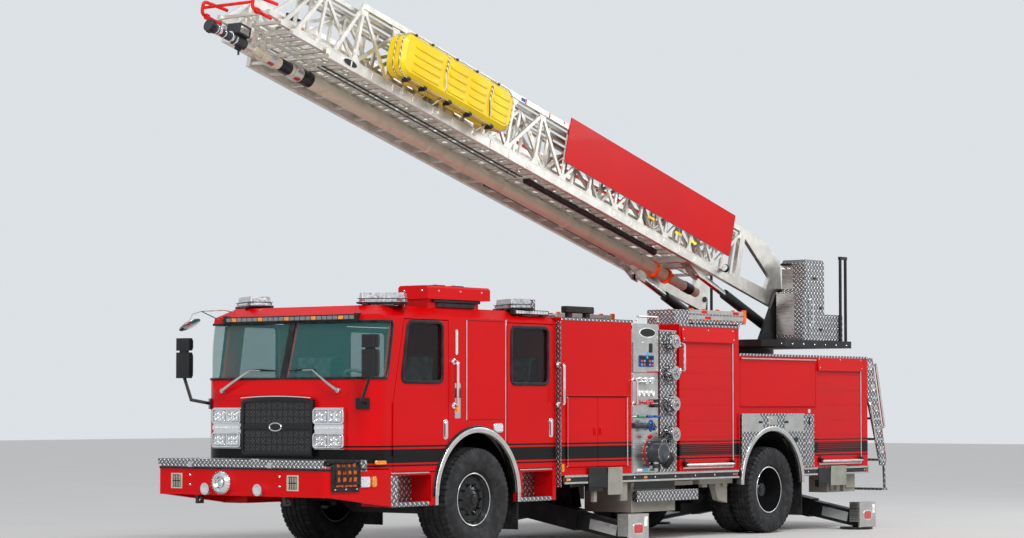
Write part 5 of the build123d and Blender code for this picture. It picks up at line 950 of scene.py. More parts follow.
# Arch trims: rolled stainless rings on the wheel arches with a black rubber bead outside and a
# turned-in lip, and stainless panels with a treadplate middle over the rear wheels.


def arch(x, z, radius, y, start=0.03):
    """A half circle over an axle: 40 points from the start angle to pi less it."""
    turn = np.linspace(start, math.pi - start, 40)
    return np.column_stack((x + radius * np.cos(turn), np.full(40, y), z + radius * np.sin(turn)))


dress(stainless, "arch_trims", "pump_panels", "underbody_boxes")
crowns = []
for x, z, radius, y in ((2.865, 0.61, 0.69, 1.224), (-2.95, 0.6, 0.68, 1.296)):
    crown, band = arch(x, z, radius + 0.025, y - 0.001), arch(x, z, radius - 0.004, y - 0.062)
    crowns.append(carried(rounded(0.0095, 0.029, 0.009, 4), crown, (0, 1.0, 0)))
    crowns.append(carried(rounded(0.04, 0.002, 0.001, 2), band, (0, 1.0, 0)))
twins("arch_crowns", crowns, "stainless", polished_strip)
bead = carried(circle(0.011, 8), arch(2.865, 0.61, 0.752, 1.203, 0.02), (0, 1.0, 0))
twins("arch_beads", [bead], "trim_plastic", window_rubber)


# Roof: light bars set in a V, clear moulded domes over reflectors on black trays; the condenser
# box with its black duct and two fan guards; a slim black lamp on the eave and one on the module.


def swung(part, centre, degrees):
    """The part turned about an upright line through a centre: (x, y) times the plane rotation."""
    points, faces = part
    turn = math.radians(degrees)
    spin = np.array([(math.cos(turn), math.sin(turn), 0), (-math.sin(turn), math.cos(turn), 0), (0, 0, 1)])
    return (points - centre) @ spin + centre, faces


dress(lamp_glass("bar_dome", (0.42, 0.44, 0.47), 26.0), "light_bars")
bar_trays, bar_cells, bar_ends = [], [], []
for x, turn in ((4.125, -60), (1.885, 60)):
    middle = np.array((x, 0.93, 2.7))
    rows = ((-0.262, 0.262, 0.142, -0.04, -0.02, 0.01), (-0.254, 0.254, 0.138, 0.014, 0.019, 0.002),
            (-0.2, -0.14, 0.16, -0.055, -0.036, 0.006), (0.14, 0.2, 0.16, -0.055, -0.036, 0.006))
    tray = [block(middle + (u, -v, low), middle + (u_end, v, high), edge)
            for u, u_end, v, low, high, edge in rows]
    bar_trays.append(swung(joined(*tray), middle, turn))
    for step in range(7):
        u = -0.195 + 0.065 * step
        cell = block(middle + (u - 0.026, -0.1365, -0.012), middle + (u + 0.026, 0.1365, 0.009), 0.004)
        (bar_ends if step in (0, 6) else bar_cells).append(swung(cell, middle, turn))
tray_black = moulded_rubber("tray_black", (0.012, 0.012, 0.013), 0.42)
twins("light_bar_trays", bar_trays, "trim_plastic", tray_black)
twins("light_bar_reflectors", bar_cells, "chrome", chrome)
twins("light_bar_red_cells", bar_ends, "lamp_plastic", red_lens)
box_low, box_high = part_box("roof_condenser")
duct = [block((2.68, 0.67, 2.646), (3.33, 1.02, 2.7), 0.006),
        block((2.6, 0.655, 2.7), (3.4, 1.035, 2.7345), 0.006)]
fan = [(0, 0), (0, 0.118), (0.012, 0.12), (0.018, 0.11), (0.018, 0.03), (0.026, 0.022), (0.026, 0)]
duct += [turned(fan, (x, (box_low.y + box_high.y) / 2, box_high.z - 0.004), (0, 0, 1), 28)
         for x in (2.84, 3.16)]
piece("condenser_duct", duct, "trim_plastic", tray_black)
dome = [(0, 0), (0, 0.011), (0.004, 0.008), (0.005, 0)]
side_screws = repeated(turned(dome, (0, 0, 0), (0, 1, 0), 10),
                       [(x, box_high.y, 2.825) for x in (2.6, 2.97, 3.34)])
front_screws = repeated(turned(dome, (box_high.x, 0, 2.825), (1, 0, 0), 10), [(0, 0.72, 0), (0, 0.97, 0)])
piece("condenser_screws", [side_screws, front_screws], "chrome", chrome)
cases = [block((x - 0.02, 1.09, 2.58), (x + 0.02, 1.12, 2.64), 0.004) for x in (1.6, 2.05)]
cases += [block((x, 0.87, 2.58), (x + 0.08, 0.93, 2.66), 0.006) for x in (0.42, 0.76)]
cases += [block((1.5, 1.085, 2.6), (2.15, 1.15, 2.655), 0.008),
          block((0.36, 0.86, 2.655), (0.9, 0.95, 2.735), 0.01)]
twins("eave_lamp_cases", cases, "trim_plastic", tray_black)
cell = block((1.53, 1.15, 2.612), (1.57, 1.156, 2.645), 0.004)
cells = repeated(cell, [(0.0495 * step, 0, 0) for step in range(12)])
twins("eave_lamp_fronts", [cells], "lamp_plastic", clear_lens)


# Roof gear behind the cab: two nested ground ladders of pale channel with orange end feet and
# clamps, a treadplate box and the handrail in front of it.

rail_metal = satin_metal("ladder_rail", (0.62, 0.6, 0.56), 0.36, (3, 60, 60))
orange_foot = moulded_rubber("orange_foot", (0.85, 0.1, 0.006), 0.45)
label_red = moulded_rubber("label_red", (0.55, 0.006, 0.004), 0.45)
rails = [rod((x, 0.845, z), (x, 1.165, z), 0.014, 8) for x in np.linspace(-2.38, -1.34, 5)
         for z in (2.66, 2.727)]
clamps, labels = [], []
for y in (0.845, 1.165):
    rails += [block((-2.47, y - 0.012, z), (-1.275, y + 0.012, z + 0.052), 0.004) for z in (2.632, 2.7)]
    clamps += [block((x - 0.022, y - 0.02, z), (x + 0.022, y + 0.02, z + 0.016), 0.004)
               for x in (-1.33, -1.6, -1.9, -2.24) for z in (2.618, 2.75)]
    clamps.append(block((-2.52, y - 0.022, 2.612), (-2.462, y + 0.022, 2.772), 0.008))
    for x, low in ((-1.66, 2.708), (-1.74, 2.64), (-2.36, 2.708)):
        labels += strips((x, x + 0.13, low, low + 0.034, y + 0.012, 0.001, 0.001))
twins("ground_ladder_rails", rails, "ladder_alloy", rail_metal)
twins("ground_ladder_clamps", clamps, "trim_plastic", orange_foot)
twins("ground_ladder_bands", labels, "trim_plastic", label_red)
hand_rail = grab_bar((-0.16, 1.19, 2.583), (-0.58, 1.19, 2.583), (0, 0, 0.055), 0.013)
twins("roof_handrails", [hand_rail], "chrome", stainless)


# Module behind the cab: locker leaves framed by bright piano hinges under a drip rail, a treadplate
# strip on the front edge with a grab rail, an edge of treadplate round the roof, and a marker lamp.

hinges = strips(*[(x, x + 0.026, 0.893, 1.688, 1.2605, 0.009, 0.003) for x in (0.13, 1.304)])
drips = strips((0.105, 1.36, 1.694, 1.712, 1.2605, 0.018, 0.005),
               (0.15, 1.3, 0.872, 0.884, 1.2605, 0.006, 0.002))
edges = [block((1.4255, 1.185, 1.4), (1.4315, 1.2615, 2.545), 0.001),
         block((1.4255, 1.165, 0.672), (1.4335, 1.2635, 1.4), 0.001),
         block((0.03, 1.16, 2.5805), (1.4255, 1.266, 2.586), 0.001),
         block((0.03, 1.2605, 2.555), (1.4255, 1.266, 2.586), 0.001)]
twins("leaf_hinges", hinges, "chrome", stainless)
twins("leaf_drip_rails", drips, "red_paint", red_enamel)
twins("module_tread_edges", edges, "treadplate", tread_sheet)
marks = strips((1.38, 1.416, 0.842, 0.932, 1.2605, 0.012, 0.005))
twins("module_markers", marks, "lamp_plastic", amber_lens)
grip = grab_bar((1.434, 1.232, 2.05), (1.434, 1.232, 1.6), (0.0, 0.078, 0), 0.017)
twins("module_grab_rails", [grip], "chrome", chrome)
for hand, side in (("left", 1), ("right", -1)):
    for leaf, x in (("locker_leaf_front_", 0.778), ("locker_leaf_rear_", 0.672)):
        latch = [side_plate(rounded(0.03, 0.055, 0.02), (x, 1.2605, 1.3), 0.006, 0.003, side),
                 side_plate(rounded(0.014, 0.04, 0.012, 3), (x, 1.2665, 1.3), 0.01, 0.005, side)]
        piece(f"{leaf}latch_{hand}", latch, "red_paint", red_enamel, body=leaf + hand)


# Pump panel: brushed stainless sheets, an upper one with a blank oval plate, lamps, a gauge and the
# blue-framed control pad; below, rows of gauges and pull handles, and the treadplate column.

badge_black = gloss_black("badge_black", rough=0.2)
# The red and blue panel parts glow faintly, a painted light: the gauge needles, stems and tags among them
# are no lamps.
painted_glow_red = lamp_glass("painted_glow_red", (0.7, 0.015, 0.01), 50.0, 0.15)
painted_glow_blue = lamp_glass("painted_glow_blue", (0.05, 0.35, 0.75), 50.0, 0.15)
dial_white = moulded_rubber("dial_white", (0.72, 0.72, 0.7), 0.35)
handle_blue = moulded_rubber("handle_blue", (0.006, 0.055, 0.26), 0.35)
handle_green = moulded_rubber("handle_green", (0.01, 0.25, 0.09), 0.35)
y, out = 1.2255, (0, 1, 0)
sheets = plates((0.268, 0.279, 0.02, -0.277, y, 2.272, 0.006, 0.003),
                (0.268, 0.585, 0.012, -0.277, y, 1.388, 0.003, 0.0015))
lines = strips((-0.545, -0.008, 1.976, 1.99, y, 0.004, 0.001),
               (-0.553, -0.545, 0.81, 2.48, y, 0.0145, 0.001))
column = strips((-0.895, -0.553, 0.81, 2.475, 1.2395, 0.003, 0.001))
oval = circle(1.0, 28)
dials = plates((0.022, 0.055, 0.006, -0.214, y + 0.006, 2.284, 0.003, 0.001))
dials.append(side_plate(oval * (0.166, 0.058), (-0.308, y + 0.006, 2.447), 0.004, 0.002))
dark = plates((0.026, 0.055, 0.008, -0.376, y + 0.006, 2.268, 0.01, 0.003),
              (0.132, 0.056, 0.008, -0.268, 1.2535, 2.112, 0.004, 0.002))
dark.append(side_plate(oval * (0.154, 0.048), (-0.308, y + 0.0101, 2.447), 0.002, 0.001))
dark += [block((-0.475, y, z - 0.02), (-0.385, y + 0.05, z + 0.02), 0.008) for z in (1.588, 1.643)]
needles = plates((0.005, 0.04, 0.003, -0.216, y + 0.0091, 2.28, 0.001, 0.0005))
blues = plates((0.04, 0.018, 0.006, -0.29, y + 0.006, 2.205, 0.004, 0.001))
blue_bars, greens = plates((0.148, 0.068, 0.012, -0.268, 1.2435, 2.112, 0.01, 0.004)), []
for row in range(3):
    for step in range(5):
        spot = (-0.378 + 0.055 * step, 1.2576, 2.07 + 0.042 * row)
        key = side_plate(rounded(0.018, 0.013, 0.004, 2), spot, 0.004, 0.002)
        (blues if (row + step) % 3 == 1 else needles if (row * 2 + step) % 3 == 0 else dark).append(key)
knobs = [grab_bar((0.028, 1.262, 1.885), (0.028, 1.262, 1.605), (0, 0.06, 0), 0.014)]
disc = [(0, 0), (0, 0.038), (0.01, 0.038), (0.014, 0.034), (0.012, 0.03), (0.012, 0)]
for x in (-0.129, -0.225, -0.321, -0.417):
    knobs.append(turned(disc, (x, y + 0.003, 1.737), out, 20))
    dials.append(turned([(0, 0), (0, 0.029), (0.002, 0)], (x, y + 0.0152, 1.737), out, 20))
    needles += strips((x - 0.002, x + 0.002, 1.737, 1.76, y + 0.0172, 0.001, 0.001))
stem = [(0, 0), (0, 0.016), (0.05, 0.014), (0.052, 0.028), (0.066, 0.028), (0.07, 0.022), (0.07, 0)]
for x in (-0.225, -0.321):
    needles.append(turned(stem, (x, y, 1.628), out, 16))
    knobs.append(turned(stem, (x, y, 1.865), out, 16))
for x, bars in ((-0.06, greens), (-0.24, blue_bars), (-0.4, blue_bars)):
    knobs.append(rod((x, y, 1.462), (x, y + 0.085, 1.462), 0.012, 10))
    bars.append(rod((x - 0.062, y + 0.085, 1.462), (x + 0.062, y + 0.085, 1.462), 0.016, 12))
for x, tags in ((-0.15, dials), (-0.28, blues), (-0.41, greens)):
    tags += plates((0.045, 0.014, 0.004, x, y + 0.003, 0.835, 0.002, 0.001))
    knobs.append(turned([(0, 0), (0, 0.022), (0.03, 0.02), (0.034, 0)], (x, y, 1.9), out, 14))
twins("panel_sheets", sheets, "stainless", stainless)
twins("column_sheet", column, "treadplate", tread_sheet)
twins("panel_dark_parts", dark, "trim_plastic", badge_black)
twins("panel_dials", dials, "trim_plastic", dial_white)
twins("panel_red_keys", needles, "lamp_plastic", painted_glow_red)
twins("panel_red_lines", lines, "red_paint", red_enamel)
twins("panel_blue_keys", blues, "lamp_plastic", painted_glow_blue)
twins("panel_blue_handles", blue_bars, "trim_plastic", handle_blue)
twins("panel_green_handles", greens, "trim_plastic", handle_green)
twins("panel_metal_parts", knobs, "chrome", chrome)


# Outlets and intake: four chromed caps with long lugs and bleeder valves on the column, and the
# grey-painted cast intake valve with a bolted flange, capped elbow, gearbox and drain.

caps, valve, dark_caps, bolts, reds = [], [], [], [], []
profiles = [[(0, 0), (0, 0.104), (0.014, 0.104), (0.018, 0.092), (0.03, 0.09), (0.034, 0.1), (0.06, 0.1),
             (0.064, 0.088),
             (0.084, 0.086), (0.092, 0.078), (0.1, 0.05), (0.104, 0.048), (0.106, 0.022), (0.106, 0)],
            [(0, 0), (0, 0.153), (0.022, 0.153), (0.0275, 0.148), (0.0275, 0.122), (0.04, 0.116),
             (0.055, 0.1145),
             (0.075, 0.118), (0.08, 0.1145), (0.18, 0.1145), (0.19, 0.108), (0.1925, 0.09), (0.1925, 0)]]
for side, hand in ((1, "left"), (-1, "right")):
    out, flank = (0, side, 0), np.array((1, side, 1))
    for z in (2.35, 1.975, 1.61, 1.25):
        foot = flank * (-0.755, 1.239, z)
        caps.append(turned(profiles[0], foot, out, 32))
        for turn in np.arange(6) / 6 * 2 * math.pi + 0.3:
            spot = foot + (0.098 * math.cos(turn), side * 0.046, 0.098 * math.sin(turn))
            caps.append(block(spot - 0.014, spot + 0.014, 0.004))
        caps.append(rod(foot + flank * (0.02, 0.02, -0.13), foot + flank * (0.02, 0.06, -0.13), 0.014, 10))
        caps.append(rod(foot + flank * (-0.02, 0.055, -0.13), foot + flank * (0.06, 0.055, -0.13), 0.008, 8))
    middle = flank * (-0.385, 1.225, 1.035)
    nut = turned([(0.0265, 0), (0.0265, 0.01), (0.038, 0.009), (0.04, 0)], middle, out, 6)
    bolts.append(repeated(nut, [(u, 0, v) for u, v in circle(0.137, 12)]))
    elbow, mouth = middle + (0, side * 0.078, 0), middle + (-0.12, side * 0.208, -0.11)
    length = np.linalg.norm(mouth - elbow)
    aim = (mouth - elbow) / length
    neck = [(0.05, 0), (0.05, 0.0885), (length - 0.075, 0.0885), (length - 0.072, 0), (0.05, 0)]
    cap = [(-0.072, 0), (-0.072, 0.098), (-0.058, 0.101), (-0.01, 0.099), (0.001, 0.092), (0.003, 0.06),
           (0.009, 0.056),
           (0.01, 0.02), (0.01, 0)]
    dark_caps.append(turned([(length + s, r) for s, r in cap], elbow, aim, 32))
    first = np.cross(aim, (0, 0, 1.0))
    for turn in (0.4, 2.5, 4.6):
        across = first * math.cos(turn) + np.cross(aim, first) * math.sin(turn)
        spot = elbow + aim * (length - 0.036)
        dark_caps.append(rod(spot + across * 0.09, spot + across * 0.122, 0.013, 8))
    gear = middle + (-0.095, 0, 0.105)
    hub, wheel = gear + (-0.03, side * 0.085, 0.04), gear + (-0.118, side * 0.085, 0.072)
    valve += [turned(profiles[1], middle, out, 40), turned(neck, elbow, aim, 32), rod(hub, wheel, 0.02, 12),
              turned([(0, 0), (0, 0.066), (0.12, 0.062), (0.131, 0.052), (0.1315, 0)], gear, out, 24),
              turned([(0, 0), (0, 0.0475), (0.05, 0.047), (0.055, 0)], elbow - (0, 0, 0.18), (0, 0, 1), 20),
              pipe([flank * place for place in ((0, 1.25, 1.355), (-0.15, 1.29, 1.36),
                                                (-0.33, 1.29, 1.345))], 0.034, 0.05)]
    rim = wheel + [(0, v, w) for v, w in circle(0.055, 20)]
    dark_caps += [carried(circle(0.009, 8), rim, (1.0, 0, 0), ring=True),
                  rod(wheel + (0, -0.054, 0), wheel + (0, 0.054, 0), 0.006, 8),
                  rod(middle + flank * (0.02, 0.078, -0.16), middle + flank * (0.1, 0.1, -0.175), 0.009, 8),
                  rod((-0.1, side * 1.226, 1.36), (-0.1, side * 1.3, 1.36), 0.03, 14)]
    pipe_cap = [(0, 0), (0, 0.046), (0.03, 0.046), (0.034, 0.04), (0.034, 0)]
    caps.append(turned(pipe_cap, (-0.33, side * 1.29, 1.345), (-1, 0, -0.1), 20))
    reds.append(turned([(0, 0.1535), (0.008, 0.1555), (0.016, 0.1535), (0, 0.1535)], middle, out, 40))
    reds.append(rod((-0.245, side * 1.3, 1.235), (-0.245, side * 1.318, 1.215), 0.03, 12))
    yoke = [(-0.24 + u * 0.6, side * 1.325, 1.355 + w) for u, w in circle(0.062, 20)]
    loop = carried(circle(0.012, 8), yoke, (0, 1.0, 0), ring=True)
    piece("intake_yoke_" + hand, loop, "trim_plastic", handle_blue)
cast_chrome = Finish("cast_chrome", (0.85, 0.85, 0.86), 0.12, 1.0)
dimples = cast_chrome.node("ShaderNodeTexVoronoi", Vector=cast_chrome.place, Scale=46.0).outputs["Distance"]
cast_chrome.colour(cast_chrome.mixed(cast_chrome.spread(dimples, 0.15, 0.6), (0.88, 0.88, 0.9),
                                     (0.1, 0.1, 0.11)))
cast_chrome.bump(dimples, 1.0, 0.01)
valve_grey = chassis_black("valve_grey", (0.045, 0.05, 0.058), (0.085, 0.09, 0.1), 0.34)
piece("outlet_caps", caps, "chrome", cast_chrome.material)
piece("intake_valve", valve, "cast_iron", valve_grey)
piece("intake_cap", dark_caps, "trim_plastic", dark_plastic)
piece("intake_bolts", bolts, "chrome", chrome)
piece("intake_red_parts", reds, "red_paint", red_enamel)


# Body: roll-up shutters of interlocked slats under folded hoods, with satin guide strips, a lift bar
# low on each, a chromed handrail, and bent treadplate along the roof edges.


def slatted_enamel():
    """The belted enamel on slats: a groove every 24 mm, and in the belt the joints stay red."""
    slat = Finish("slatted_enamel", (0.63, 0.0006, 0.0022), 0.32, Coat_Weight=0.1, Coat_Roughness=0.05,
                  Specular_IOR_Level=0.14)
    do = slat.math
    height = slat.node("ShaderNodeSeparateXYZ", Vector=slat.place).outputs[2]
    share = do("FRACT", do("DIVIDE", height, 0.024))
    joint = slat.spread(do("ABSOLUTE", do("SUBTRACT", share, 0.5)), 0.14, 0.06)
    red = slat.mixed(slat.cloud(1.3, 3.0), (0.56, 0.0005, 0.002), (0.65, 0.0007, 0.0025))
    colour = slat.mixed(joint, red, (0.5, 0.0004, 0.0018))
    for low, high in ((0.986, 1.13), (1.15, 1.17), (0.949, 0.968)):
        inside = do("MULTIPLY", do("GREATER_THAN", height, low),
                           do("LESS_THAN", height, high))
        open_black = do("MULTIPLY", inside, do("SUBTRACT", 1.0, joint))
        colour = slat.mixed(open_black, colour, (0.006, 0.006, 0.006))
    slat.colour(colour)
    slat.bump(do("SUBTRACT", 1.0, joint), 0.35, 0.002)
    return slat.material


dress(slatted_enamel(), "roll_shutters")
hood_dome = [(0, 0), (0, 0.008), (0.003, 0.006), (0.0045, 0)]
guides, hood_lips, hood_screws, sleeves, lift_ends, roof_edges = [], [], [], [], [], []
for rear, front, low, top in ((-2.117, -0.97, 2.363, 2.533), (-5.175, -4.062, 2.05, 2.22)):
    guides += strips((rear + 0.004, rear + 0.024, 0.845, low - 0.004, 1.2484, 0.008, 0.002))
    hood_lips += strips((rear - 0.008, front + 0.008, low - 0.012, low + 0.006, 1.262, 0.026, 0.004))
    middle, ends = (rear + front) / 2, (rear + 0.035, front - 0.035)
    spots = [(x, 1.2688, top - 0.032) for x in (*ends, middle)] + [(x, 1.2828, low + 0.028) for x in ends]
    hood_screws += [turned(hood_dome, spot, (0, 1, 0.12), 10) for spot in spots]
    sleeves.append(rod((rear + 0.055, 1.29, 0.88), (front - 0.055, 1.29, 0.88), 0.0185, 14))
    sleeves += strips((rear + 0.03, front - 0.03, 0.832, 0.852, 1.2484, 0.022, 0.003))
    for x in (rear + 0.06, front - 0.06):
        lift_ends.append(block((x - 0.03, 1.2485, 0.862), (x + 0.03, 1.306, 0.925), 0.008))
        lift_ends.append(rod((x, 1.262, 0.925), (x, 1.268, 0.965), 0.008, 8))
for rear, front, top in ((-2.228, -0.931, 2.563), (-5.3145, -2.229, 2.23)):
    roof_edges.append(block((rear, 1.262, top - 0.024), (front, 1.268, top + 0.004), 0.001))
    roof_edges.append(block((rear, 1.13, top + 0.0008), (front, 1.268, top + 0.005), 0.001))
twins("shutter_guides", guides, "chrome", polished_strip)
twins("hood_lips", hood_lips, "red_paint", red_enamel)
twins("hood_screws", hood_screws, "chrome", chrome)
twins("lift_bar_sleeves", sleeves, "stainless", polished_strip)
twins("lift_bar_ends", lift_ends, "trim_plastic", dark_plastic)
twins("body_roof_edges", roof_edges, "treadplate", tread_sheet)
grip = grab_bar((-0.948, 1.262, 2.325), (-0.948, 1.262, 2.005), (0, 0.064, 0), 0.015)
twins("body_grab_rails", [grip], "chrome", chrome)
for hand, side in (("left", 1), ("right", -1)):
    rail = strips((-4.006, -2.259, 2.166, 2.18, 1.2785, 0.006, 0.002), side=side)
    seam = strips((-4.006, -2.259, 1.582, 1.592, 1.2785, 0.004, 0.0015), side=side)
    piece("lift_door_rail_" + hand, rail, "chrome", stainless, body="lift_door_" + hand)
    piece("lift_door_hem_" + hand, seam, "red_paint", red_enamel, body="lift_door_" + hand)


# Rear wheel surround: treadplate cut round the arch, brushed stainless corner plates, the filler
# plate, a narrow treadplate door behind it, and hanging rubber flaps behind the wheels.

turn = np.linspace(0.075, math.pi - 0.075, 61)
ray = np.column_stack((np.cos(turn), np.sin(turn)))
rise = np.minimum(0.893 / np.maximum(ray[:, 1], 1e-6), 0.722 / np.maximum(np.abs(ray[:, 0]), 1e-6))
inner, outer = (-2.95, 0.6) + 0.7 * ray, (-2.95, 0.6) + rise[:, None] * ray
for share in (math.atan2(0.893, 0.722), math.pi - math.atan2(0.893, 0.722)):
    outer[np.abs(turn - share).argmin()] = (-2.95 + math.copysign(0.722, math.cos(share)), 1.493)
loop = [(inner, 1.2965), (outer, 1.2965), (outer, 1.2985), (inner, 1.2985)]
grid = np.stack([np.column_stack((line[:, 0], np.full(61, y), line[:, 1])) for line, y in loop], axis=1)
ends = [np.tile(part.mean(axis=0), (1, 4, 1)) for part in (grid[0], grid[-1])]
twins("rear_arch_tread", [skin(np.concatenate((ends[0], grid, ends[1])))], "treadplate", tread_sheet)
corners = [side_plate(outline, (0, 1.2987, 0), 0.002, 0.001) for outline in (
    [(-2.234, 1.49), (-2.625, 1.49), (-2.716, 1.426), (-2.716, 1.269), (-2.234, 1.265)],
    [(-3.209, 1.44), (-3.275, 1.49), (-3.667, 1.49), (-3.667, 1.265), (-3.209, 1.265)])]
corners += plates((0.098, 0.054, 0.018, -2.923, 1.2987, 1.405, 0.014, 0.005),
                  (0.04, 0.034, 0.01, -2.923, 1.3128, 1.405, 0.008, 0.004))
# Dark plates in the slots and the oval: painted shade for the openings.
slots = plates((0.042, 0.015, 0.006, -2.655, 1.3008, 1.385, 0.003, 0.001),
               (0.042, 0.015, 0.006, -3.255, 1.3008, 1.385, 0.003, 0.001),
               (0.014, 0.052, 0.008, -3.85, 1.2677, 1.395, 0.006, 0.002))
slots.append(side_plate(circle(1.0, 24) * (0.056, 0.034), (-3.48, 1.2987, 1.163), 0.003, 0.001))
narrow_door = strips((-3.968, -3.731, 0.815, 1.482, 1.2605, 0.007, 0.002))
flaps = [block((-3.734, 0.64, 0.2), (-3.722, 1.225, 0.798), 0.004),
         block((2.116, 0.78, 0.22), (2.128, 1.185, 0.6), 0.004)]
twins("rear_arch_corners", corners, "stainless", stainless)
twins("rear_arch_slots", slots, "trim_plastic", badge_black)
twins("narrow_tread_doors", narrow_door, "treadplate", tread_sheet)
latch = plates((0.018, 0.018, 0.006, -3.85, 1.2677, 1.13, 0.006, 0.003))
twins("narrow_door_latches", latch, "chrome", chrome)
door_lamp = plates((0.022, 0.026, 0.012, -3.85, 1.2605, 1.52, 0.014, 0.006))
twins("narrow_door_lamps", door_lamp, "lamp_plastic", clear_lens)
twins("mud_flaps", flaps, "tyre", tyre_rubber)


# Rub rails: anodised channel along the body's foot with a black rubber insert, held by bright
# screws, and small red and amber lamps set in it.

dress(polished_strip, "rub_rails")
inserts, lips, screws = [], [], []
screw = turned([(0, 0), (0, 0.011), (0.003, 0.008), (0.004, 0)], (0, 0, 0), (0, 1, 0), 10)
for rear, front in ((-5.305, -3.715), (-2.185, 1.375)):
    inserts += strips((rear, front, 0.7262, 0.7788, 1.2685, 0.006, 0.002))
    lips += strips((rear - 0.008, front + 0.008, 0.7995, 0.806, 1.2605, 0.018, 0.002))
    spots = np.linspace(rear + 0.1, front - 0.1, int((front - rear) / 0.36))
    screws.append(repeated(screw, [(x, 1.2746, 0.7525) for x in spots]))
twins("rub_rail_inserts", inserts, "trim_plastic", dark_plastic)
twins("rub_rail_lips", lips, "treadplate", tread_sheet)
twins("rub_rail_screws", screws, "chrome", chrome)
for colour, lens, spots in (("red", red_lens, (-2.13, -5.25)), ("amber", amber_lens, (1.32, -0.2))):
    lamps = strips(*[(x - 0.03, x + 0.03, 0.738, 0.768, 1.2746, 0.008, 0.003) for x in spots])
    twins(f"rub_rail_{colour}_lamps", lamps, "lamp_plastic", lens)


# Outrigger guards: folded stainless plates hung outside the rub rail over each outrigger's box,
# with black plates beside them, painted shade in the mouth of the box.

guards, mouths = [], []
for rear, front, top in ((0.287, 0.571, 0.88), (-4.71, -4.33, 0.815)):
    guards.append(block((rear, 1.2815, 0.565), (front, 1.2965, top), 0.003))
    guards.append(block((front - 0.004, 1.262, top - 0.075), (front, 1.2965, top), 0.001))
# Black plates at each box's mouth: painted shade over the grey-beige plate there.
for rear, front, low, top in ((0.574, 0.935, 0.66, 0.885), (-4.327, -4.04, 0.6, 0.8)):
    mouths.append(block((rear, 1.2815, low), (front, 1.287, top), 0.002))
    mouths.append(block((rear + 0.05, 1.2, low - 0.05), (front - 0.03, 1.27, low + 0.04), 0.008))
guard_sheet = satin_metal("guard_sheet", (0.5, 0.48, 0.41), 0.38)
twins("outrigger_guards", guards, "stainless", guard_sheet)
twins("outrigger_mouths", mouths, "black_paint", chassis_black("mouth_painted_shade"))


# Rear stairs: chromed sleeves on the two handrails, red edges down the stringers, pale grip rails,
# bright step ends and pressed rounds on the stringer's side, and an amber marker.

grip = [(-5.385, 1.25, 1.62), (-5.385, 1.268, 1.6), (-5.52, 1.268, 1.13), (-5.52, 1.25, 1.11)]
stair_rails, stair_red, stair_ends, stair_rounds = [pipe(grip, 0.012, 0.02)], [], [], []
for y in (0.7, 1.235):
    stair_rails.append(rod((-5.7915, y, 1.3124), (-5.5779, y, 2.1424), 0.0187, 14))
    low, high = np.array((-5.8165, y, 0.868)), np.array((-5.4675, y, 2.212))
    lean = (high - low) / np.linalg.norm(high - low)
    off = np.array((-lean[2], 0, lean[0])) * 0.0045
    stair_red.append(carried(rounded(0.0145, 0.004, 0.003, 2), [low + off, high + off], (0, 1.0, 0)))
pressing = [(0, 0), (0, 0.046), (0.004, 0.044), (0.006, 0.038), (0.004, 0.03), (0.001, 0.026), (0.001, 0)]
for step in range(5):
    z, x = 0.86 + 0.274 * step, -5.8155 + 0.257 * 0.274 * step
    stair_ends.append(block((x + 0.012, 1.2475, z), (x + 0.15, 1.2515, z + 0.022), 0.001))
    stair_rounds.append(turned(pressing, (x + 0.115, 1.2475, z + 0.145), (0, 1, 0), 20))
marker = turned([(0, 0), (0, 0.022), (0.03, 0.022), (0.045, 0)], (-5.826, 1.18, 1.02), (0, 0, 1.0), 16)
piece("stair_rail_sleeves", stair_rails, "chrome", polished_strip)
piece("stair_red_edges", stair_red, "red_paint", red_enamel)
piece("stair_step_ends", stair_ends, "chrome", polished_strip)
piece("stair_rounds", stair_rounds, "stainless", stainless)
piece("rear_markers", marker, "lamp_plastic", amber_lens)


# Rear face: tail lamps in bright frames on both sides, and a red drop-down hatch with its hinge
# bar, two latches and a grab rail, over a treadplate kick strip.

tail_x = -5.3155
frames, tops = [], [mirrored(block((tail_x - 0.03, 1.14, 2.06), (tail_x, 1.24, 2.16), 0.01))]
for low, colour, lens, lamps in ((1.02, "red", red_lens, tops), (1.22, "amber", amber_lens, []),
                                 (1.42, "white", clear_lens, [])):
    for y, y_end in ((0.44, 0.62), (-1.085, -1.235)):
        lamps.append(block((tail_x - 0.018, y, low), (tail_x, y_end, low + 0.17), 0.006))
        frames.append(block((tail_x - 0.008, y - 0.008, low - 0.008), (tail_x, y_end + 0.008, low + 0.178),
                            0.003))
    piece("tail_lamps_" + colour, lamps, "lamp_plastic", lens)
piece("tail_lamp_frames", frames, "chrome", chrome)
hatch = block((tail_x - 0.005, -0.85, 1.225), (tail_x, 0.32, 2.045), 0.002)
hatch_seam = block((tail_x - 0.0012, -0.858, 1.217), (tail_x, 0.328, 2.053), 0.0005)
fittings = [block((tail_x - 0.013, y - 0.055, 1.955), (tail_x - 0.004, y + 0.055, 2.01), 0.004)
            for y in (-0.62, 0.09)]
fittings.append(rod((tail_x - 0.01, -0.8, 1.219), (tail_x - 0.01, 0.27, 1.219), 0.009, 10))
fittings.append(grab_bar((tail_x, -0.965, 1.9), (tail_x, -0.965, 1.25), (-0.06, 0, 0), 0.016))
piece("rear_hatch", hatch, "red_paint", red_enamel)
piece("rear_hatch_seam", hatch_seam, "trim_plastic", seam_black)
piece("rear_hatch_fittings", fittings, "chrome", chrome)
kick_strip = block((tail_x - 0.003, -1.25, 0.803), (tail_x, 0.66, 0.94), 0.001)
piece("rear_kick_strip", kick_strip, "treadplate", tread_sheet)
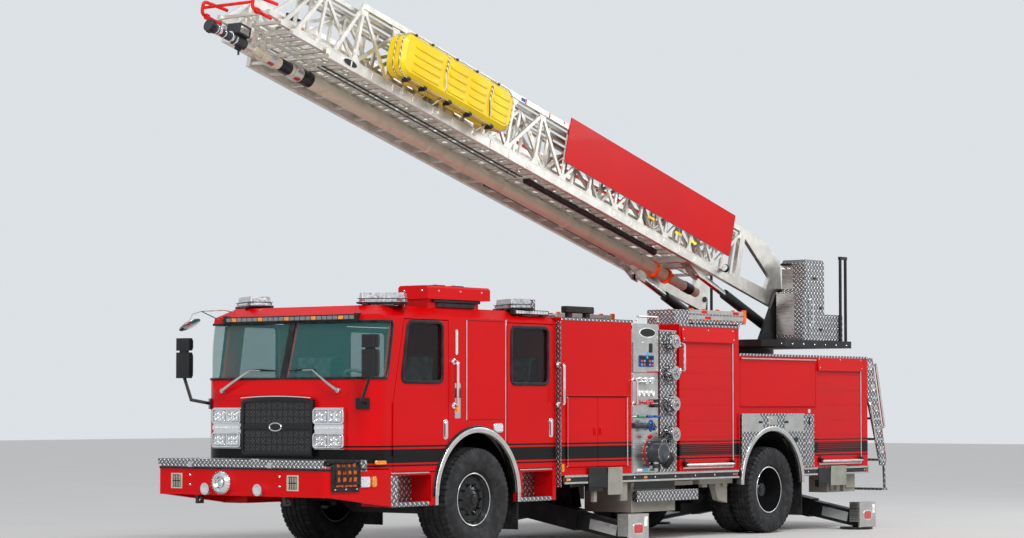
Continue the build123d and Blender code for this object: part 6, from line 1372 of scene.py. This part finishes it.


# Under the body: boxes and brackets of pale grey-beige painted steel plate, a treadplate tray and
# black sheets between them, painted shade for the recesses there.

grey_beige = chassis_black("grey_beige", (0.3, 0.285, 0.245), (0.22, 0.2, 0.17), 0.5)
dress(grey_beige, "underbody_boxes")
brackets = blocks((0.12, 1.19, 0.486, 0.26, 1.246, 0.704, 0.004),
                  (0.7, 1.18, 0.486, 0.76, 1.23, 0.704, 0.004),
                  (-2.18, 0.98, 0.64, -1.46, 1.19, 0.704, 0.004), (-5.1, 1.1705, 0.52, -4.88, 1.19, 0.7,
                                                                   0.004),
                  *[(x - 0.03, 1.1705, 0.5, x + 0.03, 1.186, 0.72, 0.003) for x in (-4.66, -4.53)])
for x in (-2.06, -1.9, -1.62):
    rib = [(x - 0.05, 0.6), (x + 0.05, 0.6), (x + 0.05, 0.66), (x - 0.05, 0.66)]
    brackets.append(side_plate(rib, (0, 1.1, 0), 0.06, 0.002))
gusset = [(-2.15, 0.4), (-1.95, 0.44), (-1.86, 0.64), (-2.15, 0.64)]
brackets.append(side_plate(gusset, (0, 1.05, 0), 0.08, 0.003))
twins("underbody_brackets", brackets, "stainless", grey_beige)
tray = block((-1.36, 1.1705, 0.464), (-0.09, 1.24, 0.592), 0.004)
twins("underbody_trays", [tray], "treadplate", tread_sheet)
# A thin black sheet: painted shade in the recess.
hollow = block((-0.95, 1.1703, 0.612), (-0.12, 1.1745, 0.7), 0.002)
twins("underbody_hollows", [hollow], "trim_plastic", badge_black)


# Outriggers: stainless shield on the foot of each with a blank red lamp plate, and a silver
# reflecting sheet on both sides of the beam.

reflecting = satin_metal("reflecting_sheet", (0.8, 0.83, 0.82), 0.45, (30, 30, 30))
fall = math.tan(math.radians(10.5))
for name, x, side in (("front_left", 0.475, 1), ("front_right", 0.16, -1), ("rear_right", -4.34, -1),
                      ("rear_left", -4.64, 1)):
    body = "outrigger_" + name
    rows = [(-0.2015, 1.6285, 0.03, 0.2015, 1.6545, 0.352, 0.004),
            (-0.2015, 1.5, 0.3505, 0.2015, 1.6545, 0.3545, 0.001)]
    rows += [(end - 0.004, 1.5, 0.1, end + 0.004, 1.6285, 0.352, 0.002) for end in (-0.197, 0.197)]
    shield = blocks(*[(x + a, side * b, c, x + d, side * e, f, edge) for a, b, c, d, e, f, edge in rows])
    piece("shield_" + name, shield, "stainless", stainless, body=body)
    plaque = plates((0.085, 0.05, 0.03, x + 0.01, 1.6547, 0.185, 0.008, 0.003), side=side)
    rim = plates((0.1, 0.064, 0.04, x + 0.01, 1.6545, 0.185, 0.004, 0.002), side=side)
    tag = plates((0.032, 0.055, 0.004, x - 0.145, 1.6545, 0.265, 0.001, 0.0005), side=side)
    piece("shield_lamp_" + name, plaque, "lamp_plastic", red_lens, body=body)
    piece("shield_rim_" + name, rim, "chrome", chrome, body=body)
    piece("shield_tag_" + name, tag, "trim_plastic", dial_white, body=body)
    lines = [[(x + end, side * y, 0.262 - (y - 0.84) * fall) for y in (1.02, 1.4)]
             for end in (-0.0805, 0.0805)]
    bands = [carried(rounded(0.0015, 0.06, 0.001, 2), line, (1.0, 0, 0)) for line in lines]
    piece("beam_reflector_" + name, bands, "chrome", reflecting, body=body)


# Turntable: bright and raised plates on the console case, its door with black latches, a small
# raised-plate box behind it, and the black valve block with hoses in front of the uprights.

bright = blocks((-3.9745, 0.705, 2.5, -3.9715, 0.972, 3.04, 0.001),
                (-4.034, 0.756, 3.1, -4.031, 0.92, 3.42, 0.001))
tread = blocks((-3.9745, 0.972, 2.45, -3.9705, 1.099, 3.05, 0.001),
               (-4.49, 1.1005, 2.45, -3.99, 1.104, 3.045, 0.001),
               (-4.47, 1.1005, 3.07, -4.05, 1.104, 3.42, 0.001),
               (-5.05, 0.72, 2.4365, -4.56, 1.05, 2.78, 0.006))
latches = blocks(*[(-4.43, 1.104, z - 0.018, -4.385, 1.115, z + 0.018, 0.004) for z in (2.574, 2.855)],
                 (-4.112, 1.1042, 2.47, -4.106, 1.1052, 3.03, 0.0004), (-4.3, 1.104, 3.22, -4.22, 1.116,
                                                                        3.25, 0.004),
                 (-4.0305, 0.765, 3.4, -3.97, 0.9, 3.43, 0.006))
knob = [(0, 0), (0, 0.02), (0.012, 0.02), (0.016, 0.012), (0.016, 0)]
bright_parts = [turned(knob, (-4.0305, y, 3.36), (1, 0, 0), 14) for y in (0.78, 0.86)]
bright_parts.append(grab_bar((-4.15, 1.104, 2.95), (-4.15, 1.104, 2.62), (0, 0.045, 0), 0.01))
screw = turned([(0, 0), (0, 0.01), (0.003, 0.008), (0.004, 0)], (0, 0, 0), (0, 1, 0), 10)
screws = repeated(screw, [(x, 1.1102, 2.38) for x in np.linspace(-5.05, -3.45, 7)])
valves, hoses = [], []
for y in (-0.26, -0.14, 0.02, 0.16, 0.28):
    valves.append(block((-3.62, y - 0.05, 2.4365), (-3.5, y + 0.05, 2.56), 0.01))
    valves.append(turned([(0, 0), (0, 0.028), (0.05, 0.028), (0.06, 0.018), (0.06, 0)], (-3.56, y, 2.56),
                         (0, 0, 1), 12))
    reach = [(-3.52, y, 2.54), (-3.44, y, 2.6), (-3.41, y * 0.9, 2.52), (-3.47, y * 0.8, 2.452),
             (-3.6, y * 0.7, 2.452)]
    hoses.append(pipe(reach, 0.014, 0.05, side=(0.1, 1.0, 0.13), steps=8))
for name, parts, slot, finish in (("console_bright_plates", bright, "stainless", stainless),
                                  ("console_tread_plates", tread, "treadplate", tread_sheet),
                                  ("console_latches", latches, "trim_plastic", badge_black),
                                  ("console_bright_parts", bright_parts, "chrome", chrome),
                                  ("deck_screws", mirrored(screws), "chrome", chrome),
                                  ("slew_valves", valves, "chrome", speaker_paint),
                                  ("slew_hoses", hoses, "trim_plastic", dark_plastic)):
    piece(name, parts, slot, finish, body="turntable")


# Ladder: welded aluminium box sections, mill finished, dulled to a warm pale grey; bosses where the
# rungs are welded through, joint plates on the trusses, and thin cables along the underside.

ladder_metal = satin_metal("ladder_metal", (0.84, 0.81, 0.745), 0.4, (60, 8, 8))
dress(ladder_metal, "ladder_base", "ladder_lower_mid", "ladder_upper_mid", "ladder_fly")
heel = np.array((-4.165, 0.0, 3.0))
run = np.array((math.cos(math.radians(15.4)), 0.0, math.sin(math.radians(15.4))))
rise = np.array((-run[2], 0.0, run[0]))


def on_ladder(s, y, n):
    """The point s along the ladder from its pivot, y across and n up: heel + s run + n rise + y."""
    return heel + s * run + n * rise + (0, y, 0)


def ladder_bars(*rows):
    """Chamfered bars square to the ladder, each from two values of s, two of y, two of n and its edge."""
    parts = [block(row[:5:2], row[1:6:2], row[6]) for row in rows]
    return [(heel + points @ np.array((run, (0, 1.0, 0), rise)), faces) for points, faces in parts]


def ladder_drum(start, end, radius, y=0.0, n=-0.225, steps=28, lip=0.003):
    """A round sleeve along the ladder between two values of s, its ends chamfered by a lip."""
    shape = [(start, 0), (start, radius - lip), (start + lip, radius), (end - lip, radius),
             (end, radius - lip), (end, 0)]
    return turned([(s - start, r) for s, r in shape], on_ladder(start, y, n), run, steps)


def on_base(name, parts, slot, *finishes):
    """A piece that rides on the ladder's lowest section."""
    return piece(name, parts, slot, *finishes, body="ladder_base")


bosses = ladder_bars(*[(s - 0.01, s + 0.01, 0.6003, 0.606, -0.14, -0.066, 0.003)
                       for s in 1.96 + 0.356 * np.arange(20)],
                     (1.06, 9.06, 0.6003, 0.603, -0.16, -0.15, 0.001),
                     (1.06, 9.06, 0.6003, 0.603, -0.056, -0.046, 0.001))
joints = []
for s in np.linspace(1.0, 8.66, 15):
    for n, drop in ((-0.043, 0.07), (0.557, -0.07)):
        gusset = np.array([(-0.075, 0), (0.075, 0), (0.028, drop), (-0.028, drop)])
        joints.append(outline_plate(gusset, on_ladder(s, 0.5858, n), run, rise, (0, 0.004, 0), 0.001))
cables = [carried(circle(0.007, 6), [on_ladder(5.25, y, n), on_ladder(8.85, y, n)], (0, 1.0, 0))
          for y, n in ((0.3, -0.142), (0.33, -0.15), (0.24, -0.15))]
cables += [ladder_drum(*row, 0.3, -0.15, 20) for row in ((2.5, 5.05, 0.037), (5.03, 5.14, 0.044),
                                                         (2.42, 2.52, 0.044))]
reds = ladder_bars(*[(s - 0.01, s + 0.01, 0.6003, 0.6012, low, 0.6165, 0.0003)
                     for s, low in ((5.27, 0.555), (5.74, 0.555), (6.33, 0.555), (4.98, 0.587))])
blues = ladder_bars(*[(s - 0.045, s + 0.03, 0.6003, 0.6012, 0.568, 0.607, 0.0003) for s in (5.8, 6.39)])
tags = ladder_bars(*[(s - 0.07, s + 0.07, 0.586, 0.588, 0.08, 0.112, 0.0005) for s in (2.03, 2.37, 2.98)])
yellow_tag = moulded_rubber("yellow_tag", (0.85, 0.62, 0.01), 0.5)
for name, parts, slot, finish in (("rung_bosses", bosses, "ladder_alloy", ladder_metal),
                                  ("truss_joint_plates", joints, "ladder_alloy", ladder_metal),
                                  ("extension_cylinders", cables, "trim_plastic", dark_plastic),
                                  ("ladder_red_marks", reds, "trim_plastic", label_red),
                                  ("ladder_blue_marks", blues, "trim_plastic", handle_blue),
                                  ("ladder_yellow_tags", tags, "trim_plastic", yellow_tag)):
    on_base(name, mirrored(joined(*parts)), slot, finish)


# Waterway: telescoping aluminium tubes painted warm beige, orange clamp rings at the heel, black
# seals and a bright coupling where the next tube slides in, and the cranked pipe down to the pivot.

water_beige = chassis_black("water_beige", (0.6, 0.52, 0.4), (0.44, 0.37, 0.28), 0.42)
for part, slot, finish, body, rows in (
    ("base", "ladder_alloy", water_beige, "ladder_base", [(1.752, 8.97, 0.0815)]),
    ("lower_mid", "ladder_alloy", water_beige, "ladder_lower_mid", [(8.975, 9.486, 0.0665)]),
    ("upper_mid", "ladder_alloy", water_beige, "ladder_upper_mid", [(9.4915, 9.618, 0.0525)]),
    ("heel", "ladder_alloy", water_beige, "ladder_base",
     [(1.28, 1.752, 0.063), (0.98, 1.12, 0.06), (3.9, 3.94, 0.09), (6.6, 6.64, 0.09)]),
    ("seals", "trim_plastic", dark_plastic, "ladder_base", [(1.12, 1.28, 0.07), (8.69, 8.86, 0.0845)]),
    ("tip_seal", "trim_plastic", dark_plastic, "ladder_lower_mid", [(9.03, 9.2, 0.0705)]),
    ("coupling", "chrome", stainless, "ladder_base", [(8.88, 8.972, 0.0885)]),
    ("tip_coupling", "chrome", stainless, "ladder_lower_mid", [(9.3, 9.4, 0.074)]),
):
    piece("waterway_" + part, [ladder_drum(*row) for row in rows], slot, finish, body=body)
clamps = [ladder_drum(s - 0.022, s + 0.022, radius, steps=32, lip=0.006)
          for s, radius in ((1.99, 0.108), (1.7, 0.1))]
clamps += ladder_bars(*[(s - 0.02, s + 0.02, -0.125, 0.125, -0.245, -0.205, 0.005) for s in (1.99, 1.7)])
on_base("waterway_clamps", clamps, "trim_plastic", orange_foot)
for side, hand in ((1, "left"), (-1, "right")):
    pin = on_ladder(1.629, side * 0.5025, -0.2)
    collar = turned([(0, 0), (0, 0.046), (0.012, 0.046), (0.016, 0.04), (0.016, 0)], pin, (0, side, 0), 20)
    on_base("rod_pin_" + hand, collar, "trim_plastic", badge_black)
dress(chrome, "lift_rods")
case = [(0, 0), (0, 0.044), (0.01, 0.052), (0.04, 0.052), (0.05, 0.044), (0.05, 0)]
case_parts = [turned(case, on_ladder(1.33, 0.66, -0.035), run, 24),
              *ladder_bars((1.3, 1.34, 0.6, 0.625, -0.06, -0.01, 0.003))]
on_base("heel_lamp_case", case_parts, "trim_plastic", badge_black)
face = turned([(0, 0), (0, 0.043), (0.006, 0.04), (0.012, 0.02), (0.013, 0)], on_ladder(1.379, 0.66, -0.035),
              run, 24)
on_base("heel_lamp_face", face, "lamp_plastic", clear_lens)
oval = circle(1.0, 28) * (0.115, 0.042)
rim = outline_plate(oval, on_ladder(8.74, 0.6003, -0.094), run, rise, (0, 0.003, 0), 0.001)
on_base("base_oval_rim", rim, "chrome", chrome)
blank = outline_plate(oval * (0.93, 0.82), on_ladder(8.74, 0.6034, -0.094), run, rise, (0, 0.0015, 0),
                      0.0005)
on_base("base_oval_plate", blank, "trim_plastic", badge_black)


# Sign boards: plain red sheet on an alloy frame. Basket: yellow rotomoulded litter with raised ribs,
# roped to the rails, a cord laced round its edge on black clips.

bars = ladder_bars(*[(1.255, 4.855, 0.5995, 0.5875, n - 0.012, n + 0.012, 0.002) for n in (0.175, 0.695)])
on_base("sign_frame_bars", mirrored(joined(*bars)), "ladder_alloy", ladder_metal)
basket_paint = Finish("basket_yellow", (0.8, 0.62, 0.004), 0.36, Coat_Weight=0.12, Specular_IOR_Level=0.25)
shade = basket_paint.spread(basket_paint.cloud(2.2, 3.0), 0.3, 0.7)
basket_paint.colour(basket_paint.mixed(shade, (0.84, 0.56, 0.003), (0.86, 0.66, 0.005)))
basket_paint.bump(basket_paint.cloud(180, 2.0), 0.06, 0.001)
dress(basket_paint.material, "rescue_basket")
ribs = [outline_plate(rounded((high - low) / 2, 0.026, 0.024), on_ladder((low + high) / 2, 0.8303, n), run,
                      rise,
                      (0, 0.01, 0), 0.012)
        for low, high in ((7.54, 8.02), (7.08, 7.4), (6.72, 7.02), (6.3, 6.6))
        for n in (0.105, 0.195, 0.285, 0.375)]
on_base("basket_ribs", ribs, "basket_plastic", basket_paint.material)
straps = ladder_bars(*[(s - 0.0325, s + 0.0325, 0.5995, 0.6162, *n, 0.003) for s in (6.56, 7.195, 7.83)
                       for n in ((-0.112, -0.004), (0.494, 0.592))])
on_base("basket_straps", straps, "ladder_alloy", ladder_metal)
braid = Finish("braided_rope", (0.7, 0.64, 0.54), 0.85, Specular_IOR_Level=0.2)
twist = braid.node("ShaderNodeTexWave", Vector=braid.stretched(1, 1, 1), Scale=16.0,
                   Distortion=0.4).outputs["Fac"]
braid.colour(braid.mixed(braid.spread(twist, 0.45, 0.55), (0.16, 0.09, 0.04), (0.78, 0.74, 0.66)))
braid.bump(twist, 0.6, 0.003)
ropes = []
for s in (7.45, 6.64):
    lash = [(s, 0.612, 0.515), (s, 0.7, 0.505), (s, 0.843, 0.44), (s + 0.02, 0.845, 0.25),
            (s - 0.03, 0.843, 0.07),
            (s - 0.1, 0.7, -0.015), (s - 0.11, 0.612, -0.05)]
    ropes.append(pipe([on_ladder(*point) for point in lash], 0.01, 0.05, side=tuple(run)))
for y, reach, radius in ((0.79, 0.01, 0.0075), (0.7, 0.011, 0.006)):
    edge_line = rounded(0.995 + reach, 0.24 + reach, 0.155, 6) + (7.195, 0.25)
    ropes.append(carried(circle(radius, 8), [on_ladder(s, y, n) for s, n in edge_line], (0, 1.0, 0),
                         ring=True))
on_base("basket_ropes", ropes, "trim_plastic", braid.material)
clips = []
for s in (6.5, 6.9, 7.27, 7.71, 8.0):
    clips += ladder_bars((s - 0.028, s + 0.028, 0.735, 0.808, -0.022, 0.012, 0.008),
                         (s - 0.01, s + 0.01, 0.7, 0.8, -0.04, 0.0, 0.006),
                         (s - 0.02, s + 0.02, 0.745, 0.805, 0.488, 0.512, 0.008))
on_base("basket_clips", clips, "trim_plastic", dark_plastic)


# Ladder tip: dark cast monitor with bright rings and a black nozzle on the waterway, a control box
# and red tube guards on the fly, and small amber lights on the rails.

monitor_paint = chassis_black("monitor_paint", (0.035, 0.038, 0.045), (0.07, 0.07, 0.075), 0.32)
dress(monitor_paint, "monitor")
rings = [ladder_drum(s, s + width, radius) for s, width, radius in (
    (9.955, 0.03, 0.064), (10.06, 0.016, 0.0495), (10.13, 0.035, 0.052), (10.185, 0.014, 0.056),
    (9.9, 0.02, 0.066))]
rings += ladder_bars((9.8, 9.93, 0.0905, 0.096, -0.155, -0.085, 0.004))
nozzle = [(0, 0), (0, 0.056), (0.02, 0.0645), (0.075, 0.0645), (0.082, 0.058), (0.08, 0.05), (0.078, 0)]
turret = [turned(nozzle, on_ladder(10.229, 0, -0.225), run, 32),
          ladder_drum(9.79, 9.86, 0.02, 0.0, -0.3, 12),
          rod(on_ladder(9.82, 0, -0.28), on_ladder(9.8, 0.0, -0.36), 0.012)]
turret += ladder_bars(*[(10.245, 10.3, y - 0.007, y + 0.007, n - 0.232, n - 0.218, 0.003)
                        for y, n in circle(0.064, 10)])
guards = [rod(on_ladder(10.09, -0.36, 0.09), on_ladder(10.09, 0.36, 0.09), 0.017)]
corner = [on_ladder(s, 0.36, n) for s, n in ((9.79, 0.02), (10.09, 0.02), (10.1, 0.16), (9.74, 0.2))]
guards += [mirrored(pipe(corner, 0.019, 0.05, side=(0.1, 1.0, 0.2))),
           mirrored(*ladder_bars((9.98, 10.04, 0.335, 0.385, -0.01, 0.05, 0.01)))]
control_box = ladder_bars((9.24, 9.46, 0.225, 0.255, 0.115, 0.235, 0.008))
lights = ladder_bars(*[(s - 0.016, s + 0.016, 0.3785, 0.388, 0.062, 0.085, 0.003) for s in (9.32, 9.62)])
lights = mirrored(joined(*lights))
for name, parts, slot, finish in (("monitor_rings", rings, "chrome", chrome),
                                  ("monitor_nozzle", turret, "trim_plastic", dark_plastic),
                                  ("tip_control_box", control_box, "trim_plastic", badge_black),
                                  ("tip_red_guards", guards, "trim_plastic", label_red),
                                  ("tip_amber_lights", lights, "lamp_plastic", amber_lens)):
    piece(name, parts, slot, finish, body="ladder_fly")


# Inside the cab: dark teal-grey moulded dash and engine cover, and four seats in black fabric, each a
# crowned cushion and back with piped edges and sewn channels over foam.

dash_plastic = moulded_rubber("dash_plastic", (0.17, 0.21, 0.2), 0.6)
dress(dash_plastic, "cab_interior")


def cushion(low, high, lean=0.0, crown=0.022, channels=3, up=2):
    """A stuffed block: each face of a box bulges by a crown times (1 - u^2)(1 - v^2), its edges round as a
    superellipse, and its broad face is pinched by a narrow dip at every sewn channel."""
    low, high = np.asarray(low, float), np.asarray(high, float)
    middle, half = (low + high) / 2, (high - low) / 2
    around = np.linspace(0, 2 * math.pi, 64, endpoint=False)
    upward = np.linspace(-math.pi / 2, math.pi / 2, 33)

    def squared(value):
        """sign(v) |v|^0.22, which squares a circle up."""
        return np.sign(value) * np.abs(value) ** 0.22

    a = squared(np.cos(upward))[:, None] * squared(np.cos(around))
    b = squared(np.cos(upward))[:, None] * squared(np.sin(around))
    c = squared(np.sin(upward))[:, None] * np.ones(64)
    grid = np.stack((a, b, c), axis=-1) * half
    sewn = sum(np.exp(-((b - place) / 0.035) ** 2) for place in np.linspace(-1, 1, channels + 2)[1:-1])
    grid[..., up] += np.sign(grid[..., up]) * crown * ((1 - a**2) * (1 - b**2) if up == 2 else (1 - c**2)
                                                       * (1 - b**2))
    grid[..., up] -= np.sign(grid[..., up]) * 0.01 * np.minimum(sewn, 1)
    grid[..., 0] += lean * (grid[..., 2] + half[2])
    return skin(grid + middle)


seat_cloth = Finish("seat_cloth", (0.02, 0.021, 0.023), 0.85, Specular_IOR_Level=0.2, Sheen_Weight=0.25)
thread = seat_cloth.node("ShaderNodeTexVoronoi", Vector=seat_cloth.place, Scale=420.0)
seat_cloth.colour(seat_cloth.mixed(thread.outputs["Distance"], (0.012, 0.013, 0.014), (0.045, 0.047, 0.05)))
seat_cloth.bump(thread.outputs["Distance"], 0.4, 0.0015)
for hand, side in (("left", 1), ("right", -1)):
    for row, back_x in (("front", 3.299), ("rear", 1.585)):
        bottom = cushion((back_x - 0.02, side * 0.74 - 0.262, 1.318),
                         (back_x + 0.492, side * 0.74 + 0.262, 1.462))
        rest = cushion((back_x - 0.085, side * 0.74 - 0.258, 1.43),
                       (back_x + 0.14, side * 0.74 + 0.258, 2.138), -0.16, 0.02, 3, 0)
        for name, form in (("cushion", bottom), ("back", rest)):
            piece(f"seat_{name}_{row}_{hand}", form, "trim_plastic", seat_cloth.material)


# Studio: a plain pale floor that runs out of sight, an even pale sky and large soft lamps.

floor_low, floor_high = (-80.0, -80.0, -0.05), (80.0, 80.0, 0.0)
points, faces = block(floor_low, floor_high)
floor_mesh = bpy.data.meshes.new("floor")
floor_mesh.from_pydata(points, [], faces.tolist())
floor = bpy.data.objects.new("floor", floor_mesh)
bpy.context.scene.collection.objects.link(floor)
ground = Finish("pale_floor", (0.6, 0.59, 0.58), 0.85)
ground.colour(ground.mixed(ground.cloud(0.6, 5.0), (0.57, 0.565, 0.555), (0.63, 0.62, 0.61)))
ground.bump(ground.cloud(60, 4.0), 0.05, 0.002)
floor_mesh.materials.append(ground.material)

world = bpy.data.worlds.new("studio")
bpy.context.scene.world = world
world.use_nodes = True
sky = world.node_tree
backdrop = sky.nodes["Background"]
backdrop.inputs[0].default_value = (0.8, 0.84, 0.88, 1.0)
rays = sky.nodes.new("ShaderNodeLightPath")
looks = rays.outputs["Is Camera Ray"]
for other in ("Is Glossy Ray", "Is Transmission Ray"):
    either = sky.nodes.new("ShaderNodeMath")
    either.operation = "MAXIMUM"
    sky.links.new(looks, either.inputs[0])
    sky.links.new(rays.outputs[other], either.inputs[1])
    looks = either.outputs[0]
seen = sky.nodes.new("ShaderNodeMath")
seen.operation = "MULTIPLY_ADD"
sky.links.new(looks, seen.inputs[0])
seen.inputs[1].default_value = 0.38
seen.inputs[2].default_value = 0.52
sky.links.new(seen.outputs[0], backdrop.inputs[1])


def soft_lamp(name, place, target, width, height, power):
    """A wide rectangle of light at a place, turned to its target."""
    data = bpy.data.lights.new(name, "AREA")
    data.shape = "RECTANGLE"
    data.size = width
    data.size_y = height
    data.energy = power
    lamp = bpy.data.objects.new(name, data)
    lamp.location = place
    lamp.rotation_euler = (Vector(target) - Vector(place)).to_track_quat("-Z", "Y").to_euler()
    bpy.context.scene.collection.objects.link(lamp)


soft_lamp("key", (10, 16, 13), (0, 0, 1.5), 9, 7, 1500)
soft_lamp("front", (19, 2, 7), (3, 0, 2), 7, 6, 650)
soft_lamp("rear", (-13, 8, 9), (-2, 0, 2), 8, 6, 500)
sun_data = bpy.data.lights.new("sun", "SUN")
sun_data.energy = 1.3
sun_data.angle = 0.2
sun = bpy.data.objects.new("sun", sun_data)
sun.rotation_euler = Vector((-0.3, -0.6, -1.0)).to_track_quat("-Z", "Y").to_euler()
bpy.context.scene.collection.objects.link(sun)


# Camera: a long lens some twenty-eight metres off the front left corner, low, and tilted up a little.

camera_data = bpy.data.cameras.new("camera")
camera_data.sensor_width = 36.0
camera_data.lens = 96.8
camera_data.clip_end = 200
camera = bpy.data.objects.new("camera", camera_data)
camera.location = (26.28, 19.863, 1.567)
tilt = math.radians(2.88)
aim = Vector((-0.7898 * math.cos(tilt), -0.6134 * math.cos(tilt), math.sin(tilt)))
camera.rotation_euler = aim.to_track_quat("-Z", "Y").to_euler()
bpy.context.scene.collection.objects.link(camera)
bpy.context.scene.camera = camera
bpy.context.scene.view_settings.view_transform = "Standard"
